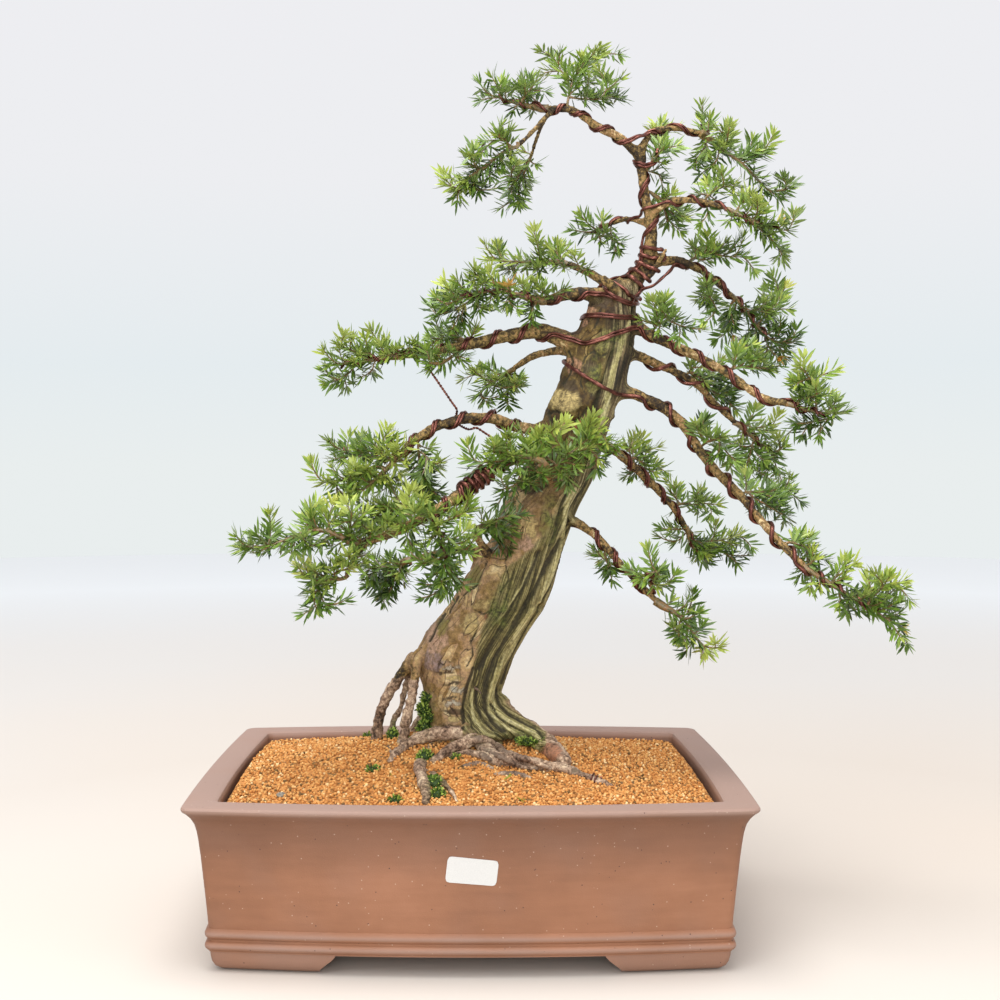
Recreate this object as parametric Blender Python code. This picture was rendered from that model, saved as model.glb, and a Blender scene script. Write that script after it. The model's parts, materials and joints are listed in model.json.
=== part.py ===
"""English yew bonsai in a rectangular stoneware pot, with its training wires.

One named object for each physical piece. Lengths at the top are in millimetres, and the model is in
metres with +Z up. The origin lies under the middle of the whole tree's bounding box, on the surface
that the pot stands on. The tree leans to the right, so the pot's middle lies to the left of it.
"""

import math
import random

import bmesh
import bpy
import numpy as np
from mathutils import Vector
from mathutils.bvhtree import BVHTree

for old_object in list(bpy.data.objects):
    bpy.data.objects.remove(old_object)

MM = 0.001
GAP = 0.35

# The standpoint that the routes of wood and wire are sighted from, level with the upper trunk
POT_MIDDLE_X = -81.0
EYE_DISTANCE = 1445.0
EYE_HEIGHT = 463.0
SIGHT_FOCUS = 1396.0
SIGHT_COLUMN = 470.5
SIGHT_ROW = 465.0

# Pot
POT_LENGTH = 525.0
POT_DEPTH = 390.0
POT_HEIGHT = 155.0
RIM_WIDTH = 30.0
FRONT_BULGE = 14.0
SIDE_BULGE = 4.0
CORNER_RADIUS = 10.0
FOOT_HEIGHT = 19.5
FOOT_LENGTH = 100.0
FOOT_DEPTH = 85.0
FOOT_WIDTH = 26.0
FLOOR_TOP = 33.0
DRAIN_HOLE_RADIUS = 18.0
DRAIN_HOLE_SPACING = 250.0
SCREEN_SIZE = 54.0
SCREEN_THICKNESS = 1.6
# Outer profile: how far in from the rim's edge, and the height above the feet's underside
POT_PROFILE = [
    (24.0, 18.5),
    (17.6, 22.0),
    (17.4, 26.5),
    (20.2, 29.5),
    (17.4, 32.5),
    (17.8, 38.0),
    (20.3, 41.0),
    (17.8, 68.6),
    (14.1, 106.3),
    (11.6, 126.0),
    (7.6, 140.0),
    (0.4, 151.4),
]

# Soil
SOIL_LEVEL = 145.0
MOUND_HEIGHT = 37.0
MOUND_AT = (-22.0, 12.0)
MOUND_SPREAD = (118.0, 80.0)
GRAIN_RELIEF = 1.6
SOIL_COLUMNS = 14
SOIL_ROWS = 11
# Room between the wood and its holes in the soil
HOLE_GAP = 0.5

# Needles and twigs
NEEDLE_LENGTH = 17.0
NEEDLE_BASE = 2.5
STEM_RADIUS = 1.8
STEM_WHORLS = 19.5
TWIG_WHORLS = 14.6
TWIG_SHARE = 0.26
TWIG_RADIUS = 1.25
TWIG_SAG = 0.07
NEEDLE_CLEARANCE = 0.9
TWIG_CLEARANCE = 1.0
TWIG_APART = 1.6
# A needle's radius where the room for it is measured, and the first whorls on a stem and a twig
NEEDLE_CORE = 0.9
STEM_BARE = 8.0
TWIG_BARE = 5.5
# How far a stem runs straight out of its branch, and where its second ring is
STEM_OUT = 6.0
SECOND_RING = 1.5

# Wires
THICK_WIRE = 2.1
MIDDLE_WIRE = 1.7
THIN_WIRE = 1.3

ALL_SIDES = 2.0 * math.pi


def sight(column, row, depth):
    """The point seen at this column and row, depth mm behind the pot's middle plane, in metres."""
    scale = (EYE_DISTANCE + depth) / SIGHT_FOCUS
    across = (column - SIGHT_COLUMN) * scale + POT_MIDDLE_X
    up = EYE_HEIGHT - (row - SIGHT_ROW) * scale
    return Vector((across, depth, up)) * MM


def material(name, hex_colour, roughness, metallic=0.0):
    """A Principled material, with its sRGB colour turned to linear."""
    made = bpy.data.materials.new(name)
    made.use_nodes = True
    shader = made.node_tree.nodes["Principled BSDF"]
    parts = [int(hex_colour[i : i + 2], 16) / 255.0 for i in (0, 2, 4)]
    linear = [((c + 0.055) / 1.055) ** 2.4 if c > 0.04045 else c / 12.92 for c in parts]
    shader.inputs["Base Color"].default_value = (*linear, 1.0)
    shader.inputs["Roughness"].default_value = roughness
    shader.inputs["Metallic"].default_value = metallic
    made.diffuse_color = (*linear, 1.0)
    return made


STONEWARE = material("unglazed_stoneware", "9A6C58", 0.8)
CLAY_GRAINS = material("fired_clay_grains", "C98A4E", 0.95)
YEW_WOOD = material("yew_bark_and_deadwood", "A08458", 0.85)
WIRE_METAL = material("anodised_aluminium_wire", "8A4A40", 0.35, 0.8)
YEW_NEEDLES = material("yew_needles", "55843A", 0.6)
PAPER = material("blank_paper_label", "F2F1EC", 0.7)
SCREEN_PLASTIC = material("screen_plastic", "2E3134", 0.6)


def make_object(name, points, faces, finish):
    """A mesh object with its place in its mesh and its faces turned outwards."""
    mesh = bpy.data.meshes.new(name)
    mesh.from_pydata([tuple(point) for point in points], [], faces)
    work = bmesh.new()
    work.from_mesh(mesh)
    bmesh.ops.recalc_face_normals(work, faces=work.faces)
    work.to_mesh(mesh)
    work.free()
    made = bpy.data.objects.new(name, mesh)
    bpy.context.scene.collection.objects.link(made)
    mesh.materials.append(finish)
    return made


def loft(name, rings, finish, split=False):
    """A closed solid through rings of equally many points, with a flat cap at each end. With split,
    each side face is two triangles, so that a swollen copy bends along the same lines."""
    count = len(rings[0])
    points = [point for ring in rings for point in ring]
    faces = [tuple(range(count)), tuple(range(len(points) - count, len(points)))]
    for ring in range(len(rings) - 1):
        for side in range(count):
            after = (side + 1) % count
            low, high = ring * count, (ring + 1) * count
            quad = (low + side, low + after, high + after, high + side)
            faces += [quad[:3], (quad[0], *quad[2:])] if split else [quad]
    return make_object(name, points, faces, finish)


def fuse(base, pieces, operation="UNION", solver="EXACT"):
    """Joins the pieces to the base, or cuts them from it, in one Boolean, and removes them."""
    helpers = bpy.data.collections.new(base.name + "_pieces")
    for piece in pieces:
        for home in list(piece.users_collection):
            home.objects.unlink(piece)
        helpers.objects.link(piece)
    bpy.context.scene.collection.children.link(helpers)
    step = base.modifiers.new("join", "BOOLEAN")
    step.operation = operation
    step.operand_type = "COLLECTION"
    step.collection = helpers
    step.solver = solver
    bpy.context.view_layer.objects.active = base
    bpy.ops.object.modifier_apply(modifier=step.name)
    for piece in pieces:
        bpy.data.objects.remove(piece)
    bpy.data.collections.remove(helpers)
    return base


def smooth_route(points, step):
    """Points about one step apart on a Catmull-Rom curve through the given points."""
    padded = [points[0] * 2 - points[1], *points, points[-1] * 2 - points[-2]]
    dense = []
    for i in range(1, len(padded) - 2):
        a, b, c, d = padded[i - 1 : i + 3]
        pieces = max(2, round((c - b).length / (step * 0.2)))
        for k in range(pieces):
            t = k / pieces
            bend = (2 * a - 5 * b + 4 * c - d) * t * t + (3 * b - a - 3 * c + d) * t**3
            dense.append(b + (c - a) * (0.5 * t) + bend * 0.5)
    dense.append(points[-1].copy())
    runs = np.cumsum([0.0] + [(q - p).length for p, q in zip(dense, dense[1:])])
    count = max(2, round(runs[-1] / step) + 1)
    places = np.linspace(0.0, runs[-1], count)
    table = np.array([tuple(p) for p in dense])
    even = np.stack([np.interp(places, runs, table[:, axis]) for axis in range(3)], 1)
    return [Vector(row) for row in even]


def headings(points):
    """The direction of a route at each of its points."""
    last = len(points) - 1
    return [
        (points[min(i + 1, last)] - points[max(i - 1, 0)]).normalized()
        for i in range(len(points))
    ]


def side_frames(points, ways=None):
    """Two directions square to the route at each point, carried along it without twisting."""
    frames = []
    side = None
    for heading in ways or headings(points):
        if side is None:
            guide = Vector((0, 0, 1)) if abs(heading.z) < 0.9 else Vector((1, 0, 0))
            side = guide
        side = (side - heading * side.dot(heading)).normalized()
        frames.append((side.copy(), heading.cross(side)))
    return frames


def tube(name, points, radii, sides, finish):
    """A tapered tube along a route."""
    turns = [ALL_SIDES * k / sides for k in range(sides)]
    rings = []
    for point, radius, (one, two) in zip(points, radii, side_frames(points)):
        rings.append([point + (one * math.cos(a) + two * math.sin(a)) * radius for a in turns])
    return loft(name, rings, finish)


def spread(values, count):
    """The values spaced evenly and read at count places in between."""
    knots = np.linspace(0.0, 1.0, len(values))
    return np.interp(np.linspace(0.0, 1.0, count), knots, values)


def sighted_route(seen, depths, step):
    """A smooth route through sighted (column, row) pairs, with its depth spread over its length."""
    runs = [0.0]
    for a, b in zip(seen, seen[1:]):
        runs.append(runs[-1] + math.dist(a, b))
    knots = np.linspace(0.0, runs[-1], len(depths))
    deep = np.interp(runs, knots, depths)
    return smooth_route([sight(c, r, d) for (c, r), d in zip(seen, deep)], step)


# Pot: rings of one rounded, slightly bulging rectangle


def pot_ring(inset, height):
    """The pot's plan outline, inset from the rim's edge, at one height, in metres."""
    half_x = POT_LENGTH / 2 - inset
    half_y = POT_DEPTH / 2 - inset
    corner = max(CORNER_RADIUS - inset * 0.2, 3.0)
    ring = []
    for quarter in range(4):
        sign_x = (1, -1, -1, 1)[quarter]
        sign_y = (1, 1, -1, -1)[quarter]
        for part in range(3):
            angle = math.radians(90 * quarter + 45 * part)
            x = sign_x * (half_x - corner) + corner * math.cos(angle)
            y = sign_y * (half_y - corner) + corner * math.sin(angle)
            ring.append((x, y))
        for part in (-0.5, 0.0, 0.5) if quarter in (0, 2) else (0.0,):
            if quarter in (0, 2):
                x = -sign_x * part * (half_x - corner) * 1.1
                y = sign_y * (half_y + FRONT_BULGE * (1 - part**2))
            else:
                x = sign_x * (half_x + SIDE_BULGE)
                y = 0.0
            ring.append((x, y))
    return [Vector((x + POT_MIDDLE_X, y, height)) * MM for x, y in ring]


def foot(sign_x, sign_y):
    """One L-shaped corner foot, its arms shorter at the bottom than where they meet the pot."""
    rings = []
    for share, lean, grow in ((0.0, 1.5, 0.0), (0.62, 0.6, 4.0), (1.0, 0.6, 13.0)):
        out_x = POT_LENGTH / 2 - 21.5 - lean
        out_y = POT_DEPTH / 2 - 21.5 - lean + FRONT_BULGE * 0.25
        arm_x = out_x - FOOT_LENGTH - grow
        arm_y = out_y - FOOT_DEPTH - grow
        bulge = FRONT_BULGE * 0.45
        plan = [
            (out_x - 5, out_y),
            (arm_x, out_y + bulge),
            (arm_x, out_y - FOOT_WIDTH + bulge),
            (out_x - FOOT_WIDTH, out_y - FOOT_WIDTH),
            (out_x - FOOT_WIDTH, arm_y),
            (out_x, arm_y),
            (out_x, out_y - 5),
        ]
        rings.append(
            [
                Vector((sign_x * x + POT_MIDDLE_X, sign_y * y, FOOT_HEIGHT * share)) * MM
                for x, y in plan
            ]
        )
    return loft("foot", rings, STONEWARE)


def make_pot():
    """The fired pot: outside up to the lip, across it, and down the inside to the floor."""
    profile = list(POT_PROFILE)
    profile += [(1.0, POT_HEIGHT), (RIM_WIDTH - 2.0, POT_HEIGHT), (RIM_WIDTH, 153.4)]
    profile += [(RIM_WIDTH + 1.0, 120.0), (RIM_WIDTH + 4.0, 40.0), (RIM_WIDTH + 11.0, FLOOR_TOP)]
    pot = loft("pot", [pot_ring(inset, height) for inset, height in profile], STONEWARE)
    fuse(pot, [foot(x, y) for x in (1, -1) for y in (1, -1)])
    drills = []
    for sign in (1, -1):
        centre = Vector((POT_MIDDLE_X + sign * DRAIN_HOLE_SPACING / 2, 0.0, 25.0)) * MM
        bpy.ops.mesh.primitive_cylinder_add(
            vertices=10, radius=DRAIN_HOLE_RADIUS * MM, depth=30.0 * MM, location=centre
        )
        drills.append(bpy.context.object)
    return fuse(pot, drills, "DIFFERENCE")


# Wood: trunk


# Row by row down the trunk: row, left edge, right edge, then middle depth and half depth in mm
TRUNK_ROWS = [
    (279, 612, 635, 4, 11),
    (296, 599, 637, 4, 19),
    (320, 583, 638, 5, 25),
    (345, 573, 636, 6, 27),
    (392, 558, 624, 8, 30),
    (409, 547, 617, 9, 31),
    (455, 532, 602, 12, 33),
    (482, 517, 594, 14, 35),
    (508, 503, 579, 16, 36),
    (535, 494, 570, 17, 37),
    (585, 462, 554, 19, 39),
    (608, 449, 546, 20, 40),
    (632, 426, 531, 21, 41),
    (655, 415, 517, 22, 41),
    (700, 429, 500, 24, 40),
    (722, 428, 507, 24, 43),
    (748, 421, 522, 24, 49),
    (790, 424, 520, 24, 46),
]
TRUNK_SIDES = 22
FLUTE_DEPTH = 0.085
DEADWOOD_MIDDLE = math.radians(-22)
DEADWOOD_HALF = math.radians(100)


def trunk_ring(row, left, right, depth, half_depth, rng, swell):
    """One level section of the trunk, fluted on its deadwood side and lumpy on its bark side."""
    scale = (EYE_DISTANCE + depth) / SIGHT_FOCUS * MM
    centre = sight((left + right) / 2, row, depth)
    half_width = (right - left) / 2 * scale + swell
    ring = []
    for k in range(TRUNK_SIDES):
        angle = ALL_SIDES * k / TRUNK_SIDES
        off = (angle - DEADWOOD_MIDDLE + math.pi) % ALL_SIDES - math.pi
        dead = max(0.0, 1.0 - (off / DEADWOOD_HALF) ** 4)
        ridge = 1.0 if k % 2 else -1.0
        flute = FLUTE_DEPTH * (0.5 * ridge - 0.5) * dead
        lump = rng.uniform(-0.03, 0.03)
        grow = 1.0 + flute + lump
        side = Vector((math.cos(angle) * half_width * grow, 0, 0))
        back = Vector((0, math.sin(angle) * (half_depth * MM + swell) * grow, 0))
        ring.append(centre + side + back)
    return ring


def trunk(swell=0.0):
    """The trunk from its stump in the soil to the broken top."""
    rng = random.Random(4)
    rings = [trunk_ring(*row, rng, swell) for row in reversed(TRUNK_ROWS)]
    rings[0] = [corner - Vector((0, 0, swell)) for corner in rings[0]]
    return loft("trunk", rings, YEW_WOOD, True)


# Surface roots: sighted points with a depth in mm where they leave the trunk, then (column, row)
# pairs that lie on the soil, then the radii in mm along the root
SURFACE_ROOTS = [
    (
        [(500, 722, 0), (474, 732, -22), (446, 732, -26)], [(416, 738), (399, 750), (388, 763)],
        (12, 9, 8, 7, 5, 3),
    ),
    (
        [(508, 730, 0), (486, 738, -30), (468, 741, -36)], [(449, 749), (431, 763)],
        (11, 8, 6.5, 5.5, 3.5),
    ),
    (
        [(480, 742, -12)], [(494, 759), (520, 762), (545, 766), (570, 770), (592, 779), (620, 789)],
        (11, 9, 8, 7, 5.5, 4, 2),
    ),
    (
        [(494, 700, 14), (506, 719, 6), (528, 733, -4), (548, 746, -12)], [(566, 764)],
        (16, 15, 13, 12, 8),
    ),
    ([(440, 744, -6), (424, 756, -30)], [(420, 772), (427, 790), (425, 806)], (9, 7, 6.5, 5.5, 3.5)),
    ([(421, 768, -52)], [(440, 778), (450, 789), (460, 806)], (3.4, 2.6, 2.2, 1.8)),
]
ROOT_STEP = 0.027
ROOT_SIDES = 5
# Aerial roots on the left of the base, from the trunk to the soil
AERIAL_ROOTS = [
    (
        [(436, 642), (416, 658), (416, 675), (412, 700), (406, 720), (402, 748)], (8, -6, -4),
        (9, 6, 5, 5.2, 5, 6),
    ),
    (
        [(416, 655), (400, 676), (388, 694), (379, 712), (377, 730), (376, 750)], (22, 20, 24),
        (9, 7, 6, 5.6, 5.5, 6),
    ),
    ([(420, 660), (407, 680), (404, 700), (392, 722), (388, 748)], (30, 30, 34), (5, 3.4, 3.2, 3.4, 4)),
    ([(470, 700), (430, 716), (412, 738), (404, 756)], (52, 58, 60), (16, 12, 9, 8)),
]


def soil_height(x, y):
    """The soil's mean surface in mm, at a plan position measured from the pot's middle."""
    across = (x - MOUND_AT[0]) / MOUND_SPREAD[0]
    deep = (y - MOUND_AT[1]) / MOUND_SPREAD[1]
    return SOIL_LEVEL + MOUND_HEIGHT * math.exp(-0.5 * (across**2 + deep**2))


def on_soil(column, row, lift):
    """Where the line of sight through a column and row comes down to lift mm above the soil."""
    depth = -170.0
    while depth < 160.0:
        point = sight(column, row, depth) / MM
        if point.z <= soil_height(point.x - POT_MIDDLE_X, depth) + lift:
            break
        depth += 1.0
    return sight(column, row, depth)


def grown_ends(route, swell):
    """The route with both its ends a little further out, so that a swollen copy covers them too."""
    ways = headings(route)
    return [route[0] - ways[0] * swell, *route[1:-1], route[-1] + ways[-1] * swell]


def root_pieces(swell=0.0):
    """The roots, as tubes that start inside the trunk; swell is a little extra all round."""
    pieces = []
    wider = swell / math.cos(math.pi / ROOT_SIDES)
    for held, laid, radii in SURFACE_ROOTS:
        lifts = spread((5, 2, -1), len(laid))
        points = [sight(*place) for place in held]
        points += [on_soil(c, r, lift) for (c, r), lift in zip(laid, lifts)]
        route = grown_ends(smooth_route(points, ROOT_STEP), swell)
        sizes = [radius * MM + wider for radius in spread(radii, len(route))]
        pieces.append(tube("root", route, sizes, ROOT_SIDES, YEW_WOOD))
    for seen, depths, radii in AERIAL_ROOTS:
        route = grown_ends(sighted_route(seen, depths, ROOT_STEP), swell)
        sizes = [radius * MM + wider for radius in spread(radii, len(route))]
        pieces.append(tube("aerial_root", route, sizes, ROOT_SIDES, YEW_WOOD))
    return pieces


# Bare branches: route seen from the front, depths in mm along it, radii in mm along it
BRANCHES = {
    "leader": (
        [
            (622, 312), (632, 288), (645, 265), (653, 243), (651, 225), (647, 205), (643, 182),
            (640, 160), (640, 146),
        ],
        (8, 2, 0, 0), (13, 10, 8, 7, 6, 5.8, 6.5),
    ),
    "crown": (
        [
            (641, 158), (634, 146), (620, 137), (603, 130), (590, 123), (576, 110), (562, 105),
            (546, 109),
        ],
        (0, -10, 4), (6.5, 5.2, 5, 4.2, 3.6),
    ),
    "crown_low": ([(556, 106), (545, 119), (531, 133), (518, 146)], (0, -14, -28), (3.8, 3.4, 3)),
    "crown_hang": ([(552, 106), (543, 119), (536, 140), (531, 156)], (3, 15, 26), (3.2, 2.8, 2.6)),
    "right_1": (
        [(640, 150), (648, 133), (658, 128), (672, 127), (688, 130), (702, 134)], (0, 8, 14),
        (5.2, 4.6, 4, 3.6),
    ),
    "right_2": (
        [(649, 214), (656, 205), (668, 200), (684, 199), (700, 200), (714, 206), (728, 209)],
        (0, -14, -28), (5, 4.4, 4, 3.6),
    ),
    "right_3": (
        [(650, 262), (668, 259), (684, 260), (697, 267), (710, 276), (719, 286), (730, 294)],
        (2, 22, 44), (6, 5, 4.4, 3.6),
    ),
    "right_4": (
        [
            (606, 315), (624, 318), (640, 328), (655, 338), (672, 343), (688, 353), (700, 360),
            (714, 364), (727, 373), (741, 382), (755, 396), (770, 401), (788, 404),
        ],
        (4, -16, -40, -66), (8, 6, 5.4, 4.8, 4),
    ),
    "right_5": (
        [
            (612, 348), (634, 352), (648, 363), (668, 369), (688, 376), (700, 387), (712, 401),
            (726, 412), (737, 424),
        ],
        (10, 28, 46, 66), (7, 5.4, 4.6, 3.8),
    ),
    "right_6": (
        [
            (602, 392), (622, 393), (645, 395), (660, 405), (680, 420), (692, 434), (702, 456),
            (716, 472), (733, 487), (748, 504), (762, 522), (776, 539), (790, 554), (806, 568),
        ],
        (6, -18, -48, -82), (8, 6.2, 5.6, 5, 4),
    ),
    "right_7": (
        [
            (586, 438), (608, 446), (626, 459), (641, 474), (655, 487), (669, 502), (680, 515),
            (687, 529),
        ],
        (18, 42, 66, 88), (7, 5.4, 4.6, 3.8),
    ),
    "right_8": (
        [
            (548, 514), (575, 521), (590, 530), (603, 542), (614, 557), (629, 572), (643, 589),
            (658, 603),
        ],
        (8, -10, -32, -50), (7, 5, 4.4, 3.6),
    ),
    "left_1": ([(651, 226), (638, 219), (624, 217), (607, 225)], (2, 22, 40), (4.4, 3.6, 3)),
    "left_2": (
        [(612, 297), (592, 291), (575, 293), (558, 299), (543, 301)], (6, -4, -16), (10, 8, 6, 4.6),
    ),
    "left_2_back": ([(616, 292), (600, 279), (585, 270), (566, 263)], (10, 26, 44), (7, 5, 4)),
    "left_3": (
        [
            (592, 351), (574, 345), (558, 335), (545, 330), (528, 333), (510, 335), (492, 340),
            (475, 343), (455, 347), (436, 353), (416, 354), (400, 355),
        ],
        (8, -4, -14, -24), (13, 10.5, 8, 6.6, 5.6, 4.6),
    ),
    "left_3_back": (
        [(585, 356), (560, 350), (542, 350), (526, 360), (512, 370)], (20, 44, 66), (7, 5, 4),
    ),
    "left_4": (
        [
            (572, 436), (545, 432), (524, 429), (505, 423), (486, 416), (466, 418), (444, 423),
            (424, 432), (406, 447), (392, 464),
        ],
        (8, -14, -34, -56), (9, 7, 6.4, 5.4, 4.4),
    ),
    "left_5": (
        [
            (562, 462), (535, 456), (512, 457), (496, 466), (478, 481), (458, 495), (438, 510),
            (418, 521), (398, 531), (376, 540), (356, 543),
        ],
        (-4, -50, -84, -112), (10, 7.6, 7, 5.6, 4.2),
    ),
    "left_5_low": ([(364, 541), (352, 550), (349, 563), (345, 577)], (-110, -116, -120), (4, 3.4, 3)),
    "left_6": (
        [(508, 556), (484, 552), (464, 548), (444, 552), (424, 557), (408, 560)], (20, 36, 52),
        (7, 5, 4),
    ),
    "front_stub": (
        [(504, 562), (486, 553), (473, 543), (475, 533)], (4, -16, -26, -28), (8, 6.5, 5.5, 4.4),
    ),
    "front_twig": ([(552, 492), (548, 478), (546, 464)], (2, -34, -62), (8, 6, 4.6)),
    "top_stub_dark": ([(648, 280), (662, 264), (667, 248)], (-4, -8, -10), (5, 3.6, 2.4)),
    "top_stub_red": ([(630, 300), (614, 286), (601, 277)], (-6, -14, -20), (7, 5.6, 4.6)),
}
# Broken deadwood tips at the trunk's top: foot and tip, then depth and foot radius in mm
DEADWOOD_TIPS = [
    ((628, 292), (633, 264), 8, 7),
    ((616, 294), (620, 273), -2, 6),
    ((622, 290), (626, 270), 14, 5),
    ((605, 300), (603, 283), 10, 6),
]
WOOD_STEP = 0.032


def branch_routes():
    """Each branch's smooth route and its radii in metres."""
    routes = {}
    for name, (seen, depths, radii) in BRANCHES.items():
        route = sighted_route(seen, depths, WOOD_STEP)
        routes[name] = (route, [radius * MM for radius in spread(radii, len(route))])
    return routes


def make_wood(routes):
    """Trunk, roots, bare branches and deadwood tips, fused in one solid."""
    wood = trunk()
    wood.name = "wood"
    pieces = root_pieces()
    for name, (route, radii) in routes.items():
        sides = 6 if max(radii) > 5.2 * MM else 5
        pieces.append(tube(name, route, radii, sides, YEW_WOOD))
    for low, high, depth, radius in DEADWOOD_TIPS:
        ends = [sight(*low, depth), sight(*high, depth)]
        pieces.append(tube("tip", ends, [radius * MM, 0.0006], 4, YEW_WOOD))
    return fuse(wood, pieces)


# Soil


def make_soil():
    """The filling: pot-shaped below, with a mounded grainy top, and plain holes where the wood stands."""
    rng = random.Random(11)
    columns, rows = SOIL_COLUMNS, SOIL_ROWS
    left = -(POT_LENGTH / 2 - RIM_WIDTH - 1.6)
    points, faces = [], []

    def wall_depth(x):
        """Half the depth of the inside at a plan position across."""
        share = min(1.0, abs(x / left))
        edge = POT_DEPTH / 2 - RIM_WIDTH - 2.0 + FRONT_BULGE * (1 - share**2) * 0.92
        return edge - (6.0 if share > 0.98 else 0.0)

    for level in (0, 1):
        for i in range(columns + 1):
            for j in range(rows + 1):
                x = left * (1 - 2 * i / columns)
                y = wall_depth(x) * (1 - 2 * j / rows)
                edge = i in (0, columns) or j in (0, rows)
                if level == 0:
                    height = FLOOR_TOP + GAP
                    x, y = x * 0.955, y * 0.945
                elif edge:
                    height = soil_height(x, y) - 1.0
                else:
                    x += rng.uniform(-4, 4)
                    y += rng.uniform(-4, 4)
                    height = soil_height(x, y) + rng.uniform(-GRAIN_RELIEF, GRAIN_RELIEF)
                if level == 1 or edge:
                    points.append((level, i, j, Vector((x + POT_MIDDLE_X, y, height)) * MM))
    index = {(level, i, j): n for n, (level, i, j, _) in enumerate(points)}
    for i in range(columns):
        for j in range(rows):
            faces.append([index[1, i + a, j + b] for a, b in ((0, 0), (1, 0), (1, 1), (0, 1))])
    border = [(i, 0) for i in range(columns)] + [(columns, j) for j in range(rows)]
    border += [(i, rows) for i in range(columns, 0, -1)] + [(0, j) for j in range(rows, 0, -1)]
    faces.append([index[0, i, j] for i, j in border])
    for (i, j), (m, n) in zip(border, border[1:] + border[:1]):
        faces.append([index[0, i, j], index[0, m, n], index[1, m, n], index[1, i, j]])
    soil = make_object("soil", [point[3] for point in points], faces, CLAY_GRAINS)
    holes = trunk(HOLE_GAP * MM)
    fuse(holes, root_pieces(HOLE_GAP * MM))
    cutters = [holes]
    for sign in (1, -1):
        centre = Vector((POT_MIDDLE_X + sign * DRAIN_HOLE_SPACING / 2, 0.0, FLOOR_TOP)) * MM
        bpy.ops.mesh.primitive_cube_add(size=1.0, location=centre)
        seat = bpy.context.object
        width = SCREEN_SIZE + 2 * GAP
        seat.scale = Vector((width, width, 2 * (SCREEN_THICKNESS + 2 * GAP))) * MM
        bpy.ops.object.transform_apply(location=True, rotation=False, scale=True)
        cutters.append(seat)
    return fuse(soil, cutters, "DIFFERENCE", "MANIFOLD")


def make_label():
    """The blank sticker, laid on the pot's sloping and bulging front."""
    corners = [(448, 856), (499, 861), (496, 886), (445, 882)]
    front, back = [], []
    for column, row in corners:
        depth = -POT_DEPTH / 2
        height = sight(column, row, depth).z / MM
        inset = np.interp(height, (43.5, 68.6, 106.3, 127.0), (20.1, 17.8, 14.1, 11.4))
        depth = -POT_DEPTH / 2 + inset - FRONT_BULGE
        back.append(sight(column, row, depth - GAP))
        front.append(sight(column, row, depth - GAP - 0.4))
    return loft("label", [back, front], PAPER)


def make_screen(name, sign):
    """A square plastic mesh over one drain hole, with its openings cut through."""
    half, thick, bars = SCREEN_SIZE / 2, SCREEN_THICKNESS, 2
    centre_x = POT_MIDDLE_X + sign * DRAIN_HOLE_SPACING / 2
    middle = FLOOR_TOP + GAP + thick / 2
    bpy.ops.mesh.primitive_cube_add(size=1.0, location=Vector((centre_x, 0, middle)) * MM)
    screen = bpy.context.object
    screen.name = name
    screen.scale = Vector((2 * half, 2 * half, thick)) * MM
    bpy.ops.object.transform_apply(location=True, rotation=False, scale=True)
    screen.data.materials.append(SCREEN_PLASTIC)
    cutters = []
    pitch = 2 * half / (bars + 0.4)
    for i in range(bars):
        for j in range(bars):
            x = centre_x + (i - (bars - 1) / 2) * pitch
            y = (j - (bars - 1) / 2) * pitch
            bpy.ops.mesh.primitive_cube_add(size=1.0, location=Vector((x, y, middle)) * MM)
            hole = bpy.context.object
            hole.scale = Vector((pitch * 0.72, pitch * 0.72, thick * 3)) * MM
            bpy.ops.object.transform_apply(location=False, rotation=False, scale=True)
            cutters.append(hole)
    return fuse(screen, cutters, "DIFFERENCE")


# Wires


MOST_RODS = 12000


class Taken:
    """The room that wires, stems and needles already take, kept as round rods."""

    def __init__(self):
        self.rods = np.zeros((MOST_RODS, 7))
        self.owners = np.zeros((MOST_RODS, 2), int)
        self.count = 0

    def add(self, owner, kind, start, end, radius):
        self.rods[self.count] = (*start, *end, radius)
        self.owners[self.count] = (owner, kind)
        self.count += 1

    def room(self, start, end, owner, skip=None):
        """The clear distance from a new rod's axis to other rods: those of all other owners if skip
        is None, and otherwise those of its own owner except for the kinds in skip."""
        owners = self.owners[: self.count]
        other = owners[:, 0] != owner
        if skip is not None:
            other = (owners[:, 0] == owner) & ~np.isin(owners[:, 1], skip)
        rods = self.rods[: self.count][other]
        if not len(rods):
            return 1.0
        samples = max(4, math.ceil((end - start).length / (4 * MM)) + 1)
        shares = np.linspace(0.0, 1.0, samples)[:, None, None]
        places = np.array(start) + (np.array(end) - np.array(start)) * shares
        along = rods[:, 3:6] - rods[:, :3]
        reach = np.clip(
            ((places - rods[:, :3]) * along).sum(-1) / (along**2).sum(-1), 0.0, 1.0
        )
        nearest = rods[:, :3] + along * reach[..., None]
        return float((np.linalg.norm(places - nearest, axis=-1) - rods[:, 6]).min())


def outside(tree, point):
    """How far a point is outside the surface, negative inside it, and the surface's normal there."""
    place, normal, _, distance = tree.find_nearest(point)
    return (distance if (point - place).dot(normal) >= 0.0 else -distance), normal


def clear_of_wood(tree, start, end):
    """The least distance outside the wood along a short rod."""
    steps = max(3, math.ceil((end - start).length / (4 * MM)))
    return min(outside(tree, start.lerp(end, k / steps))[0] for k in range(steps + 1))


STEPS_A_TURN = 5.2
FRONT, BACK = (0, -1, 0), (0, 1, 0)
FRONT_LEFT, BACK_LEFT, BACK_RIGHT = (-1, -1, 0), (-1, 1, 0), (1, 1, 0)
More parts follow.
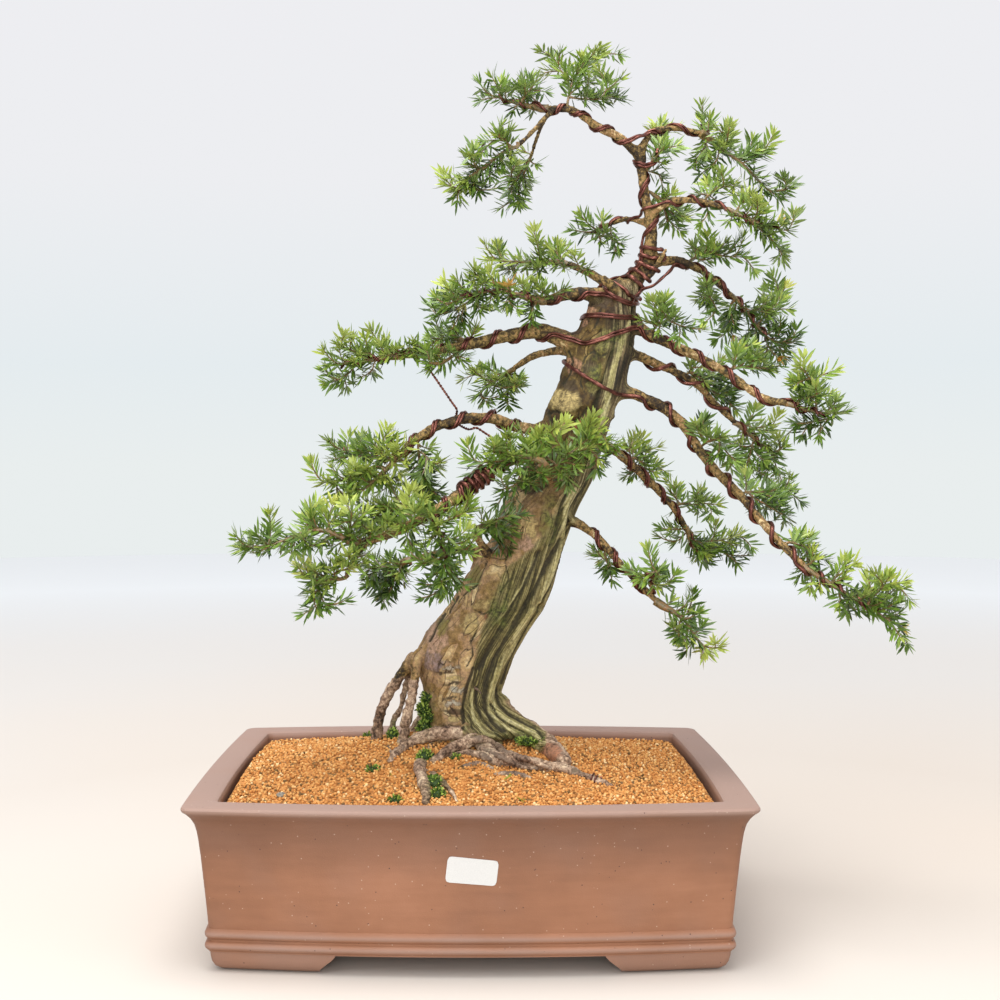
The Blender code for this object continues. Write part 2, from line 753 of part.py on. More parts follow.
# Each wire runs along its hosts in turn: host, from, to, turns, and which way it faces where it
# passes to the next host (first stage) or comes from the last one (other stages)
WIRES = {
    "wire_leader": (
        THICK_WIRE, [("trunk", 326, 296, 1.0, (-1, 0, 0)), ("leader", 0.24, 0.93, 3.0, (-1, 0, 0))],
    ),
    "wire_crown": (MIDDLE_WIRE, [("crown", 0.95, 0.2, 3.2, FRONT), ("right_1", 0.3, 0.95, 1.5, FRONT)]),
    "wire_top": (THIN_WIRE, [("left_1", 0.93, 0.4, 1.1, FRONT), ("right_2", 0.3, 0.95, 2.0, FRONT)]),
    "wire_neck": (
        MIDDLE_WIRE,
        [
            ("left_2", 0.94, 0.42, 1.5, FRONT), ("trunk", 300, 302, 0.25, FRONT_LEFT),
            ("right_3", 0.34, 0.95, 2.2, FRONT),
        ],
    ),
    "wire_upper": (
        MIDDLE_WIRE,
        [
            ("left_3", 0.97, 0.24, 5.0, FRONT), ("trunk", 350, 322, 0.28, FRONT_LEFT),
            ("right_4", 0.2, 0.96, 4.6, FRONT),
        ],
    ),
    "wire_middle": (
        MIDDLE_WIRE,
        [
            ("right_5", 0.95, 0.24, 3.0, BACK), ("trunk", 354, 390, 0.76, BACK_RIGHT),
            ("right_6", 0.16, 0.97, 7.2, FRONT),
        ],
    ),
    "wire_lower": (
        MIDDLE_WIRE,
        [
            ("left_4", 0.96, 0.26, 5.2, BACK), ("trunk", 434, 446, -0.25, BACK_LEFT),
            ("right_7", 0.26, 0.95, 4.0, BACK),
        ],
    ),
    "wire_base": (
        MIDDLE_WIRE,
        [
            ("left_5", 0.62, 0.24, 4.6, BACK), ("trunk", 466, 512, -0.25, BACK_LEFT),
            ("right_8", 0.3, 0.95, 3.3, BACK),
        ],
    ),
}
# The twisted tie from a left branch down to the next ones: host, share, turns and way it faces
TIE_TWIST = math.radians(28)
TIE_ROUTE = [
    ("left_3", 0.915, 0.9, (0, 0, 1)),
    ("left_4", 0.60, 0.9, (0, 0, 1)),
    ("left_5", 0.26, 0.5, (0, 0, 1)),
]


def trunk_axis():
    """The trunk's middle line from the top down, with its rough half widths."""
    route = [sight((left + right) / 2, row, depth) for row, left, right, depth, _ in TRUNK_ROWS[:10]]
    widths = [(right - left) / 2 * 1.05 * MM for _, left, right, _, _ in TRUNK_ROWS[:10]]
    return route, widths


def at_share(route, values, share):
    """The place, heading and value at a share of a route's length, all read between its points."""
    place = share * (len(route) - 1)
    low = min(int(place), len(route) - 2)
    part = place - low
    ways = headings(route)
    heading = ways[low].lerp(ways[low + 1], part).normalized()
    value = values[low] * (1 - part) + values[low + 1] * part
    return route[low].lerp(route[low + 1], part), heading, value


def coil(host, routes, start, end, turns, facing, steps, facing_last=False):
    """Places on a coil round a host: the middle, the direction outwards and the host's radius."""
    if host == "trunk":
        route, radii = trunk_axis()
        rows = [row[0] for row in TRUNK_ROWS[:10]]
        start, end = (np.interp((start, end), rows, np.linspace(0, 1, 10)))
    else:
        route, radii = routes[host]
    places = []
    count = max(2, round(abs(turns) * steps) + 1)
    for k in range(count):
        part = k / (count - 1)
        middle, heading, radius = at_share(route, radii, start + (end - start) * part)
        facing_way = Vector(facing)
        one = (facing_way - heading * facing_way.dot(heading)).normalized()
        two = heading.cross(one)
        turn = ALL_SIDES * turns * (part - 1 if facing_last else part)
        if host == "trunk":
            turn = -turn
        places.append((middle, one * math.cos(turn) + two * math.sin(turn), radius))
    return places


def link(places, more):
    """Joins two runs of places by a few in between, so that the wire goes round and not through."""
    if not places:
        return more
    low, high = places[-1], more[0]
    count = max(2, math.ceil((high[0] - low[0]).length / (9 * MM)))
    between = []
    for k in range(1, count):
        part = k / count
        way = low[1].lerp(high[1], part).normalized()
        radius = low[2] * (1 - part) + high[2] * part
        between.append((low[0].lerp(high[0], part), way, radius))
    return places + between + more


MOST_LIFT = 14.0
SETTLING_TURNS = 120
LEAST_STEP = 4.6


def settle_wire(places, radius, tree, taken, owner):
    """Lays a wire on the wood: from just outside it, then outwards until all of it is clear."""
    points = []
    for middle, outwards, host_radius in places:
        reach = host_radius * 1.5 + 9 * MM
        hit = tree.ray_cast(middle + outwards * reach, -outwards, reach)[0]
        surface = (hit - middle).length if hit else host_radius
        points.append(middle + outwards * (surface + radius + GAP * MM))
    starts = list(points)
    outs = [place[1] for place in places]
    for _ in range(4):
        drop_kinks(points, starts, outs)
        push_clear(points, starts, outs, radius, tree, taken, owner)
    return points


def drop_kinks(points, starts, outs):
    """Drops points that lie too close to the one before, or where the wire would double back."""
    i = 1
    while i < len(points) - 1:
        back = points[i] - points[i - 1]
        on = points[i + 1] - points[i]
        if back.length < LEAST_STEP * MM or on.length < LEAST_STEP * MM or back.dot(on) < 0.0:
            for values in (points, starts, outs):
                del values[i]
        else:
            i += 1


def push_clear(points, starts, outs, radius, tree, taken, owner):
    """Pushes each stretch of a wire off the wood and off other wires until all of it is clear."""
    for turn in range(SETTLING_TURNS):
        moved = False
        for i in range(len(points) - 1):
            low, high = points[i], points[i + 1]
            count = max(4, math.ceil((high - low).length / (2.5 * MM)))
            tests = [outside(tree, low.lerp(high, t / count)) for t in range(count + 1)]
            worst = min(range(count + 1), key=lambda t: tests[t][0])
            short = radius + GAP * MM - tests[worst][0]
            apart = radius + GAP * MM - taken.room(points[i], points[i + 1], owner)
            off_low = outs[i] if turn > SETTLING_TURNS / 2 else tests[worst][1]
            off_high = outs[i + 1] if turn > SETTLING_TURNS / 2 else tests[worst][1]
            for push, way_low, way_high in ((short, off_low, off_high), (apart, outs[i], outs[i + 1])):
                if push > 0.00002:
                    moved = True
                    step = push * 0.55 + 0.00004
                    points[i] = points[i] + way_low * (step * (1.15 - worst / count))
                    points[i + 1] = points[i + 1] + way_high * (step * (0.15 + worst / count))
        for i, point in enumerate(points):
            moved_by = point - starts[i]
            if moved_by.length > MOST_LIFT * MM:
                points[i] = starts[i] + moved_by.normalized() * (MOST_LIFT * MM)
        if not moved:
            break


def make_wire(name, number, radius, stages, routes, tree, taken):
    """One wire wound along its hosts in turn."""
    places = []
    for host, start, end, turns, facing in stages:
        steps = STEPS_A_TURN + 5 if host == "trunk" else STEPS_A_TURN
        first = not places and host != "trunk"
        run = coil(host, routes, start, end, turns, facing, steps, first)
        places = link(places, run)
    points = settle_wire(places, radius * MM, tree, taken, number)
    for a, b in zip(points, points[1:]):
        taken.add(number, 0, a, b, radius * MM)
    sides = 4 if radius == THICK_WIRE else 3
    return tube(name, points, [radius * MM] * len(points), sides, WIRE_METAL)


def make_tie(number, routes, tree, taken):
    """The thin twisted tie, as a flat double strand that turns along its free runs."""
    places = []
    for host, share, turns, facing in TIE_ROUTE:
        places = link(places, coil(host, routes, share - 0.012, share + 0.012, turns, facing, 6))
    points = settle_wire(places, 1.7 * MM, tree, taken, number)
    rings = []
    turn = 0.0
    for point, (one, two) in zip(points, side_frames(points)):
        turn += TIE_TWIST
        wide = one * math.cos(turn) + two * math.sin(turn)
        thin = two * math.cos(turn) - one * math.sin(turn)
        ring = [wide * x * 1.45 * MM + thin * y * 0.75 * MM for x, y in ((1, 1), (-1, 1), (-1, -1), (1, -1))]
        rings.append([point + corner for corner in ring])
    for a, b in zip(points, points[1:]):
        taken.add(number, 0, a, b, 1.7 * MM)
    return loft("wire_tie", rings, WIRE_METAL)


# Leafy stems. Each has the branch that carries it, where its foot is (a column and row, or None for
# the branch's end), its stem, how much deeper the stem's tip lies in mm, and the tips of its twigs
SPRAYS = {
    "crown_top": (
        "crown", (565, 105), [(570, 90), (574, 77), (584, 64)], 12,
        [(548, 50), (560, 67), (595, 34), (608, 50), (624, 96), (610, 74), (603, 92), (588, 94)],
    ),
    "crown_left": (
        "crown", None, [(528, 107), (507, 100), (490, 95)], -18,
        [(473, 90), (474, 104), (483, 82), (501, 78), (519, 78), (543, 70), (528, 92)],
    ),
    "crown_low": (
        "crown_low", None, [(505, 150), (493, 160), (478, 172), (462, 181)], -22,
        [
            (438, 182), (446, 199), (448, 163), (465, 201), (480, 197), (475, 141), (464, 154),
            (488, 128),
        ],
    ),
    "crown_hang": (
        "crown_hang", None, [(524, 167), (516, 179), (509, 190)], 16,
        [(507, 212), (499, 173), (538, 167), (519, 149), (498, 198)],
    ),
    "right_1": (
        "right_1", None, [(716, 145), (735, 158), (752, 173), (767, 190), (780, 197)], 24,
        [
            (700, 114), (712, 113), (723, 111), (732, 118), (744, 128), (694, 166), (711, 172),
            (723, 178), (774, 148), (777, 163), (797, 187), (791, 205), (757, 150),
        ],
    ),
    "leader_right": (
        "leader", (643, 170), [(655, 158), (664, 147)], -22,
        [(664, 116), (676, 139), (673, 164), (668, 178)],
    ),
    "leader_back": (
        "leader", (648, 192), [(660, 199), (668, 214), (668, 224)], 36,
        [(655, 227), (684, 229), (680, 212)],
    ),
    "right_2_up": (
        "right_2", (702, 201), [(710, 193), (720, 187)], 22,
        [(691, 189), (706, 181), (719, 180), (731, 178), (743, 182), (711, 216)],
    ),
    "right_2": (
        "right_2", None, [(745, 218), (760, 228), (773, 241)], -22,
        [(750, 187), (757, 197), (768, 203), (783, 217), (797, 233), (787, 254), (742, 222)],
    ),
    "right_3_up": (
        "right_3", (690, 262), [(699, 255), (712, 249)], 30,
        [(692, 241), (706, 236), (723, 239), (731, 251), (756, 258)],
    ),
    "right_3_low": (
        "right_3", (716, 282), [(708, 292), (704, 299)], -26,
        [(695, 288), (699, 304), (707, 313), (713, 321), (722, 316)],
    ),
    "right_3": (
        "right_3", None, [(740, 302), (749, 316), (760, 330), (772, 341), (786, 345)], 26,
        [
            (723, 334), (735, 341), (748, 350), (765, 364), (788, 364), (799, 355), (803, 341),
            (785, 325), (783, 313), (779, 277), (791, 280), (797, 289), (762, 293),
        ],
    ),
    "right_4_near": (
        "right_4", (652, 336), [(659, 322), (670, 312)], -34,
        [(656, 303), (669, 289), (681, 305), (696, 318), (699, 331), (688, 340)],
    ),
    "right_4_up": (
        "right_4", (722, 369), [(737, 366), (752, 367), (767, 367)], 30,
        [(721, 346), (735, 338), (748, 346), (761, 347), (777, 361), (762, 382)],
    ),
    "right_4": (
        "right_4", None, [(808, 410), (828, 415), (846, 411)], -28,
        [
            (796, 361), (812, 363), (818, 374), (805, 388), (829, 387), (838, 396), (849, 394),
            (862, 403), (865, 411), (783, 425), (798, 425), (820, 430), (838, 428),
        ],
    ),
    "right_5_near": (
        "right_5", (690, 378), [(700, 372), (714, 378)], 34,
        [(693, 363), (708, 365), (722, 384), (731, 393), (740, 409)],
    ),
    "right_5": (
        "right_5", None, [(751, 436), (765, 448), (776, 456)], 26,
        [
            (766, 423), (778, 431), (788, 443), (788, 456), (780, 475), (765, 478), (743, 478),
            (730, 462), (733, 446),
        ],
    ),
    "right_6_near": (
        "right_6", (698, 446), [(710, 439), (722, 437)], -34,
        [(691, 421), (705, 413), (725, 418), (736, 442), (731, 455), (743, 470), (693, 470)],
    ),
    "right_6_middle": (
        "right_6", (738, 492), [(756, 491), (776, 490)], 36,
        [(799, 489), (797, 498), (795, 516), (770, 505), (766, 480), (781, 478)],
    ),
    "right_6_far": (
        "right_6", (784, 548), [(794, 542), (806, 545), (811, 560)], 30,
        [(790, 529), (803, 532), (817, 560), (812, 576)],
    ),
    "right_6": (
        "right_6", None, [(828, 582), (848, 595), (868, 606), (890, 621)], -34,
        [
            (820, 557), (838, 562), (852, 551), (860, 557), (875, 575), (897, 568), (911, 580),
            (903, 600), (913, 616), (910, 632), (893, 641), (847, 619), (871, 628),
        ],
    ),
    "right_7_up": (
        "right_7", (634, 466), [(636, 454), (646, 450)], 30,
        [(624, 441), (642, 440), (655, 456), (663, 467), (630, 485)],
    ),
    "right_7_middle": (
        "right_7", (668, 501), [(688, 502), (706, 498)], 32,
        [(674, 480), (691, 481), (718, 491), (728, 505), (706, 517)],
    ),
    "right_7": (
        "right_7", None, [(696, 541), (706, 549), (720, 548)], 24,
        [
            (667, 528), (672, 546), (698, 561), (711, 570), (727, 531), (737, 524), (750, 531),
            (735, 557),
        ],
    ),
    "right_8_near": (
        "right_8", (598, 538), [(603, 552), (607, 563)], 26,
        [(586, 552), (595, 566), (615, 573), (620, 556)],
    ),
    "right_8_up": (
        "right_8", (644, 590), [(650, 578), (657, 571)], -28,
        [(649, 563), (662, 569), (675, 584), (670, 601), (628, 582)],
    ),
    "right_8": (
        "right_8", None, [(674, 612), (688, 622), (697, 641), (708, 653)], -20,
        [
            (668, 628), (691, 611), (709, 620), (709, 635), (677, 645), (691, 655), (713, 639),
            (723, 658), (726, 649),
        ],
    ),
    "left_1": (
        "left_1", None, [(598, 228), (589, 233)], 22,
        [(588, 219), (603, 212), (576, 231), (584, 243), (601, 246), (618, 257)],
    ),
    "left_2": (
        "left_2", None, [(524, 297), (505, 291), (485, 291), (465, 297), (446, 305)], -28,
        [
            (422, 310), (426, 320), (428, 300), (438, 328), (447, 286), (453, 279), (468, 269),
            (486, 273), (502, 310), (520, 318), (480, 316), (461, 324),
        ],
    ),
    "left_2_back": (
        "left_2_back", None, [(546, 262), (522, 262), (502, 261), (487, 260)], 26,
        [
            (478, 246), (494, 241), (503, 252), (524, 250), (545, 244), (560, 241), (536, 234),
            (512, 280), (535, 279),
        ],
    ),
    "left_3_up": (
        "left_3", (468, 344), [(460, 336), (449, 334)], 30,
        [(442, 327), (430, 331), (456, 325), (476, 330), (424, 346)],
    ),
    "left_3_low": (
        "left_3", (462, 346), [(454, 357), (442, 365)], -28,
        [(441, 379), (426, 373), (456, 377), (470, 366), (419, 364)],
    ),
    "left_3": (
        "left_3", None, [(384, 358), (364, 361), (346, 363), (330, 365)], -24,
        [
            (316, 355), (315, 372), (319, 386), (332, 390), (346, 384), (330, 341), (352, 346),
            (375, 338), (394, 342), (371, 379), (390, 375),
        ],
    ),
    "left_3_back": (
        "left_3_back", None, [(498, 378), (486, 387), (476, 396)], 26,
        [
            (463, 392), (470, 404), (490, 408), (508, 404), (518, 394), (472, 371), (484, 365),
            (530, 386),
        ],
    ),
    "left_4": (
        "left_4", None, [(380, 475), (368, 486), (355, 496)], -20,
        [
            (342, 477), (328, 481), (313, 485), (314, 493), (336, 501), (350, 504), (402, 478),
            (392, 493), (364, 470),
        ],
    ),
    "left_4_up": (
        "left_4", (398, 458), [(384, 458), (366, 457), (346, 456)], 32,
        [(326, 445), (336, 458), (347, 439), (363, 432), (379, 435), (392, 438), (352, 470)],
    ),
    "left_4_low": (
        "left_4", (416, 440), [(418, 456), (424, 472), (429, 491)], 26,
        [(430, 514), (409, 471), (440, 471), (445, 490), (415, 494)],
    ),
    "left_5_up": (
        "left_5", (420, 520), [(410, 508), (398, 502)], 34,
        [(392, 494), (372, 504), (382, 516), (420, 503)],
    ),
    "left_5": (
        "left_5", None, [(336, 534), (312, 528), (291, 538), (266, 547), (242, 547)], -20,
        [
            (320, 503), (337, 498), (353, 501), (302, 515), (284, 521), (271, 521), (251, 527),
            (227, 540), (229, 552), (251, 560), (307, 552), (328, 550),
        ],
    ),
    "left_5_low": (
        "left_5_low", None, [(328, 581), (311, 582)], -18,
        [
            (294, 574), (298, 588), (307, 600), (319, 611), (330, 617), (339, 612), (346, 598),
            (315, 565), (334, 562),
        ],
    ),
    "left_5_right": (
        "left_5", (432, 514), [(440, 530), (446, 548), (444, 568)], -26,
        [
            (480, 505), (468, 527), (481, 558), (462, 585), (440, 598), (423, 590), (414, 566),
            (424, 545),
        ],
    ),
    "left_6": (
        "left_6", None, [(396, 562), (388, 574), (384, 587)], 18,
        [(372, 602), (381, 600), (393, 595), (365, 587), (374, 568), (406, 579)],
    ),
    "front_stub": (
        "front_stub", None, [(484, 524), (497, 520), (511, 515)], -10,
        [(474, 519), (486, 511), (521, 512), (521, 535), (509, 541), (491, 539)],
    ),
    "front_left": (
        "front_twig", None, [(532, 458), (511, 455), (491, 452)], -16,
        [
            (466, 449), (483, 438), (508, 436), (457, 461), (478, 474), (501, 471), (494, 496),
            (519, 497), (530, 478),
        ],
    ),
    "front_right": (
        "front_twig", (548, 475), [(562, 458), (577, 449), (591, 442)], -28,
        [
            (519, 435), (545, 425), (569, 424), (590, 415), (608, 425), (610, 445), (604, 465),
            (575, 475), (570, 488), (542, 490),
        ],
    ),
}
STEM_STEP = 0.020
LEAST_AHEAD = 0.6


def stem_starts(branch, foot, towards, routes, tree, stem_radius):
    """Places where a stem can meet its branch, the likeliest first: start, direction, branch radius."""
    route, radii = routes[branch]
    if foot is None:
        way = (route[-1] - route[-2]).normalized()
        yield route[-1] + way * (GAP * MM), way, radii[-1]
        return
    seen = sight(*foot, 0)
    shares = np.linspace(0.05, 0.97, 60)
    line = [at_share(route, radii, share) for share in shares]
    best = min(range(60), key=lambda i: (line[i][0].x - seen.x) ** 2 + (line[i][0].z - seen.z) ** 2)
    for shift in (0, 1, -1, 2, -2, 3, -3, 4, -4, 6, -6, 8, -8):
        middle, heading, radius = line[min(max(best + shift, 0), 59)]
        aim = towards - middle
        first = (aim - heading * aim.dot(heading)).normalized()
        second = heading.cross(first)
        for turn in (0, 25, -25, 50, -50, 75, -75):
            angle = math.radians(turn)
            way = first * math.cos(angle) + second * math.sin(angle)
            across = heading.cross(way)
            reach = 0.0
            for corner in range(8):
                spoke = ALL_SIDES * corner / 8
                off = (heading * math.cos(spoke) + across * math.sin(spoke)) * stem_radius
                hit = tree.ray_cast(middle + off + way * (radius * 2.2), -way, radius * 2.2)[0]
                if hit:
                    reach = max(reach, (hit - middle).dot(way))
            if reach:
                yield middle + way * (reach + GAP * MM), way, radius


def run_lengths(route):
    """The distance along a route to each of its points."""
    return np.cumsum([0.0] + [(b - a).length for a, b in zip(route, route[1:])])


def place_rings(route, radii, skip, spacing):
    """Rings along a route: a pair one needle base apart at each whorl, with bare runs between."""
    runs = run_lengths(route)
    rings, whorls = [0.0], []
    place = skip
    while place + NEEDLE_BASE * MM < runs[-1] - 0.0008:
        whorls.append(len(rings))
        rings += [place, place + NEEDLE_BASE * MM]
        place += spacing
    rings.append(runs[-1])
    table = np.array([tuple(p) for p in route])
    points = [Vector([float(np.interp(run, runs, table[:, k])) for k in range(3)]) for run in rings]
    return points, [float(np.interp(run, runs, radii)) for run in rings], whorls


# Twigs have the kinds 1, 2 and so on, and the needles of a whorl have a kind of their own past these
WHORL_KINDS = 1000


class Spray:
    """One leafy stem. Its twigs and needles are raised from the faces of its own tube."""

    def __init__(self, name, number, route, radii, way, room, rng):
        self.name = name
        self.number = number
        self.room = room
        self.rng = rng
        self.points, self.sizes, self.whorls = place_rings(
            route, radii, STEM_BARE * MM, STEM_WHORLS * MM
        )
        self.points.insert(1, self.points[0] + way * (SECOND_RING * MM))
        self.sizes.insert(1, self.sizes[0])
        self.whorls = [ring + 1 for ring in self.whorls]
        after = headings(self.points)
        self.ways = [way, way, (way + after[2]).normalized(), *after[3:]]
        self.frames = side_frames(self.points, self.ways)
        self.twigs = {}
        self.verts = []
        self.faces = []
        self.needles = {}

    def plan_twigs(self, tips):
        """Gives each tip a whorl of the stem to grow from and a place with room to spare."""
        for twig, (column, row) in enumerate(tips, 1):
            flat = sight(column, row, 0)
            free = [i for i in self.whorls if i not in self.twigs]
            if not free:
                return

            def off(i):
                """How far a whorl is from the tip, as seen from the front."""
                return (self.points[i].x - flat.x) ** 2 + (self.points[i].z - flat.z) ** 2

            near = min(self.whorls, key=off)
            place = self.points[near]
            depth = place.y / MM
            away = (sight(column, row, depth) - place).length
            behind = [i for i in free if i < near and (self.points[i] - place).length >= away * 0.3]
            start = min(behind or free, key=lambda i: (self.points[i] - place).length)
            side = 1 if twig % 2 else -1
            offset = side * self.rng.uniform(0.3, 0.95) * min(away / MM + 8, 34)
            self.place_twig(twig, start, column, row, depth, offset)

    def place_twig(self, twig, ring, column, row, depth, offset):
        """Tries depths for a twig's tip until the twig is clear of everything else."""
        taken, tree = self.room
        foot = self.points[ring]
        for change in (1.0, 0.6, 1.4, 0.2, -0.4, -0.9, 1.8, -1.4):
            tip = sight(column, row, depth + offset * change)
            reach = tip - foot
            end = foot + reach.normalized() * max(7 * MM, reach.length - 12 * MM)
            aim = reach - self.ways[ring] * reach.dot(self.ways[ring])
            outwards = aim.normalized()
            bend = foot + outwards * (self.sizes[ring] + 2.5 * MM) + reach.normalized() * (1.5 * MM)
            if (end - bend).length < 5 * MM:
                end = bend + reach.normalized() * (5 * MM)
            sag = Vector((0, 0, -TWIG_SAG * (end - bend).length))
            middle = bend.lerp(end, 0.55) + sag
            rod = (TWIG_RADIUS + TWIG_CLEARANCE) * MM
            root = taken.room(foot, bend, self.number) - rod
            own_root = taken.room(foot, bend, self.number, [0, twig]) - TWIG_APART * MM
            if min(root, own_root) > 0 and all(
                taken.room(low, high, self.number) > rod
                and taken.room(low, high, self.number, [twig]) > TWIG_APART * MM
                and clear_of_wood(tree, low, high) > rod
                for low, high in ((bend, middle), (middle, end))
            ):
                for low, high in ((foot, bend), (bend, middle), (middle, end)):
                    taken.add(self.number, twig, low, high, TWIG_RADIUS * MM)
                self.twigs[ring] = (twig, outwards, bend, middle, end)
                return

    def ring(self, point, one, two, radius, spin):
        """Adds the four corners of a square section and returns their numbers."""
        first = len(self.verts)
        for k in range(4):
            angle = spin + math.radians(45 + 90 * k)
            self.verts.append(point + (one * math.cos(angle) + two * math.sin(angle)) * radius)
        return list(range(first, first + 4))

    def sides(self, low, high):
        """The four quads between two rings."""
        return [(low[k], low[(k + 1) % 4], high[(k + 1) % 4], high[k]) for k in range(4)]

    def raise_needle(self, quad, middle, heading, twig, whorl):
        """Raises one quad into a needle, or keeps it flat where a needle has no room."""
        kind = (twig + 1) * WHORL_KINDS + whorl
        taken, tree = self.room
        centre = sum((self.verts[corner] for corner in quad), Vector()) / 4
        outwards = centre - middle
        outwards = (outwards - heading * outwards.dot(heading)).normalized()
        lean = math.radians(self.rng.uniform(28, 44))
        way = outwards * math.cos(lean) + heading * math.sin(lean)
        way = (way + Vector((0, 0, 0.12))).normalized()
        length = NEEDLE_LENGTH * self.rng.uniform(0.85, 1.1) * MM
        for share in (1.0, 0.65):
            tip = centre + way * (length * share)
            if clear_spot(centre + way * 0.002, tip, self.number, [twig, kind], tree, taken):
                taken.add(self.number, kind, centre, tip, NEEDLE_CORE * MM)
                self.point_face(quad, tip)
                return
        self.faces.append(quad)

    def point_face(self, quad, tip):
        """Draws a quad out to a point."""
        self.verts.append(tip)
        top = len(self.verts) - 1
        self.needles[top] = tuple(quad)
        self.faces += [(quad[n], quad[(n + 1) % 4], top) for n in range(4)]

    def close_tip(self, ring, point, heading, twig):
        """Ends a tube in a last needle that points onwards, or in a flat cap where that has no room."""
        taken, tree = self.room
        end = point + heading * (NEEDLE_LENGTH * 0.8 * MM)
        if clear_spot(point, end, self.number, [twig], tree, taken):
            taken.add(self.number, twig, point, end, NEEDLE_CORE * MM)
            self.point_face(ring, end)
        else:
            self.faces.append(tuple(ring))

    def grow_twig(self, quad, twig, bend, middle, end):
        """Draws a face of the stem out into a twig with its own whorls."""
        base = [self.verts[corner] for corner in quad]
        centre = sum(base, Vector()) / 4
        route = [centre, bend, middle, end]
        radii = [TWIG_RADIUS * MM, TWIG_RADIUS * MM, TWIG_RADIUS * MM, 0.9 * MM]
        points, sizes, whorls = place_rings(route, radii, TWIG_BARE * MM, TWIG_WHORLS * MM)
        ways = headings(points)
        one = base[1] - base[0]
        low = list(quad)
        for i in range(1, len(points)):
            one = (one - ways[i] * one.dot(ways[i])).normalized()
            two = ways[i].cross(one)
            if i == 1 and two.dot(base[3] - base[0]) < 0:
                two = -two
            if i > 1 and i - 1 not in whorls:
                turn = math.radians(42)
                one = one * math.cos(turn) + two * math.sin(turn)
                two = ways[i].cross(one)
            high = self.ring(points[i], one, two, sizes[i], math.radians(180))
            for quad_here in self.sides(low, high):
                if i - 1 in whorls:
                    middle_here = (points[i] + points[i - 1]) / 2
                    self.raise_needle(quad_here, middle_here, ways[i], twig, i)
                else:
                    self.faces.append(quad_here)
            low = high
        self.close_tip(low, points[-1], ways[-1], twig)

    def twig_angle(self, ring):
        """The angle round the stem at which a ring's twig sets out."""
        if ring not in self.twigs:
            return self.rng.uniform(0, ALL_SIDES)
        one, two = self.frames[ring]
        outwards = self.twigs[ring][1]
        return math.atan2(outwards.dot(two), outwards.dot(one))

    def make(self):
        """Builds the whole spray as one closed mesh."""
        spin = self.twig_angle(self.whorls[0])
        low = None
        quarter = ALL_SIDES / 4
        for i, (point, (one, two)) in enumerate(zip(self.points, self.frames)):
            if i in self.whorls[1:]:
                want = self.twig_angle(i) if i in self.twigs else spin + math.radians(40)
                spin += (want - spin + quarter / 2) % quarter - quarter / 2
            high = self.ring(point, one, two, self.sizes[i], spin)
            if low is None:
                self.faces.append(tuple(high))
            elif i - 1 in self.whorls:
                self.leafy_run(self.sides(low, high), i - 1)
            else:
                self.faces += self.sides(low, high)
            low = high
        self.close_tip(low, self.points[-1], self.ways[-1], 0)
        while self.flatten_crossed():
            pass
        kept = sorted({corner for face in self.faces for corner in face})
        place = {corner: n for n, corner in enumerate(kept)}
        verts = [self.verts[corner] for corner in kept]
        faces = [[place[corner] for corner in face] for face in self.faces]
        return make_object("spray_" + self.name, verts, faces, YEW_NEEDLES)

    def flatten_crossed(self):
        """Flattens the needles that cut through their own spray, and says how many there were."""
        tree = BVHTree.FromPolygons(self.verts, self.faces)
        crossed = set()
        for i, j in tree.overlap(tree):
            corners = {*self.faces[i], *self.faces[j]}
            if len(corners) == len(self.faces[i]) + len(self.faces[j]):
                crossed.add(max(corners & self.needles.keys(), default=None))
        crossed.discard(None)
        for top in crossed:
            self.faces = [face for face in self.faces if top not in face]
            self.faces.append(self.needles.pop(top))
        return len(crossed)

    def leafy_run(self, quads, ring):
        """One whorl of the stem: a twig from the face that looks its way, and needles from the rest."""
        middle = (self.points[ring] + self.points[ring + 1]) / 2
        twig_quad = None
        if ring in self.twigs:
            outwards = self.twigs[ring][1]
            centres = [sum((self.verts[c] for c in quad), Vector()) / 4 for quad in quads]
            twig_quad = max(range(4), key=lambda k: (centres[k] - middle).dot(outwards))
        for k, quad in enumerate(quads):
            if k == twig_quad:
                twig, _, bend, halfway, end = self.twigs[ring]
                self.grow_twig(quad, twig, bend, halfway, end)
            elif self.sizes[ring] < 2.4 * MM:
                self.raise_needle(quad, middle, self.ways[ring], 0, ring)
            else:
                self.faces.append(quad)


def clear_spot(start, end, number, skip, tree, taken):
    """Whether a needle from start to end would stay clear of all that isn't its own twig."""
    reach = (NEEDLE_CLEARANCE + NEEDLE_CORE) * MM
    return (
        taken.room(start, end, number) > reach
        and taken.room(start, end, number, skip) > 1.2 * MM
        and clear_of_wood(tree, start, end) > reach
    )


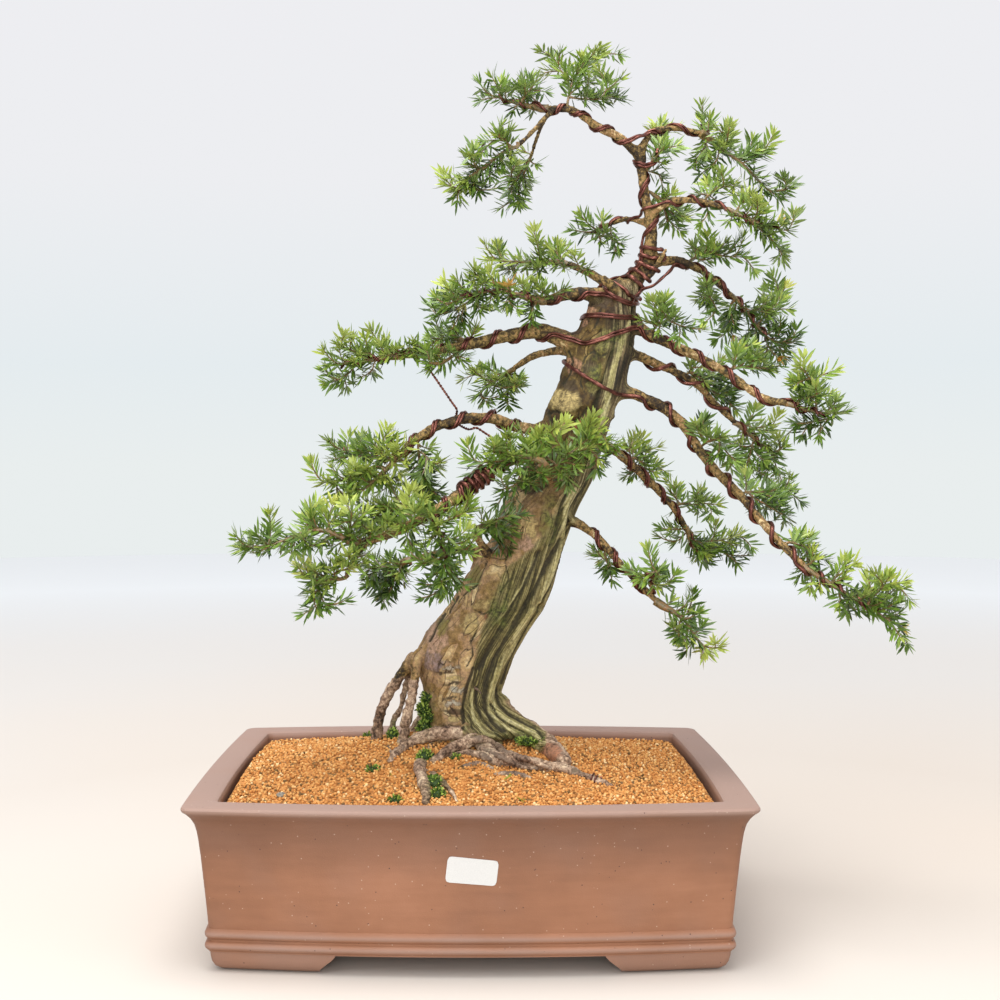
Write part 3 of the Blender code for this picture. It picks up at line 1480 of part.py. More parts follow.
def spray_stem(branch, foot, stem, drift, routes, tree, taken, number):
    """The stem's route from just off its branch, its radii and the way it sets out."""
    towards = sight(*stem[0], 0)
    route, _ = routes[branch]
    close = min(route, key=lambda p: (p.x - towards.x) ** 2 + (p.z - towards.z) ** 2)
    depth = close.y / MM
    best = None
    for change in (1.0, 0.5, 1.5, 0.0, -0.5, -1.0):
        deep = [depth + drift * change * (k + 1) / len(stem) for k in range(len(stem))]
        seen = [sight(*place, d) for place, d in zip(stem, deep)]
        for start, way, branch_radius in stem_starts(
            branch, foot, seen[0], routes, tree, STEM_RADIUS * MM
        ):
            out = start + way * (STEM_OUT * MM)
            points = smooth_route([start, out, *seen], STEM_STEP)
            radius = STEM_RADIUS * MM if foot else branch_radius * 0.88
            rods = list(zip([start + way * (SECOND_RING * MM)] + points[1:], points[1:]))
            room = min(taken.room(a, b, number) for a, b in rods) - radius
            wood = clear_of_wood(tree, out, points[1]) - radius
            wood = min([wood] + [clear_of_wood(tree, a, b) - radius for a, b in rods[1:]])
            ahead = way.dot((points[1] - start).normalized())
            score = min(room, wood, (ahead - LEAST_AHEAD) * 10 * MM)
            if best is None or score > best[0]:
                best = (score, points, radius, way)
            if score > 2 * GAP * MM:
                break
        if best[0] > 2 * GAP * MM:
            break
    _, points, radius, way = best
    return points, [float(v) for v in spread((radius, 1.4 * MM), len(points))], way


def furthest_tips(route, tips, share):
    """The given share of the tips, chosen one by one as far as possible from the stem and each other."""
    seen = [Vector((p.x, 0, p.z)) for p in route]
    places = {tip: sight(*tip, route[-1].y / MM) for tip in tips}
    kept = []
    while len(kept) < max(2, round(share * len(tips))):
        tip = max(
            (t for t in tips if t not in kept),
            key=lambda t: min((Vector((places[t].x, 0, places[t].z)) - p).length for p in seen),
        )
        kept.append(tip)
        seen.append(Vector((places[tip].x, 0, places[tip].z)))
    return [tip for tip in tips if tip in kept]


def make_sprays(routes, tree, taken):
    """All leafy stems: first every stem's place, then every twig's, and then the needles."""
    sprays = []
    for number, (name, (branch, foot, stem, drift, _)) in enumerate(SPRAYS.items(), 100):
        route, radii, way = spray_stem(branch, foot, stem, drift, routes, tree, taken, number)
        for a, b, radius in zip(route, route[1:], radii):
            taken.add(number, 0, a, b, radius)
        rng = random.Random(number)
        sprays.append(Spray(name, number, route, radii, way, (taken, tree), rng))
    for spray in sprays:
        spray.plan_twigs(furthest_tips(spray.points, SPRAYS[spray.name][4], TWIG_SHARE))
    for spray in sprays:
        spray.make()


def main():
    make_pot()
    make_soil()
    make_label()
    make_screen("screen_left", -1)
    make_screen("screen_right", 1)
    routes = branch_routes()
    wood = make_wood(routes)
    tree = BVHTree.FromPolygons(
        [vertex.co for vertex in wood.data.vertices],
        [polygon.vertices for polygon in wood.data.polygons],
    )
    taken = Taken()
    for number, (name, (radius, stages)) in enumerate(WIRES.items()):
        make_wire(name, number, radius, stages, routes, tree, taken)
    make_tie(50, routes, tree, taken)
    make_sprays(routes, tree, taken)


if __name__ == "__main__":
    main()
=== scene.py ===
# %% [markdown]
# # An English yew bonsai in its stoneware pot
# This lesson dresses a plain solid model of a trained yew tree. The plain model is the frame: it says
# where each piece is and how big. Each step below makes one piece or one finish of the real thing, and
# says first what that is, how else it could be made, and why it is made this way.

# %% Load the frame
import json
import math

import bmesh
import bpy
import numpy as np
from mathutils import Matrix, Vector, noise
from mathutils.bvhtree import BVHTree

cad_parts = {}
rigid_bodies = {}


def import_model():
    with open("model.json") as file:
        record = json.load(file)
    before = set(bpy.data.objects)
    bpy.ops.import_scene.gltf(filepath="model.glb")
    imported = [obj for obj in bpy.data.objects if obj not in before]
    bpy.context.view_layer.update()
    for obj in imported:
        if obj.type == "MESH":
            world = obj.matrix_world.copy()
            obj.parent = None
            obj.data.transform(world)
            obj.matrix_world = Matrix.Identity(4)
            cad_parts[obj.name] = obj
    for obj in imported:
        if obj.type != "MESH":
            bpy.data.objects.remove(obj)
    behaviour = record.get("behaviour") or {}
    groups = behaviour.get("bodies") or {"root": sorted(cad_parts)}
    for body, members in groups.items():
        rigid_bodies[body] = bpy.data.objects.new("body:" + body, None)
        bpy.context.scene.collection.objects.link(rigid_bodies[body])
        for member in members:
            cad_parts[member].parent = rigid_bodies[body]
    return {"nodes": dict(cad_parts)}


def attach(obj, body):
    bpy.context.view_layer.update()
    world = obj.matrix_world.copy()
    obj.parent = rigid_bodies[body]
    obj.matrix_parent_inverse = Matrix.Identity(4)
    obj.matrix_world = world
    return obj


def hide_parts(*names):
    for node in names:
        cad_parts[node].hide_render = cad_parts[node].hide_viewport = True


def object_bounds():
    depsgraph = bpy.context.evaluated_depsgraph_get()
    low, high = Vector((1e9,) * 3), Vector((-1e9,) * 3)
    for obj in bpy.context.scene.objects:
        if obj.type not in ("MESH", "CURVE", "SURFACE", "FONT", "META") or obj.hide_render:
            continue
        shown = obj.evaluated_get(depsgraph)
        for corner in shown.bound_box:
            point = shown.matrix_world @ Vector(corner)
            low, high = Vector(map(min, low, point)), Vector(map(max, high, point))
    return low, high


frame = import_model()
CAD_BOX = [list(corner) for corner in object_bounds()]
MM = 0.001
ROOT = "root"
print("frame:", len(frame["nodes"]), "nodes, box", [[round(v, 4) for v in c] for c in CAD_BOX])

# %% [markdown]
# ## Camera
# The photograph was taken level, from about 1.45 m in front of the pot and a little under half a metre
# up, so the tree's upright lines stay upright. The camera could be turned down to take in the pot, but
# that would make them lean in. Lens shift moves the frame instead, as on a view camera.

# %% Camera at the photograph's place
POT_X = -81 * MM
EYE = Vector((POT_X, -1445 * MM, 463 * MM))
PHOTO_SIDE = 1000
FOCUS_PIXELS = 1396
EYE_COLUMN = 470.5
EYE_ROW = 465
SENSOR = 36

camera_data = bpy.data.cameras.new("camera")
camera_data.sensor_width = SENSOR
camera_data.lens = SENSOR * FOCUS_PIXELS / PHOTO_SIDE
camera_data.shift_x = (PHOTO_SIDE / 2 - EYE_COLUMN) / PHOTO_SIDE
camera_data.shift_y = (EYE_ROW - PHOTO_SIDE / 2) / PHOTO_SIDE
camera = bpy.data.objects.new("camera", camera_data)
camera.location = EYE
camera.rotation_euler = (math.radians(90), 0, 0)
bpy.context.scene.collection.objects.link(camera)
bpy.context.scene.camera = camera
bpy.context.scene.view_settings.view_transform = "Standard"


def sight(column, row, depth):
    """The point seen at this column and row of the photograph, depth metres behind the pot's middle."""
    scale = (depth - EYE.y) / FOCUS_PIXELS
    return Vector((EYE.x + (column - EYE_COLUMN) * scale, depth, EYE.z - (row - EYE_ROW) * scale))


def seen_at(x, y, z):
    """The column and row of the photograph where a point, or each of many, is seen."""
    scale = FOCUS_PIXELS / (y - EYE.y)
    return EYE_COLUMN + (x - EYE.x) * scale, EYE_ROW - (z - EYE.z) * scale


def seen_on(surface, column, row):
    """The place on a surface that is seen at this column and row, and the surface's normal there."""
    return surface.ray_cast(EYE, (sight(column, row, 0) - EYE).normalized())[:2]


print("camera: lens", round(camera_data.lens, 2), "mm, eye", [round(v, 3) for v in EYE])

# %% [markdown]
# ## Colours and shader nodes
# Paint colours are written as sRGB hex values, as they are read off a screen, and one function turns
# them to the linear values that a shader works with. One more small function adds a shader node: its
# settings, its plain inputs and its links. That keeps each material down to one line for each node.

# %% Two helpers for materials


def paint(hex_colour):
    """An sRGB hex colour as linear red, green, blue and alpha."""
    parts = [int(hex_colour[i : i + 2], 16) / 255 for i in (0, 2, 4)]
    return (*[c / 12.92 if c <= 0.04045 else ((c + 0.055) / 1.055) ** 2.4 for c in parts], 1)


def add(tree, kind, inputs, stops=(), **settings):
    """Adds a node. An input is a plain value, another node or one of its outputs."""
    made = tree.nodes.new("ShaderNode" + kind)
    for name, value in settings.items():
        setattr(made, name, value)
    for socket, value in inputs.items():
        if isinstance(value, bpy.types.Node):
            value = next(output for output in value.outputs if output.enabled)
        if isinstance(value, bpy.types.NodeSocket):
            tree.links.new(value, made.inputs[socket])
        else:
            made.inputs[socket].default_value = value
    while stops and len(made.color_ramp.elements) < len(stops):
        made.color_ramp.elements.new(0.5)
    for element, (place, colour) in zip(made.color_ramp.elements if stops else (), stops):
        element.position = place
        element.color = colour if len(colour) == 4 else paint(colour)
    return made


def new_finish(name, **sockets):
    """A material whose shader's own sockets hold what is the same all over, and a place on its piece."""
    finish = bpy.data.materials.new(name)
    finish.use_nodes = True
    tree = finish.node_tree
    shader = tree.nodes["Principled BSDF"]
    for socket, value in sockets.items():
        shader.inputs[socket.replace("_", " ")].default_value = value
    return finish, tree, shader, add(tree, "TexCoord", {}).outputs["Object"]


def feed(tree, shader, **sources):
    """Links nodes to the shader's sockets."""
    for socket, source in sources.items():
        output = next(output for output in source.outputs if output.enabled)
        tree.links.new(output, shader.inputs[socket.replace("_", " ")])


print("helpers: paint, add, new_finish and feed")

# %% [markdown]
# ## Stage and light
# The tree stands on pale paper in soft, bright daylight that comes from above and in front. A sky
# picture would do for light, but large soft lamps are plain and give the same gentle shadow under the
# pot's lip. The background fades from cream near the floor to a bluish white.

# %% Paper floor
FLOOR_RADIUS = 6
FLOOR_DROP = 0.0004
FADE_FROM, FADE_TO = 0.9, 4.0
bpy.ops.object.select_all(action="DESELECT")
bpy.ops.mesh.primitive_circle_add(
    vertices=96, radius=FLOOR_RADIUS, fill_type="NGON", location=(0, 0, -FLOOR_DROP)
)
floor = bpy.context.object
floor.name = "floor"
bpy.ops.object.transform_apply(location=True, rotation=False, scale=False)
PAPER_SWEEP, tree, shader, place = new_finish("matte_paper_sweep", Roughness=0.9, Specular_IOR_Level=0.2)
cloud = add(tree, "TexNoise", {"Vector": place, "Scale": 0.7, "Detail": 2})
near = add(tree, "ValToRGB", {"Fac": cloud}, stops=[(0.3, "C9BEB2"), (0.75, "C6C1BA")])
outwards = add(tree, "VectorMath", {0: place}, operation="LENGTH").outputs["Value"]
share = add(tree, "MapRange", {"Value": outwards, "From Min": FADE_FROM, "From Max": FADE_TO})
far = add(tree, "Mix", {0: share, 6: near, 7: paint("F4F8F8")}, data_type="RGBA")
feed(tree, shader, Base_Color=far)
floor.data.materials.append(PAPER_SWEEP)
print("floor:", floor.dimensions.x, "m across")

# %% Sky and lamps
SKY_STRENGTH = 0.97
world = bpy.data.worlds.new("studio")
bpy.context.scene.world = world
world.use_nodes = True
tree = world.node_tree
place = add(tree, "TexCoord", {})
height = add(tree, "SeparateXYZ", {"Vector": place.outputs["Generated"]})
SKY = [(0.0, "ECF1F1"), (0.07, "E8EFF2"), (0.2, "F0F1F4"), (0.5, "F2F1F5")]
sky = add(tree, "ValToRGB", {"Fac": height.outputs["Z"]}, stops=SKY)
tree.links.new(sky.outputs["Color"], tree.nodes["Background"].inputs["Color"])
tree.nodes["Background"].inputs["Strength"].default_value = SKY_STRENGTH

# Lamps: place, what they face, size in m and power in W
LAMPS = {
    "top": ((-0.3, -0.5, 2.5), (-0.05, 0, 0.3), 1.6, 62),
    "key": ((-1.3, -2.0, 1.9), (0, 0, 0.35), 1.4, 22),
    "fill": ((1.8, -1.3, 1.2), (0, 0, 0.4), 1.4, 7),
    "front": ((-0.2, -2.6, 0.8), (-0.05, 0, 0.35), 1.0, 24),
}
for name, (spot, aim, size, power) in LAMPS.items():
    lamp_data = bpy.data.lights.new(name, "AREA")
    lamp_data.size = size
    lamp_data.energy = power
    lamp = bpy.data.objects.new(name, lamp_data)
    lamp.location = spot
    lamp.rotation_euler = (Vector(aim) - Vector(spot)).to_track_quat("-Z", "Y").to_euler()
    bpy.context.scene.collection.objects.link(lamp)
print("lamps:", ", ".join(LAMPS))

# %% [markdown]
# ## Modelling helpers
# Pieces are modelled with Blender's own operators. An operator works on all that is selected,
# and the frame arrives selected, so every step starts by letting go of everything. A few helpers do
# what each piece needs at its end: smooth shading, its place kept in its mesh, its finish and what it
# stands for in the frame.

# %% Helpers for modelling


def alone(piece):
    """Selects this piece and nothing else."""
    if bpy.context.mode != "OBJECT":
        bpy.ops.object.mode_set(mode="OBJECT")
    bpy.ops.object.select_all(action="DESELECT")
    piece.select_set(True)
    bpy.context.view_layer.objects.active = piece


def modify(piece, kind, **settings):
    """Adds a modifier to a piece and applies it."""
    alone(piece)
    made = piece.modifiers.new(kind.lower(), kind)
    for name, value in settings.items():
        setattr(made, name, value)
    bpy.ops.object.modifier_apply(modifier=made.name)


def face_outwards():
    """Turns all faces of the piece in edit mode outwards, and leaves edit mode."""
    bpy.ops.mesh.select_all(action="SELECT")
    bpy.ops.mesh.normals_make_consistent(inside=False)
    bpy.ops.object.mode_set(mode="OBJECT")


def place_object(name, data):
    """A new object at the origin that shows some data."""
    piece = bpy.data.objects.new(name, data)
    bpy.context.scene.collection.objects.link(piece)
    return piece


def mesh_piece(name, points, faces):
    """A new object from points and faces, with its place in its mesh."""
    mesh = bpy.data.meshes.new(name)
    mesh.from_pydata([tuple(point) for point in points], [], faces)
    return place_object(name, mesh)


def finish_piece(piece, name, finish, nodes=(), angle=35):
    """Names a piece, smooths it, gives it its finish and fixes it to the frame."""
    alone(piece)
    bpy.ops.object.transform_apply(location=True, rotation=True, scale=True)
    bpy.ops.object.shade_smooth_by_angle(angle=math.radians(angle))
    piece.name = name
    piece.data.name = name
    piece.data.materials.clear()
    piece.data.materials.append(finish)
    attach(piece, ROOT)
    if nodes:
        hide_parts(*nodes)
    box = [round(side * 1000, 1) for side in piece.dimensions]
    print(f"{name}: {len(piece.data.polygons)} faces, {box} mm")


def paste_copies(template, turns, places):
    """The points of many copies of a few points, each copy with its own 3 x 3 turn and place."""
    return (np.einsum("nij,kj->nki", turns, template) + places[:, None, :]).reshape(-1, 3)


def copies_piece(name, points, faces, copies):
    """A new object from the points of many copies of one shape, whose faces all have equal sides."""
    mesh = bpy.data.meshes.new(name)
    faces = np.asarray(faces)
    count = len(points) // copies
    corners = (faces[None] + (np.arange(copies) * count)[:, None, None]).reshape(-1)
    total = len(faces) * copies
    mesh.vertices.add(len(points))
    mesh.vertices.foreach_set("co", points.astype(np.float32).ravel())
    mesh.loops.add(len(corners))
    mesh.loops.foreach_set("vertex_index", corners.astype(np.int32))
    mesh.polygons.add(total)
    starts = np.arange(total, dtype=np.int32) * faces.shape[1]
    mesh.polygons.foreach_set("loop_start", starts)
    mesh.update(calc_edges=True)
    return place_object(name, mesh)


def random_turns(rng, count):
    """Even random 3 x 3 turns."""
    spins = rng.normal(size=(count, 4))
    w, x, y, z = (spins / np.linalg.norm(spins, axis=1, keepdims=True)).T
    rows = [
        [1 - 2 * (y * y + z * z), 2 * (x * y - z * w), 2 * (x * z + y * w)],
        [2 * (x * y + z * w), 1 - 2 * (x * x + z * z), 2 * (y * z - x * w)],
        [2 * (x * z - y * w), 2 * (y * z + x * w), 1 - 2 * (x * x + y * y)],
    ]
    return np.array(rows).transpose(2, 0, 1)


def frame_tree(*names):
    """A search tree over the merged surface of some of the frame's nodes, or of any pieces."""
    points, faces = [], []
    for name in names:
        mesh = bpy.data.objects[name].data
        faces += [[corner + len(points) for corner in face.vertices] for face in mesh.polygons]
        points += [vertex.co.copy() for vertex in mesh.vertices]
    return BVHTree.FromPolygons(points, faces)


def outside(tree, point):
    """How far a point is outside a surface, negative inside it, the nearest place and its normal."""
    place, normal, _, distance = tree.find_nearest(point)
    return (distance if (point - place).dot(normal) >= 0 else -distance), place, normal


def set_attribute(mesh, name, values):
    """Stores one number, or three as a vector, for each point of a mesh."""
    values = np.asarray(values, dtype=np.float32)
    vector = values.ndim == 2
    layer = mesh.attributes.new(name, "FLOAT_VECTOR" if vector else "FLOAT", "POINT")
    layer.data.foreach_set("vector" if vector else "value", values.ravel())


def points_of(mesh, what="co"):
    """A mesh's points as rows of numbers, in metres, or what else each of its points has."""
    table = np.empty(len(mesh.vertices) * 3)
    mesh.vertices.foreach_get(what, table)
    return table.reshape(-1, 3)


def move_points(mesh, table):
    """Moves a mesh's points to the places in a table's rows."""
    mesh.vertices.foreach_set("co", table.ravel())
    mesh.update()


def smooth_steps(low, high, values):
    """0 below low, 1 above high, and an even S-curve between."""
    share = np.clip((values - low) / (high - low), 0, 1)
    return share * share * (3 - 2 * share)


def noise_at(table, scale, seed=0):
    """Smooth noise from about -1 to 1 at each row of a table, scale in features a metre."""
    shift = Vector((seed * 7.31, seed * 3.17, seed * 5.73))
    return np.array([noise.noise(Vector(row) * scale + shift) for row in table])


print("helpers: alone, modify, mesh_piece, finish_piece and more")

# %% [markdown]
# ## Pot
# The pot is one piece of unglazed brown stoneware, pressed and fired: a rounded rectangle with walls
# that lean out and bulge a little, a wide lip, two belts near the bottom and four corner feet. A cube
# could be cut to this shape, but its outline is a curve all round, so a ring of edges is extruded up
# the outside, over the lip and down the inside, and each new ring is moved to the outline's formula.

# %% The pot's outline
POT_LENGTH = 525 * MM
POT_DEPTH = 390 * MM
FRONT_BULGE = 14 * MM
SIDE_BULGE = 4 * MM
CORNER = 11 * MM
CORNER_LESS = 0.15
LEAST_CORNER = 3 * MM
CORNER_POINTS = 0.2
RING_POINTS = 192


def pot_outline(inset):
    """Plan points of the pot's rounded, bulging rectangle, inset from the lip's edge."""
    half_x = POT_LENGTH / 2 - inset
    half_y = POT_DEPTH / 2 - inset
    corner = max(CORNER - inset * CORNER_LESS, LEAST_CORNER)
    flat_x, flat_y = half_x - corner, half_y - corner
    runs = []
    for k in range(RING_POINTS):
        quarter, share = divmod(k * 4 / RING_POINTS, 1)
        angle = math.radians(90 * quarter)
        if share < CORNER_POINTS:
            turn = angle + math.radians(90) * share / CORNER_POINTS
            sign_x = 1 if quarter in (0, 3) else -1
            sign_y = 1 if quarter in (0, 1) else -1
            x, y = sign_x * flat_x + corner * math.cos(turn), sign_y * flat_y + corner * math.sin(turn)
        else:
            along = 1 - 2 * (share - CORNER_POINTS) / (1 - CORNER_POINTS)
            if quarter in (0, 2):
                sign = 1 if quarter == 0 else -1
                x, y = sign * along * flat_x, sign * (half_y + FRONT_BULGE * (1 - along**2))
            else:
                sign = -1 if quarter == 1 else 1
                x, y = sign * (half_x + SIDE_BULGE * (1 - along**2)), -sign * along * flat_y
        runs.append((x + POT_X, y))
    return runs


print("outline:", len(pot_outline(0)), "points")

# %% Rings from the feet's level up over the lip and down to the inner floor
LOWER_BELT = (20.2, 28.8)
UPPER_BELT = (30.6, 40.2)
GROOVE_INSET = 22.4
BELT_PROUD = 3.0
# Rings as insets from the lip's edge and heights, in mm
SECTION = [(27, 18.6), (22.8, 18.7)]
for low, high in (LOWER_BELT, UPPER_BELT):
    for share in np.linspace(0, 1, 9):
        swell = BELT_PROUD * math.sin(math.pi * share) ** 0.6 if 0 < share < 1 else 0
        SECTION.append((GROOVE_INSET - swell, low + (high - low) * share))
SECTION += [(22.2, 42), (21.6, 50), (19.9, 68.6), (18.0, 88), (16.2, 106.3), (14.3, 122), (13.0, 130)]
SECTION += [(11.2, 137), (8.0, 143), (4.0, 147.8), (1.6, 149.8), (0.7, 151.2), (0.5, 152.8), (1.2, 154.2)]
SECTION += [(2.8, 154.9), (6, 155), (15, 155), (24, 154.9), (27.6, 154.6), (29.4, 153.6), (30.1, 151.6)]
SECTION += [(30.5, 148), (31, 130), (32, 100), (34, 60), (36, 42), (41, 34.2), (50, 33)]


def extrude_rings(piece, rings):
    """Moves a circle's points to the first ring, then extrudes them from ring to ring."""
    alone(piece)
    bpy.ops.object.mode_set(mode="EDIT")
    bpy.ops.mesh.select_all(action="SELECT")
    work = bmesh.from_edit_mesh(piece.data)
    for vertex, point in zip(list(work.verts), rings[0]):
        vertex.co = point
    for before, ring in zip(rings, rings[1:]):
        order = {tuple(round(c, 6) for c in point): k for k, point in enumerate(before)}
        bpy.ops.mesh.extrude_region()
        work = bmesh.from_edit_mesh(piece.data)
        for vertex in [v for v in work.verts if v.select]:
            vertex.co = ring[order[tuple(round(c, 6) for c in vertex.co)]]
    bmesh.update_edit_mesh(piece.data)


def outline_ring(inset, height):
    """One ring of the pot at an inset and a height in mm."""
    return [Vector((x, y, height * MM)) for x, y in pot_outline(inset * MM)]


bpy.ops.object.select_all(action="DESELECT")
bpy.ops.mesh.primitive_circle_add(vertices=RING_POINTS, radius=0.2)
pot = bpy.context.object
extrude_rings(pot, [outline_ring(*ring) for ring in SECTION])
bpy.ops.mesh.select_all(action="SELECT")
bpy.ops.mesh.fill_holes(sides=0)
face_outwards()
print("pot body:", len(SECTION), "rings")

# %% [markdown]
# ### Feet and drain holes
# The feet are one band under the wall, cut away between the corners in a low arch, so they follow the
# pot's curves. Their lower edge is rounded under, as a potter's wet sponge leaves it. The two drain
# holes are cut last, through the floor.

# %% Feet
FOOT_SECTION = [(50, 21), (50, 1.5), (49, 0), (36, 0), (31, 1.4), (27.4, 4.4), (25.2, 8.6), (24, 14)]
FOOT_SECTION += [(23.6, 19), (25, 21), (50, 21)]
# Half the arch's opening at each height in mm, and how much less it is at the pot's sides
ARCH = [(138, -2), (138, 1), (136, 5), (131, 9.5), (126, 13.5), (122.5, 17.5), (121, 24)]
SIDE_ARCH_LESS = 48
CUTTER_REACH = 400
FOOT_EDGE = 2.2 * MM

bpy.ops.object.select_all(action="DESELECT")
bpy.ops.mesh.primitive_circle_add(vertices=RING_POINTS, radius=0.2)
feet = bpy.context.object
extrude_rings(feet, [outline_ring(*ring) for ring in FOOT_SECTION])
bpy.ops.mesh.select_all(action="SELECT")
bpy.ops.mesh.remove_doubles(threshold=1e-6)
face_outwards()


def arch_cutter(across, less):
    """A long bar with an arched section, along X or across it, that opens the band between feet."""
    half = [(x - less, z) for x, z in ARCH]
    section = half + [(-x, z) for x, z in reversed(half)]
    points = []
    for far in (-CUTTER_REACH, CUTTER_REACH):
        for side, z in section:
            x, y = (side, far) if across else (far, side)
            points.append((x * MM + POT_X, y * MM, z * MM))
    count = len(section)
    faces = [list(range(count)), list(range(count, 2 * count))]
    faces += [(k, (k + 1) % count, (k + 1) % count + count, k + count) for k in range(count)]
    bar = mesh_piece("arch", points, faces)
    alone(bar)
    bpy.ops.object.mode_set(mode="EDIT")
    face_outwards()
    return bar


def boolean(piece, tool, operation, solver="EXACT"):
    """Joins, cuts or keeps a piece with a tool, and removes the tool."""
    modify(piece, "BOOLEAN", object=tool, operation=operation, solver=solver)
    bpy.data.objects.remove(tool)


boolean(feet, arch_cutter(True, 0), "DIFFERENCE")
boolean(feet, arch_cutter(False, SIDE_ARCH_LESS), "DIFFERENCE")
modify(feet, "BEVEL", width=FOOT_EDGE, segments=3, limit_method="ANGLE", angle_limit=math.radians(50))
boolean(pot, feet, "UNION")
print("pot with feet:", len(pot.data.polygons), "faces")

# %% Drain holes
HOLE_SPACING = 250 * MM
HOLE_RADIUS = 18 * MM
for sign in (-1, 1):
    spot = (POT_X + sign * HOLE_SPACING / 2, 0, 25 * MM)
    bpy.ops.object.select_all(action="DESELECT")
    bpy.ops.mesh.primitive_cylinder_add(vertices=40, radius=HOLE_RADIUS, depth=40 * MM, location=spot)
    boolean(pot, bpy.context.object, "DIFFERENCE")
print("drain holes: 2,", 2 * HOLE_RADIUS / MM, "mm wide")

# %% [markdown]
# ### Unglazed stoneware
# Stoneware clay with iron in it fires brown. With no glaze the surface is matt, with a little sheen on
# the lip where hands and cloths have rubbed it. Small pale grits of quartz show as specks a fraction of
# a millimetre across, and the wet wall was smoothed sideways, which leaves faint level streaks. Grits
# are drawn at 1 mm and more, since finer ones would not show from where the camera stands.

# %% Unglazed stoneware
STONEWARE, tree, shader, place = new_finish("unglazed_brown_stoneware", Roughness=0.62, IOR=1.5)
cloud = add(tree, "TexNoise", {"Vector": place, "Scale": 9.0, "Detail": 5, "Roughness": 0.6})
streak_place = add(tree, "Mapping", {"Vector": place, "Scale": (9, 9, 60)})
streak = add(tree, "TexNoise", {"Vector": streak_place, "Scale": 2.0, "Detail": 4})
half = add(tree, "Mix", {0: 0.3, 2: cloud, 3: streak})
CLAY = [(0.3, "7F543A"), (0.5, "8D5F43"), (0.7, "99694D")]
clay = add(tree, "ValToRGB", {"Fac": half}, stops=CLAY)
worn = add(tree, "Attribute", {}, attribute_name="worn")
# Painted shade: the wall darkens up towards the lip, standing in for the shade that the lip casts on it.
painted_lip_shade = add(tree, "Attribute", {}, attribute_name="painted_lip_shade")
darker = add(tree, "Mix", {0: painted_lip_shade.outputs["Fac"], 6: clay, 7: paint("5A3D2E")}, data_type="RGBA")
lighter = add(tree, "Mix", {0: worn.outputs["Fac"], 6: darker, 7: paint("907568")}, data_type="RGBA")
grit = add(tree, "TexVoronoi", {"Vector": place, "Scale": 330.0, "Randomness": 1.0})
dot = add(tree, "Math", {0: grit.outputs["Distance"], 1: 0.2}, operation="LESS_THAN")
few = add(tree, "SeparateColor", {"Color": grit.outputs["Color"]})
chosen = add(tree, "Math", {0: few.outputs["Red"], 1: 0.955}, operation="GREATER_THAN")
speck = add(tree, "Math", {0: dot, 1: chosen}, operation="MULTIPLY")
soft_speck = add(tree, "Math", {0: speck, 1: 0.3}, operation="MULTIPLY")
speckled = add(tree, "Mix", {0: soft_speck, 6: lighter, 7: paint("D8C6B4")}, data_type="RGBA")
dark = add(tree, "Math", {0: few.outputs["Green"], 1: 0.975}, operation="GREATER_THAN")
pit = add(tree, "Math", {0: dot, 1: dark}, operation="MULTIPLY")
pitted = add(tree, "Mix", {0: pit, 6: speckled, 7: paint("4A3028")}, data_type="RGBA")
grain = add(tree, "TexNoise", {"Vector": place, "Scale": 900.0, "Detail": 2})
relief = add(tree, "Math", {0: grain, 1: pit}, operation="SUBTRACT")
rough = add(tree, "Math", {0: relief, 1: streak}, operation="ADD")
bump = add(tree, "Bump", {"Height": rough, "Strength": 0.25, "Distance": 0.0006})
feed(tree, shader, Base_Color=pitted, Normal=bump)

table = points_of(pot.data) / MM
lip = smooth_steps(146, 153, table[:, 2])
crests = [np.exp(-(((table[:, 2] - sum(belt) / 2) / 2.2) ** 2)) for belt in (LOWER_BELT, UPPER_BELT)]
wear = np.maximum(lip, 0.7 * (crests[0] + crests[1]))
feet_wear = 0.45 * (table[:, 2] < 20)
cloud = noise_at(table * MM, 30)
set_attribute(pot.data, "worn", np.clip(np.maximum(wear, feet_wear) + 0.15 * cloud, 0, 1))
# Painted shade under the lip: darker from 70 mm up to the lip, where the lip shades the wall.
shade_below_lip = smooth_steps(70, 142, table[:, 2]) * (table[:, 2] < 150)
set_attribute(pot.data, "painted_lip_shade", np.clip(0.55 * shade_below_lip + 0.1 * cloud, 0, 1))
finish_piece(pot, "pot_fired", STONEWARE, ["pot"])

# %% [markdown]
# ## Paper label
# A small sticker sits a little crooked on the pot's front. It is left blank. A flat card would cut into
# the bulging wall, so a thin grid is dropped on the wall along the camera's lines of sight and then
# gets its thickness, with round corners as a label cutter leaves them.

# %% Blank paper label
LABEL_CORNERS = [(448, 856), (499, 861), (496, 886), (445, 882)]
LABEL_LIFT = 0.35 * MM
LABEL_THICKNESS = 0.3 * MM
LABEL_CORNER_SHARE = 0.09

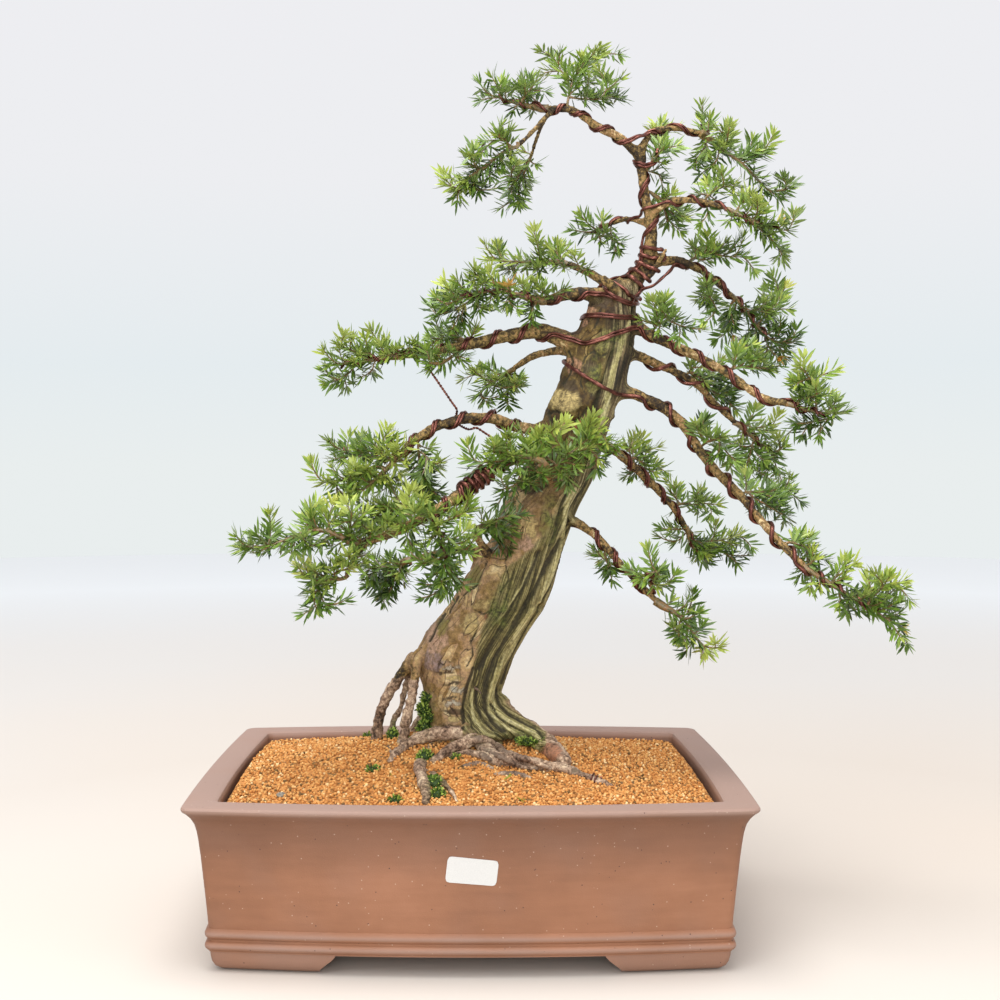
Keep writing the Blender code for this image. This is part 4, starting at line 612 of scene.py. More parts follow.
bpy.ops.object.select_all(action="DESELECT")
bpy.ops.mesh.primitive_grid_add(x_subdivisions=24, y_subdivisions=14, size=2)
label = bpy.context.object
pot_tree = frame_tree("pot_fired")
left_top, right_top, right_low, left_low = [Vector(corner) for corner in LABEL_CORNERS]
for vertex in label.data.vertices:
    across, down = (vertex.co.x + 1) / 2, (1 - vertex.co.y) / 2
    reach_x, reach_y = min(across, 1 - across), min(down, 1 - down) / 2
    if max(reach_x, reach_y) < LABEL_CORNER_SHARE:
        short_x, short_y = 1 - reach_x / LABEL_CORNER_SHARE, 1 - reach_y / LABEL_CORNER_SHARE
        pull = 1 - 1 / max(1, math.hypot(short_x, short_y) / max(short_x, short_y, 1e-6))
        across += (0.5 - across) * pull * 0.2
        down += (0.5 - down) * pull * 0.2
    column, row = left_top.lerp(right_top, across).lerp(left_low.lerp(right_low, across), down)
    hit, normal = seen_on(pot_tree, column, row)
    vertex.co = hit + normal * LABEL_LIFT
modify(label, "SOLIDIFY", thickness=LABEL_THICKNESS, offset=0)
PAPER, tree, shader, place = new_finish("uncoated_label_paper", Roughness=0.75, IOR=1.45)
fibre = add(tree, "TexNoise", {"Vector": place, "Scale": 1400.0, "Detail": 3})
tint = add(tree, "ValToRGB", {"Fac": fibre}, stops=[(0.3, "C4C4C1"), (0.7, "CFCECB")])
bump = add(tree, "Bump", {"Height": fibre, "Strength": 0.15, "Distance": 0.0001})
feed(tree, shader, Base_Color=tint, Normal=bump)
finish_piece(label, "label_paper", PAPER, ["label"])

# %% [markdown]
# ## Drainage screens
# Under the soil a moulded plastic screen lies over each drain hole. The frame's own screens have the
# right shape, so they only get the finish of dark moulded polypropylene with a fine satin grain.

# %% Moulded plastic for the screens
SCREEN_PLASTIC, tree, shader, place = new_finish("moulded_dark_polypropylene", Roughness=0.5, IOR=1.49)
grain = add(tree, "TexNoise", {"Vector": place, "Scale": 900.0, "Detail": 2})
tint = add(tree, "ValToRGB", {"Fac": grain}, stops=[(0.3, "24272A"), (0.7, "34383B")])
bump = add(tree, "Bump", {"Height": grain, "Strength": 0.2, "Distance": 0.0002})
feed(tree, shader, Base_Color=tint, Normal=bump)
for name in ("screen_left", "screen_right"):
    screen = bpy.data.objects[name]
    screen.data.materials.clear()
    screen.data.materials.append(SCREEN_PLASTIC)
print("screens: 2")

# %% [markdown]
# ## Soil
# The filling is fired clay, sieved to grains of 2 to 4 mm and heaped round the trunk. A bump map alone
# would leave a smooth outline against the pot, and grains all through would be millions. So there is a
# bed with a grainy top, from wall to wall, and one layer of real grains lying on it, each one a copy
# of a rough pebble at its own size and turn.

# %% Bed of soil
SOIL_LEVEL = 145
MOUND_HEIGHT = 37
MOUND_AT = (-22, 12)
MOUND_SPREAD = (118, 80)
SOIL_HALF = 230.4
# Half the inside's depth at the pot's ends, what it gains by the middle, and what its corners take off
WALL_DEPTH, WALL_BULGE, WALL_CORNER = 162.4, 12.9, 6
BED_BOTTOM = 33.5
BED_TAPER = (0.955, 0.945)
BED_BELOW_GRAINS = 1.7
EDGE_DROP = 1
GRAIN_PITCH = 3.9


def soil_height(x, y):
    """The soil's height in mm at a place in mm from the pot's middle."""
    away = ((x - MOUND_AT[0]) / MOUND_SPREAD[0]) ** 2 + ((y - MOUND_AT[1]) / MOUND_SPREAD[1]) ** 2
    return SOIL_LEVEL + MOUND_HEIGHT * np.exp(-away / 2)


def wall_depth(x):
    """Half the depth of the pot's inside in mm, a place across from its middle."""
    share = np.minimum(1, np.abs(x) / SOIL_HALF)
    return WALL_DEPTH + WALL_BULGE * (1 - share**2) - WALL_CORNER * smooth_steps(0.95, 1.0, share)


def grain_bumps(table):
    """Rounded bumps one grain across, from 0 in the gaps to 1 on the grains."""
    scale = 1 / (GRAIN_PITCH * MM)
    return np.array([1 - noise.voronoi(Vector(row) * scale)[0][0] for row in table])


bpy.ops.object.select_all(action="DESELECT")
bpy.ops.mesh.primitive_grid_add(x_subdivisions=170, y_subdivisions=118, size=2)
bed = bpy.context.object
table = points_of(bed.data)
edge = np.maximum(np.abs(table[:, 0]), np.abs(table[:, 1])) > 0.999
across = table[:, 0] * SOIL_HALF
deep = table[:, 1] * wall_depth(across)
flat = np.stack([across, deep, np.zeros(len(across))], axis=1) * MM
rough = 1.6 * grain_bumps(flat) + 0.8 * noise_at(flat, 60)
height = soil_height(across, deep) - BED_BELOW_GRAINS + rough
table = np.stack([across + POT_X / MM, deep, np.where(edge, height - EDGE_DROP, height)], axis=1) * MM
move_points(bed.data, table)
alone(bed)
bpy.ops.object.mode_set(mode="EDIT")
bpy.ops.mesh.select_all(action="DESELECT")
bpy.ops.mesh.select_mode(type="EDGE")
bpy.ops.mesh.select_non_manifold()
bpy.ops.mesh.extrude_edges_move()
work = bmesh.from_edit_mesh(bed.data)
for vertex in [v for v in work.verts if v.select]:
    across, deep = (vertex.co.x - POT_X) * BED_TAPER[0] + POT_X, vertex.co.y * BED_TAPER[1]
    vertex.co = Vector((across, deep, BED_BOTTOM * MM))
bmesh.update_edit_mesh(bed.data)
bpy.ops.mesh.edge_face_add()
face_outwards()
print("bed:", len(bed.data.polygons), "faces")

# %% Fired clay finish
CLAY_GRAINS, tree, shader, place = new_finish("fired_clay_grains", Roughness=0.92, IOR=1.45)
tone = add(tree, "Attribute", {}, attribute_name="tone")
cell = add(tree, "TexVoronoi", {"Vector": place, "Scale": 1 / (GRAIN_PITCH * MM), "Randomness": 1.0})
fine = add(tree, "TexNoise", {"Vector": place, "Scale": 700.0, "Detail": 3})
cell_tone = add(tree, "SeparateColor", {"Color": cell.outputs["Color"]})
bed_tone = add(tree, "Math", {0: cell_tone.outputs["Red"], 1: 0.72}, operation="MULTIPLY")
has_tone = add(tree, "Math", {0: tone.outputs["Fac"], 1: 0.001}, operation="GREATER_THAN")
chosen = add(tree, "Mix", {0: has_tone, 2: bed_tone, 3: tone.outputs["Fac"]})
GRAINS = [
    (0.0, "4E3718"), (0.1, "6A5430"), (0.18, "93602C"), (0.35, "B5773A"), (0.6, "C98B4A"),
    (0.85, "D8A663"), (1.0, "E6C792"),
]
grains_tint = add(tree, "ValToRGB", {"Fac": chosen}, stops=GRAINS)
dust = add(tree, "Mix", {0: fine, 6: grains_tint, 7: paint("9A6A38")}, data_type="RGBA")
dusty = add(tree, "Mix", {0: 0.25, 6: grains_tint, 7: dust}, data_type="RGBA")
bump = add(tree, "Bump", {"Height": fine, "Strength": 0.4, "Distance": 0.0004})
feed(tree, shader, Base_Color=dusty, Normal=bump)
finish_piece(bed, "soil_bed", CLAY_GRAINS, ["soil"])

# %% Loose grains on top
GRAIN_SIZES = (1.35, 2.3)
GRAIN_INSET = 1.5
GRAIN_STRAY = 1.9
CLEAR_OF_WOOD = -0.5 * MM
DARK_GRAINS = 0.09
ROUGH_SHAPES = 3
rng = np.random.default_rng(21)
wood_tree = frame_tree("wood")


def rough_pebble(seed):
    """The points and faces of a pebble about 2 units across: a twenty-sided ball, dented."""
    bpy.ops.object.select_all(action="DESELECT")
    bpy.ops.mesh.primitive_ico_sphere_add(subdivisions=1, radius=1)
    ball = bpy.context.object
    bpy.ops.object.mode_set(mode="EDIT")
    bpy.ops.mesh.select_all(action="SELECT")
    bpy.ops.transform.resize(value=(1.0, 0.86, 0.74))
    bpy.ops.mesh.vertices_smooth(factor=0.1)
    bpy.ops.object.mode_set(mode="OBJECT")
    shape = points_of(ball.data)
    shape *= np.random.default_rng(seed).uniform(0.82, 1.14, (len(shape), 1))
    faces = np.array([tuple(face.vertices) for face in ball.data.polygons])
    bpy.data.objects.remove(ball)
    return shape, faces


steps_x = np.arange(-SOIL_HALF + 3, SOIL_HALF - 2, GRAIN_PITCH)
spots = []
for x in steps_x:
    edge_y = float(wall_depth(x)) - GRAIN_INSET
    for y in np.arange(-edge_y, edge_y, GRAIN_PITCH):
        near_x = x + rng.uniform(-GRAIN_STRAY, GRAIN_STRAY)
        near_y = y + rng.uniform(-GRAIN_STRAY, GRAIN_STRAY)
        if abs(near_y) > edge_y - 0.5 or abs(near_x) > SOIL_HALF - 2.5:
            continue
        z = float(soil_height(near_x, near_y)) + rng.uniform(-0.6, 0.5)
        spot = Vector((near_x + POT_X / MM, near_y, z)) * MM
        if outside(wood_tree, spot)[0] > CLEAR_OF_WOOD:
            spots.append(tuple(spot))
spots = np.array(spots)
sizes = rng.uniform(*GRAIN_SIZES, len(spots)) * MM
kinds = rng.integers(0, ROUGH_SHAPES, len(spots))
turns = random_turns(rng, len(spots)) * sizes[:, None, None]
shapes = [rough_pebble(seed) for seed in range(ROUGH_SHAPES)]
parts = [paste_copies(shapes[k][0], turns[kinds == k], spots[kinds == k]) for k in range(ROUGH_SHAPES)]
grains = copies_piece("grains", np.concatenate(parts), shapes[0][1], len(spots))
tones = np.clip(rng.normal(0.62, 0.2, len(spots)), 0.2, 1)
tones = np.where(rng.random(len(spots)) < DARK_GRAINS, rng.uniform(0.02, 0.3, len(spots)), tones)
set_attribute(grains.data, "tone", np.repeat(tones, len(shapes[0][0])))
finish_piece(grains, "soil_grains", CLAY_GRAINS, ["soil"], angle=60)
print("grains:", len(spots))

# %% [markdown]
# ## Middle lines of thin solids
# The frame's wires and leafy stems are plain faceted tubes, each in its right place. Finer ones are
# grown here along their middle lines. Those lines could be typed in again, but then the two models
# would drift apart. So a helper merges each solid's corners, gathers each ring of corners to its
# middle, and follows the rings from one end to the other and out along each twig.

# %% Reading a thin solid's middle lines
RING_GAP = 4 * MM
THICK_RING_GAP = 6.2 * MM
LEAST_NEEDLE = 7.5 * MM
HALF_WHORL = 1.25 * MM


def read_rings(name, ring_gap, thick_gap):
    """A thin solid's ring middles, their radii and links, and its needles as bases and tips."""
    work = bmesh.new()
    work.from_mesh(bpy.data.objects[name].data)
    bmesh.ops.remove_doubles(work, verts=work.verts, dist=1e-6)
    work.verts.index_update()
    places = [vertex.co.copy() for vertex in work.verts]
    edges = [(e.verts[0].index, e.verts[1].index, e.calc_length()) for e in work.edges]
    work.free()
    shortest = [1.0] * len(places)
    for a, b, length in edges:
        shortest[a] = min(shortest[a], length)
        shortest[b] = min(shortest[b], length)
    owner = list(range(len(places)))

    def top(index):
        """The first point of a point's group."""
        while owner[index] != index:
            index = owner[index]
        return index

    body = [e for e in edges if max(shortest[e[0]], shortest[e[1]]) < LEAST_NEEDLE]
    for a, b, length in body:
        if length < ring_gap:
            owner[top(a)] = top(b)
    tops = [top(index) for index in range(len(places))]
    for a, b, length in body:
        if length < thick_gap and max(tops.count(tops[a]), tops.count(tops[b])) < 3:
            owner[top(a)] = top(b)
    groups = {}
    for index in range(len(places)):
        if shortest[index] < LEAST_NEEDLE:
            groups.setdefault(top(index), []).append(index)
    number = {index: n for n, group in enumerate(groups.values()) for index in group}
    centres, radii = [], []
    for group in groups.values():
        centre = sum((places[index] for index in group), Vector()) / len(group)
        spread = sum((places[index] - centre).length_squared for index in group) / len(group)
        less = HALF_WHORL**2 if len(group) > 4 else 0
        centres.append(centre)
        radii.append(math.sqrt(max(spread - less, 1e-8)))
    links = [set() for _ in centres]
    for a, b, _ in body:
        if number[a] != number[b]:
            links[number[a]].add(number[b])
            links[number[b]].add(number[a])
    needles = []
    for index in set(range(len(places))) - set(number):
        feet = [a + b - index for a, b, _ in edges if index in (a, b)]
        needles.append((sum((places[foot] for foot in feet), Vector()) / len(feet), places[index]))
    return centres, radii, links, needles


def follow_rings(centres, links, root):
    """Paths of ring numbers: the first from the root on, the rest each from where it branches off."""
    paths, seen, waiting = [], {root}, [(None, root)]
    while waiting:
        before, here = waiting.pop(0)
        path = [here] if before is None else [before, here]
        while True:
            ahead = [n for n in links[here] if n not in seen]
            seen.update(ahead)
            if not ahead:
                break
            if len(path) > 1:
                way = (centres[path[-1]] - centres[path[-2]]).normalized()
                ahead.sort(key=lambda n: -(centres[n] - centres[here]).normalized().dot(way))
            waiting += [(here, n) for n in ahead[1:]]
            here = ahead[0]
            path.append(here)
        paths.append(path)
    return paths


def smooth_line(points, step):
    """A smooth line through some points, with the place among them of each of its own points."""
    table = np.array([tuple(point) for point in points])
    padded = np.vstack([2 * table[0] - table[1], table, 2 * table[-1] - table[-2]])
    rows, places = [], []
    for k in range(len(table) - 1):
        a, b, c, d = padded[k : k + 4]
        count = max(1, math.ceil(np.linalg.norm(c - b) / step))
        for t in np.arange(count) / count:
            square = (2 * a - 5 * b + 4 * c - d) * t**2
            rows.append((2 * b + (c - a) * t + square + (3 * b - a - 3 * c + d) * t**3) / 2)
            places.append(k + t)
    return np.array(rows + [table[-1]]), np.array(places + [len(table) - 1])


def line_facts(route):
    """A line's run to each point, and its heading there."""
    steps = np.diff(route, axis=0)
    lengths = np.linalg.norm(steps, axis=1)
    ways = steps / lengths[:, None]
    ways = np.vstack([ways[:1], ways[:-1] + ways[1:], ways[-1:]])
    return np.concatenate([[0], np.cumsum(lengths)]), ways / np.linalg.norm(ways, axis=1, keepdims=True)


def tube_piece(name, routes, sizes, roundness):
    """Round tubes along lines of points: a curve with a bevel, made a mesh."""
    curve = bpy.data.curves.new(name, "CURVE")
    curve.dimensions = "3D"
    curve.bevel_depth = 1
    curve.bevel_resolution = roundness
    curve.use_fill_caps = True
    for route, radii in zip(routes, sizes):
        spline = curve.splines.new("POLY")
        spline.points.add(len(route) - 1)
        spline.points.foreach_set("co", np.hstack([route, np.ones((len(route), 1))]).ravel())
        spline.points.foreach_set("radius", np.asarray(radii, dtype=float))
    alone(place_object(name, curve))
    bpy.ops.object.convert(target="MESH")
    return bpy.context.object


print("helpers: read_rings, follow_rings, smooth_line and tube_piece")

# %% [markdown]
# ## Wood
# Trunk, roots and branches grew as one piece. On the left and front the trunk is alive, under flaking
# bark. On the right it is deadwood: the bark went long ago, and rain and age left long ridges of hard
# wood with deep grooves between. A sculptor would carve this by hand. Here the frame's plain trunk gets
# a fine, even skin by a voxel remesh, and formulas in the trunk's own round-and-up coordinates push
# that skin in and out.

# %% A fine skin over the frame's wood
VOXEL = 1.9 * MM
INFLATE_TURNS = 10


def mesh_edges(mesh):
    """The mesh's edges as two rows of point numbers."""
    table = np.empty(len(mesh.edges) * 2, dtype=np.int64)
    mesh.edges.foreach_get("vertices", table)
    return table.reshape(-1, 2).T


def even_out(values, edges, turns):
    """Values on a mesh's points, evened out with their neighbours some turns over."""
    low, high = edges
    count = np.bincount(low, minlength=len(values)) + np.bincount(high, minlength=len(values))
    for _ in range(turns):
        total = np.bincount(low, values[high], len(values)) + np.bincount(high, values[low], len(values))
        values = (values + total / count) / 2
    return values


wood = bpy.data.objects["wood"].copy()
wood.data = bpy.data.objects["wood"].data.copy()
for key in list(wood.keys()):
    del wood[key]
bpy.context.scene.collection.objects.link(wood)
alone(wood)
bpy.ops.object.mode_set(mode="EDIT")
bpy.ops.mesh.select_all(action="SELECT")
bpy.ops.mesh.remove_doubles(threshold=1e-6)
bpy.ops.mesh.tris_convert_to_quads()
bpy.ops.object.mode_set(mode="OBJECT")
modify(wood, "SUBSURF", levels=2, render_levels=2)
modify(wood, "REMESH", mode="VOXEL", voxel_size=VOXEL)
modify(wood, "SMOOTH", factor=0.5, iterations=4)
edges = mesh_edges(wood.data)
table = points_of(wood.data)
sunk = np.array([max(0, -outside(wood_tree, Vector(row))[0]) for row in table])
table += points_of(wood.data, "normal") * even_out(sunk, edges, INFLATE_TURNS)[:, None]
move_points(wood.data, table)
print("wood skin:", len(wood.data.polygons), "faces, voxels of", VOXEL / MM, "mm")

# %% The trunk's own coordinates
# The trunk seen from the front: row, left, right, and its middle's and half depth in mm
TRUNK_ROWS = [
    (279, 612, 635, 4, 11), (296, 599, 637, 4, 19), (320, 583, 638, 5, 25), (345, 573, 636, 6, 27),
    (392, 558, 624, 8, 30), (409, 547, 617, 9, 31), (455, 532, 602, 12, 33), (482, 517, 594, 14, 35),
    (508, 503, 579, 16, 36), (535, 494, 570, 17, 37), (585, 462, 554, 19, 39), (608, 449, 546, 20, 40),
    (632, 426, 531, 21, 41), (655, 415, 517, 22, 41), (700, 429, 502, 24, 40), (722, 428, 520, 24, 43),
    (742, 424, 545, 24, 49), (790, 424, 550, 24, 46),
]
ROOTS_ABOVE_SOIL = 62 * MM
ROOTS_END = 0.07
middles, halves = [], []
for row, left, right, depth, half_depth in reversed(TRUNK_ROWS):
    middle = sight((left + right) / 2, row, depth * MM)
    middles.append(middle)
    halves.append(((sight(right, row, depth * MM) - middle).x, half_depth * MM))
levels = [middle.z for middle in middles]
height = table[:, 2]
centre_x, centre_y = (np.interp(height, levels, [middle[k] for middle in middles]) for k in (0, 1))
half_x, half_y = (np.interp(height, levels, [half[k] for half in halves]) for k in (0, 1))
level_x = (table[:, 0] - centre_x) / half_x
level_y = (table[:, 1] - centre_y) / half_y
reach = np.hypot(level_x, level_y)
angle = np.degrees(np.arctan2(level_y, level_x))
on_trunk = 1 - smooth_steps(1.12, 1.32, reach)
on_trunk *= 1 - smooth_steps(levels[-1] - 12 * MM, levels[-1] + 4 * MM, height)
column, row = seen_at(*table.T)
normals = points_of(wood.data, "normal")
in_front = smooth_steps(0.0, 0.4, -normals[:, 1])
soil_here = soil_height(table[:, 0] / MM - POT_X / MM, table[:, 1] / MM) * MM
near_soil = (1 - on_trunk) * (height < soil_here + ROOTS_ABOVE_SOIL) * (table[:, 0] < ROOTS_END)
print("points on the trunk:", int((on_trunk > 0.5).sum()), "of", len(table))

# %% [markdown]
# ### Ridges, grooves and marks
# Deadwood weathers along its grain, so its small ridges follow lines of equal angle round the trunk.
# The strongest ridges, grooves, cracks and knots seen in the photograph are placed one by one, each
# as a few points seen from the front. They could be drawn as a texture, but then light would not catch
# on them, so they are pushed in and out of the skin too.

# %% Lines and marks seen from the front
# Ridges and grooves: half width in pixels, height in mm (below 0 is inwards), places in the photograph
RIDGES = [
    (2.8, 2.2, [
        (574, 489), (567, 501), (565, 515), (563, 534), (558, 555), (549, 579), (540, 601), (530, 615),
        (519, 631), (509, 652), (499, 670), (493, 685), (491, 699), (495, 710), (506, 719), (518, 726),
        (533, 732), (539, 740), (536, 748),
    ]),
    (2.3, 1.5, [(537, 560), (532, 571), (526, 584), (517, 597), (509, 612), (499, 622)]),
    (1.8, 1.3, [(487, 697), (490, 712), (500, 724), (514, 732), (528, 740), (533, 746)]),
    (3.2, 1.4, [(631, 322), (622, 340), (612, 375), (606, 408), (601, 422), (597, 440)]),
    (2.0, 1.0, [(474, 690), (472, 702), (475, 718), (484, 730), (494, 737)]),
]
GROOVES = [
    (1.7, -3.0, [(594, 470), (586, 487), (579, 497), (569, 512), (568, 526), (567, 541), (562, 557)]),
    (1.6, -2.5, [(574, 470), (570, 487), (562, 503), (558, 520), (555, 534), (550, 546)]),
    (2.6, -3.4, [
        (561, 540), (551, 560), (543, 577), (534, 594), (523, 611), (514, 627), (504, 645), (494, 663),
        (488, 680), (485, 697), (486, 710), (494, 722), (505, 731),
    ]),
    (2.2, -2.6, [(541, 552), (534, 568), (524, 590), (514, 607), (503, 628), (489, 652), (480, 670)]),
    (1.7, -2.6, [(497, 690), (499, 703), (508, 713), (521, 721), (535, 728), (544, 737)]),
    (1.4, -2.2, [(491, 704), (497, 715), (510, 725), (524, 733), (534, 741)]),
    (2.0, -3.6, [(474, 668), (466, 688), (462, 708), (463, 728)]),
    (1.4, -2.0, [(479, 688), (478, 704), (483, 718), (496, 732), (504, 740)]),
    (1.1, -1.4, [
        (569, 513), (566, 542), (558, 571), (547, 592), (538, 608), (527, 629), (516, 648), (508, 665),
        (502, 684),
    ]),
    (2.0, -4.0, [(635, 298), (633, 320), (632, 345)]),
    (1.6, -2.4, [(612, 352), (601, 390), (590, 430)]),
    (1.6, -3.0, [(445, 614), (430, 641)]),
    (1.2, -1.8, [(459, 597), (450, 613)]),
    (1.3, -2.2, [(475, 610), (484, 614), (493, 609)]),
    (1.3, -2.0, [(547, 398), (549, 412), (552, 424)]),
    (1.2, -1.6, [(486, 562), (476, 584), (464, 596)]),
    (1.2, -2.2, [(601, 310), (598, 318), (594, 328)]),
    (1.1, -1.8, [(582, 364), (585, 356), (594, 351), (601, 357), (607, 353)]),
    (1.5, -3.4, [(548, 414), (557, 411), (565, 416), (574, 421), (582, 416), (587, 408)]),
    (1.1, -1.6, [(599, 391), (595, 402), (589, 415)]),
    (1.1, -1.6, [(584, 370), (580, 383), (585, 393)]),
    (1.1, -1.5, [(569, 350), (574, 362), (571, 374), (563, 384)]),
    (1.1, -1.5, [(478, 628), (471, 642), (473, 655), (467, 666)]),
    (1.1, -1.3, [(512, 540), (505, 562), (509, 580), (500, 592)]),
]
# Marks: column, row, half width, half height, height in mm
MARKS = [
    (533, 487, 16, 5, -5), (617, 418, 5, 6, 4), (443, 628, 8, 9, 1.8), (566, 402, 17, 12, 4.5),
    (569, 423, 13, 5, -2.5), (436, 658, 9, 14, 1.8), (600, 310, 8, 6, 2), (540, 607, 4, 4, -3),
    (604, 349, 9, 8, 2.6), (590, 366, 8, 10, -1.6), (596, 388, 10, 8, -2), (578, 340, 6, 14, 1.6),
    (594, 300, 9, 6, -2.5), (606, 330, 8, 8, -1.8),
    (506, 545, 5, 4, -2), (506, 556, 4, 4, -2), (501, 575, 4, 4, -1.6), (480, 607, 9, 5, 1.4),
    (537, 501, 4, 3, -2), (552, 752, 12, 9, 1.6),
]
# The rotted hollow between live bark and the bright ridge: row, left, right
HOLLOW = [
    (548, 540, 556), (560, 522, 552), (575, 504, 546), (600, 494, 534), (620, 486, 520), (640, 480, 508),
    (660, 475, 498), (680, 472, 488), (700, 468, 484), (722, 466, 486), (742, 470, 500),
]
# The left edge of the deadwood seen from the front: row, column
DEAD_EDGE = [
    (285, 622), (345, 609), (375, 605), (425, 598), (470, 575), (500, 560), (530, 549), (550, 532),
    (570, 505), (600, 494), (640, 479), (670, 473), (700, 465), (748, 463),
]
# Bark of another tone, and painted shade in the dark patches: tone, column, row, half width, half height
TONES = {
    "pale": "A28F5D", "salmon": "946E52", "pink": "A1826C", "mauve": "7D6B67", "olive": "6C6433",
    # The dark tone is painted shade: in sunken marks, in the gaps between aerial roots and under root layers.
    "rust": "8A4F30", "dark": "3A2C1C", "grey": "A09A88",
}
PATCHES = [
    ("pale", 566, 402, 17, 12), ("salmon", 574, 366, 8, 9), ("rust", 570, 423, 16, 6),
    ("olive", 604, 349, 9, 8), ("dark", 590, 366, 7, 9), ("dark", 598, 388, 9, 7), ("dark", 570, 385, 9, 5),
    ("salmon", 582, 318, 7, 12), ("dark", 600, 302, 12, 5), ("dark", 610, 322, 8, 6),
    ("salmon", 500, 546, 7, 13), ("pink", 526, 545, 8, 7), ("pale", 531, 525, 6, 14),
    ("olive", 545, 524, 6, 15), ("dark", 532, 488, 16, 5), ("pale", 482, 605, 10, 6),
    ("rust", 490, 615, 6, 4), ("pink", 437, 633, 13, 20), ("pink", 434, 655, 10, 14),
    ("olive", 443, 627, 7, 10), ("mauve", 438, 662, 6, 10), ("mauve", 428, 658, 5, 10),
    ("grey", 452, 668, 13, 2.2), ("dark", 447, 673, 12, 1.5), ("pale", 454, 679, 12, 2.4),
    ("dark", 452, 685, 13, 1.6), ("grey", 456, 691, 10, 2.8), ("dark", 449, 698, 12, 1.5),
    ("grey", 455, 704, 11, 3), ("dark", 452, 711, 13, 1.8), ("pale", 456, 718, 9, 3),
    ("dark", 450, 726, 11, 1.4), ("dark", 486, 742, 20, 3), ("dark", 470, 750, 8, 2.5),
    ("dark", 498, 749, 18, 1.8), ("dark", 525, 768, 5, 6), ("pink", 515, 761, 15, 4),
    ("dark", 578, 771, 7, 4), ("dark", 456, 757, 7, 2),
    ("rust", 552, 752, 13, 10), ("olive", 608, 338, 13, 10), ("olive", 594, 384, 8, 10),
    ("dark", 506, 550, 5, 7), ("pink", 505, 520, 8, 12), ("olive", 475, 575, 8, 14),
    ("pale", 470, 625, 9, 14), ("dark", 560, 332, 12, 3), ("salmon", 590, 312, 8, 6),
]
print("lines:", len(RIDGES) + len(GROOVES), "marks:", len(MARKS), "patches:", len(PATCHES))

# %% Shaping the wood
FINE_TURN = 360 / 34
DEAD_FROM, DEAD_TO = -86, 74
PLATE = (15 * MM, 42 * MM)
FAR_AWAY = 6.0
# Heights and depths of the relief, in mm
BROAD_RIDGE, NARROW_RIDGE, ROT_DEPTH = 2.4, 1.3, 3.0
PLATE_STEP, WRINKLE, ROOT_RELIEF = 1.5, 0.3, 1.1
DEEPEST, HIGHEST = -9, 5


def angle_mask(low, high, soft):
    """1 between two angles round the trunk in degrees, with soft, uneven edges."""
    uneven = angle + 7 * wave
    return smooth_steps(low - soft, low + soft, uneven) * (1 - smooth_steps(high - soft, high + soft, uneven))


def line_gap(start, end):
    """How far each point is from a line seen from the front, in pixels."""
    line = np.array(end, float) - start
    seen = np.stack([column - start[0], row - start[1]], axis=1)
    share = np.clip(seen @ line / (line @ line), 0, 1)
    return np.linalg.norm(seen - share[:, None] * line, axis=1)


def lines_on(lines):
    """The push of some lines on each point in mm, and how many half widths away the nearest is."""
    push, nearest = np.zeros(len(table)), np.full(len(table), FAR_AWAY)
    for half, lift, places in lines:
        gap = np.min([line_gap(*ends) for ends in zip(places, places[1:])], axis=0) / half
        push += lift * np.exp(-(gap**2)) * in_front
        nearest = np.minimum(nearest, np.where(in_front > 0.2, gap, FAR_AWAY))
    return push, nearest + 0.35 * fine + 0.3 * finest


flat = height * 0
wave = noise_at(np.stack([angle / 60, height * 9, flat], axis=1), 1)
slow = noise_at(table, 16, 3)
fine = noise_at(table, 130, 5)
finest = noise_at(table, 330, 6)
ridge_push, ridge_gap = lines_on(RIDGES)
groove_push, groove_gap = lines_on(GROOVES)
edge = np.interp(row, *np.array(DEAD_EDGE).T)
front_dead = smooth_steps(-3, 3, column - edge + 3 * wave + 2 * fine)
dead = on_trunk * (in_front * front_dead + (1 - in_front) * angle_mask(DEAD_FROM, DEAD_TO, 9))
foot = in_front * smooth_steps(690, 705, row) * (column > 462) * (column < 546) * (row < 752)
dead = np.maximum(dead, foot * np.clip(1.7 - np.minimum(ridge_gap, groove_gap) / 3, 0, 1))
hollow_rows = np.array(HOLLOW).T
left_side, right_side = (np.interp(row, hollow_rows[0], side) for side in hollow_rows[1:])
rotten = smooth_steps(-2, 3, column - left_side + 2 * fine) * smooth_steps(-1, 4, right_side - column)
rotten *= in_front * smooth_steps(540, 556, row) * smooth_steps(750, 735, row)
drift = noise_at(np.stack([angle / 18, height * 14, flat], axis=1), 1, 2)
narrow = (angle / FINE_TURN + 0.8 * drift + height * 9) % 1
narrow_ridge = (0.5 + 0.5 * np.cos(2 * math.pi * narrow)) ** 0.7
broad_ridge = noise_at(np.stack([angle / 13 + 0.4 * wave, height * 7, flat], axis=1), 1, 4)
behind = 1 - 0.55 * in_front * smooth_steps(0.5, 0.3, height)
carved = dead * (BROAD_RIDGE * broad_ridge * behind + NARROW_RIDGE * (narrow_ridge - 1))
carved -= ROT_DEPTH * rotten

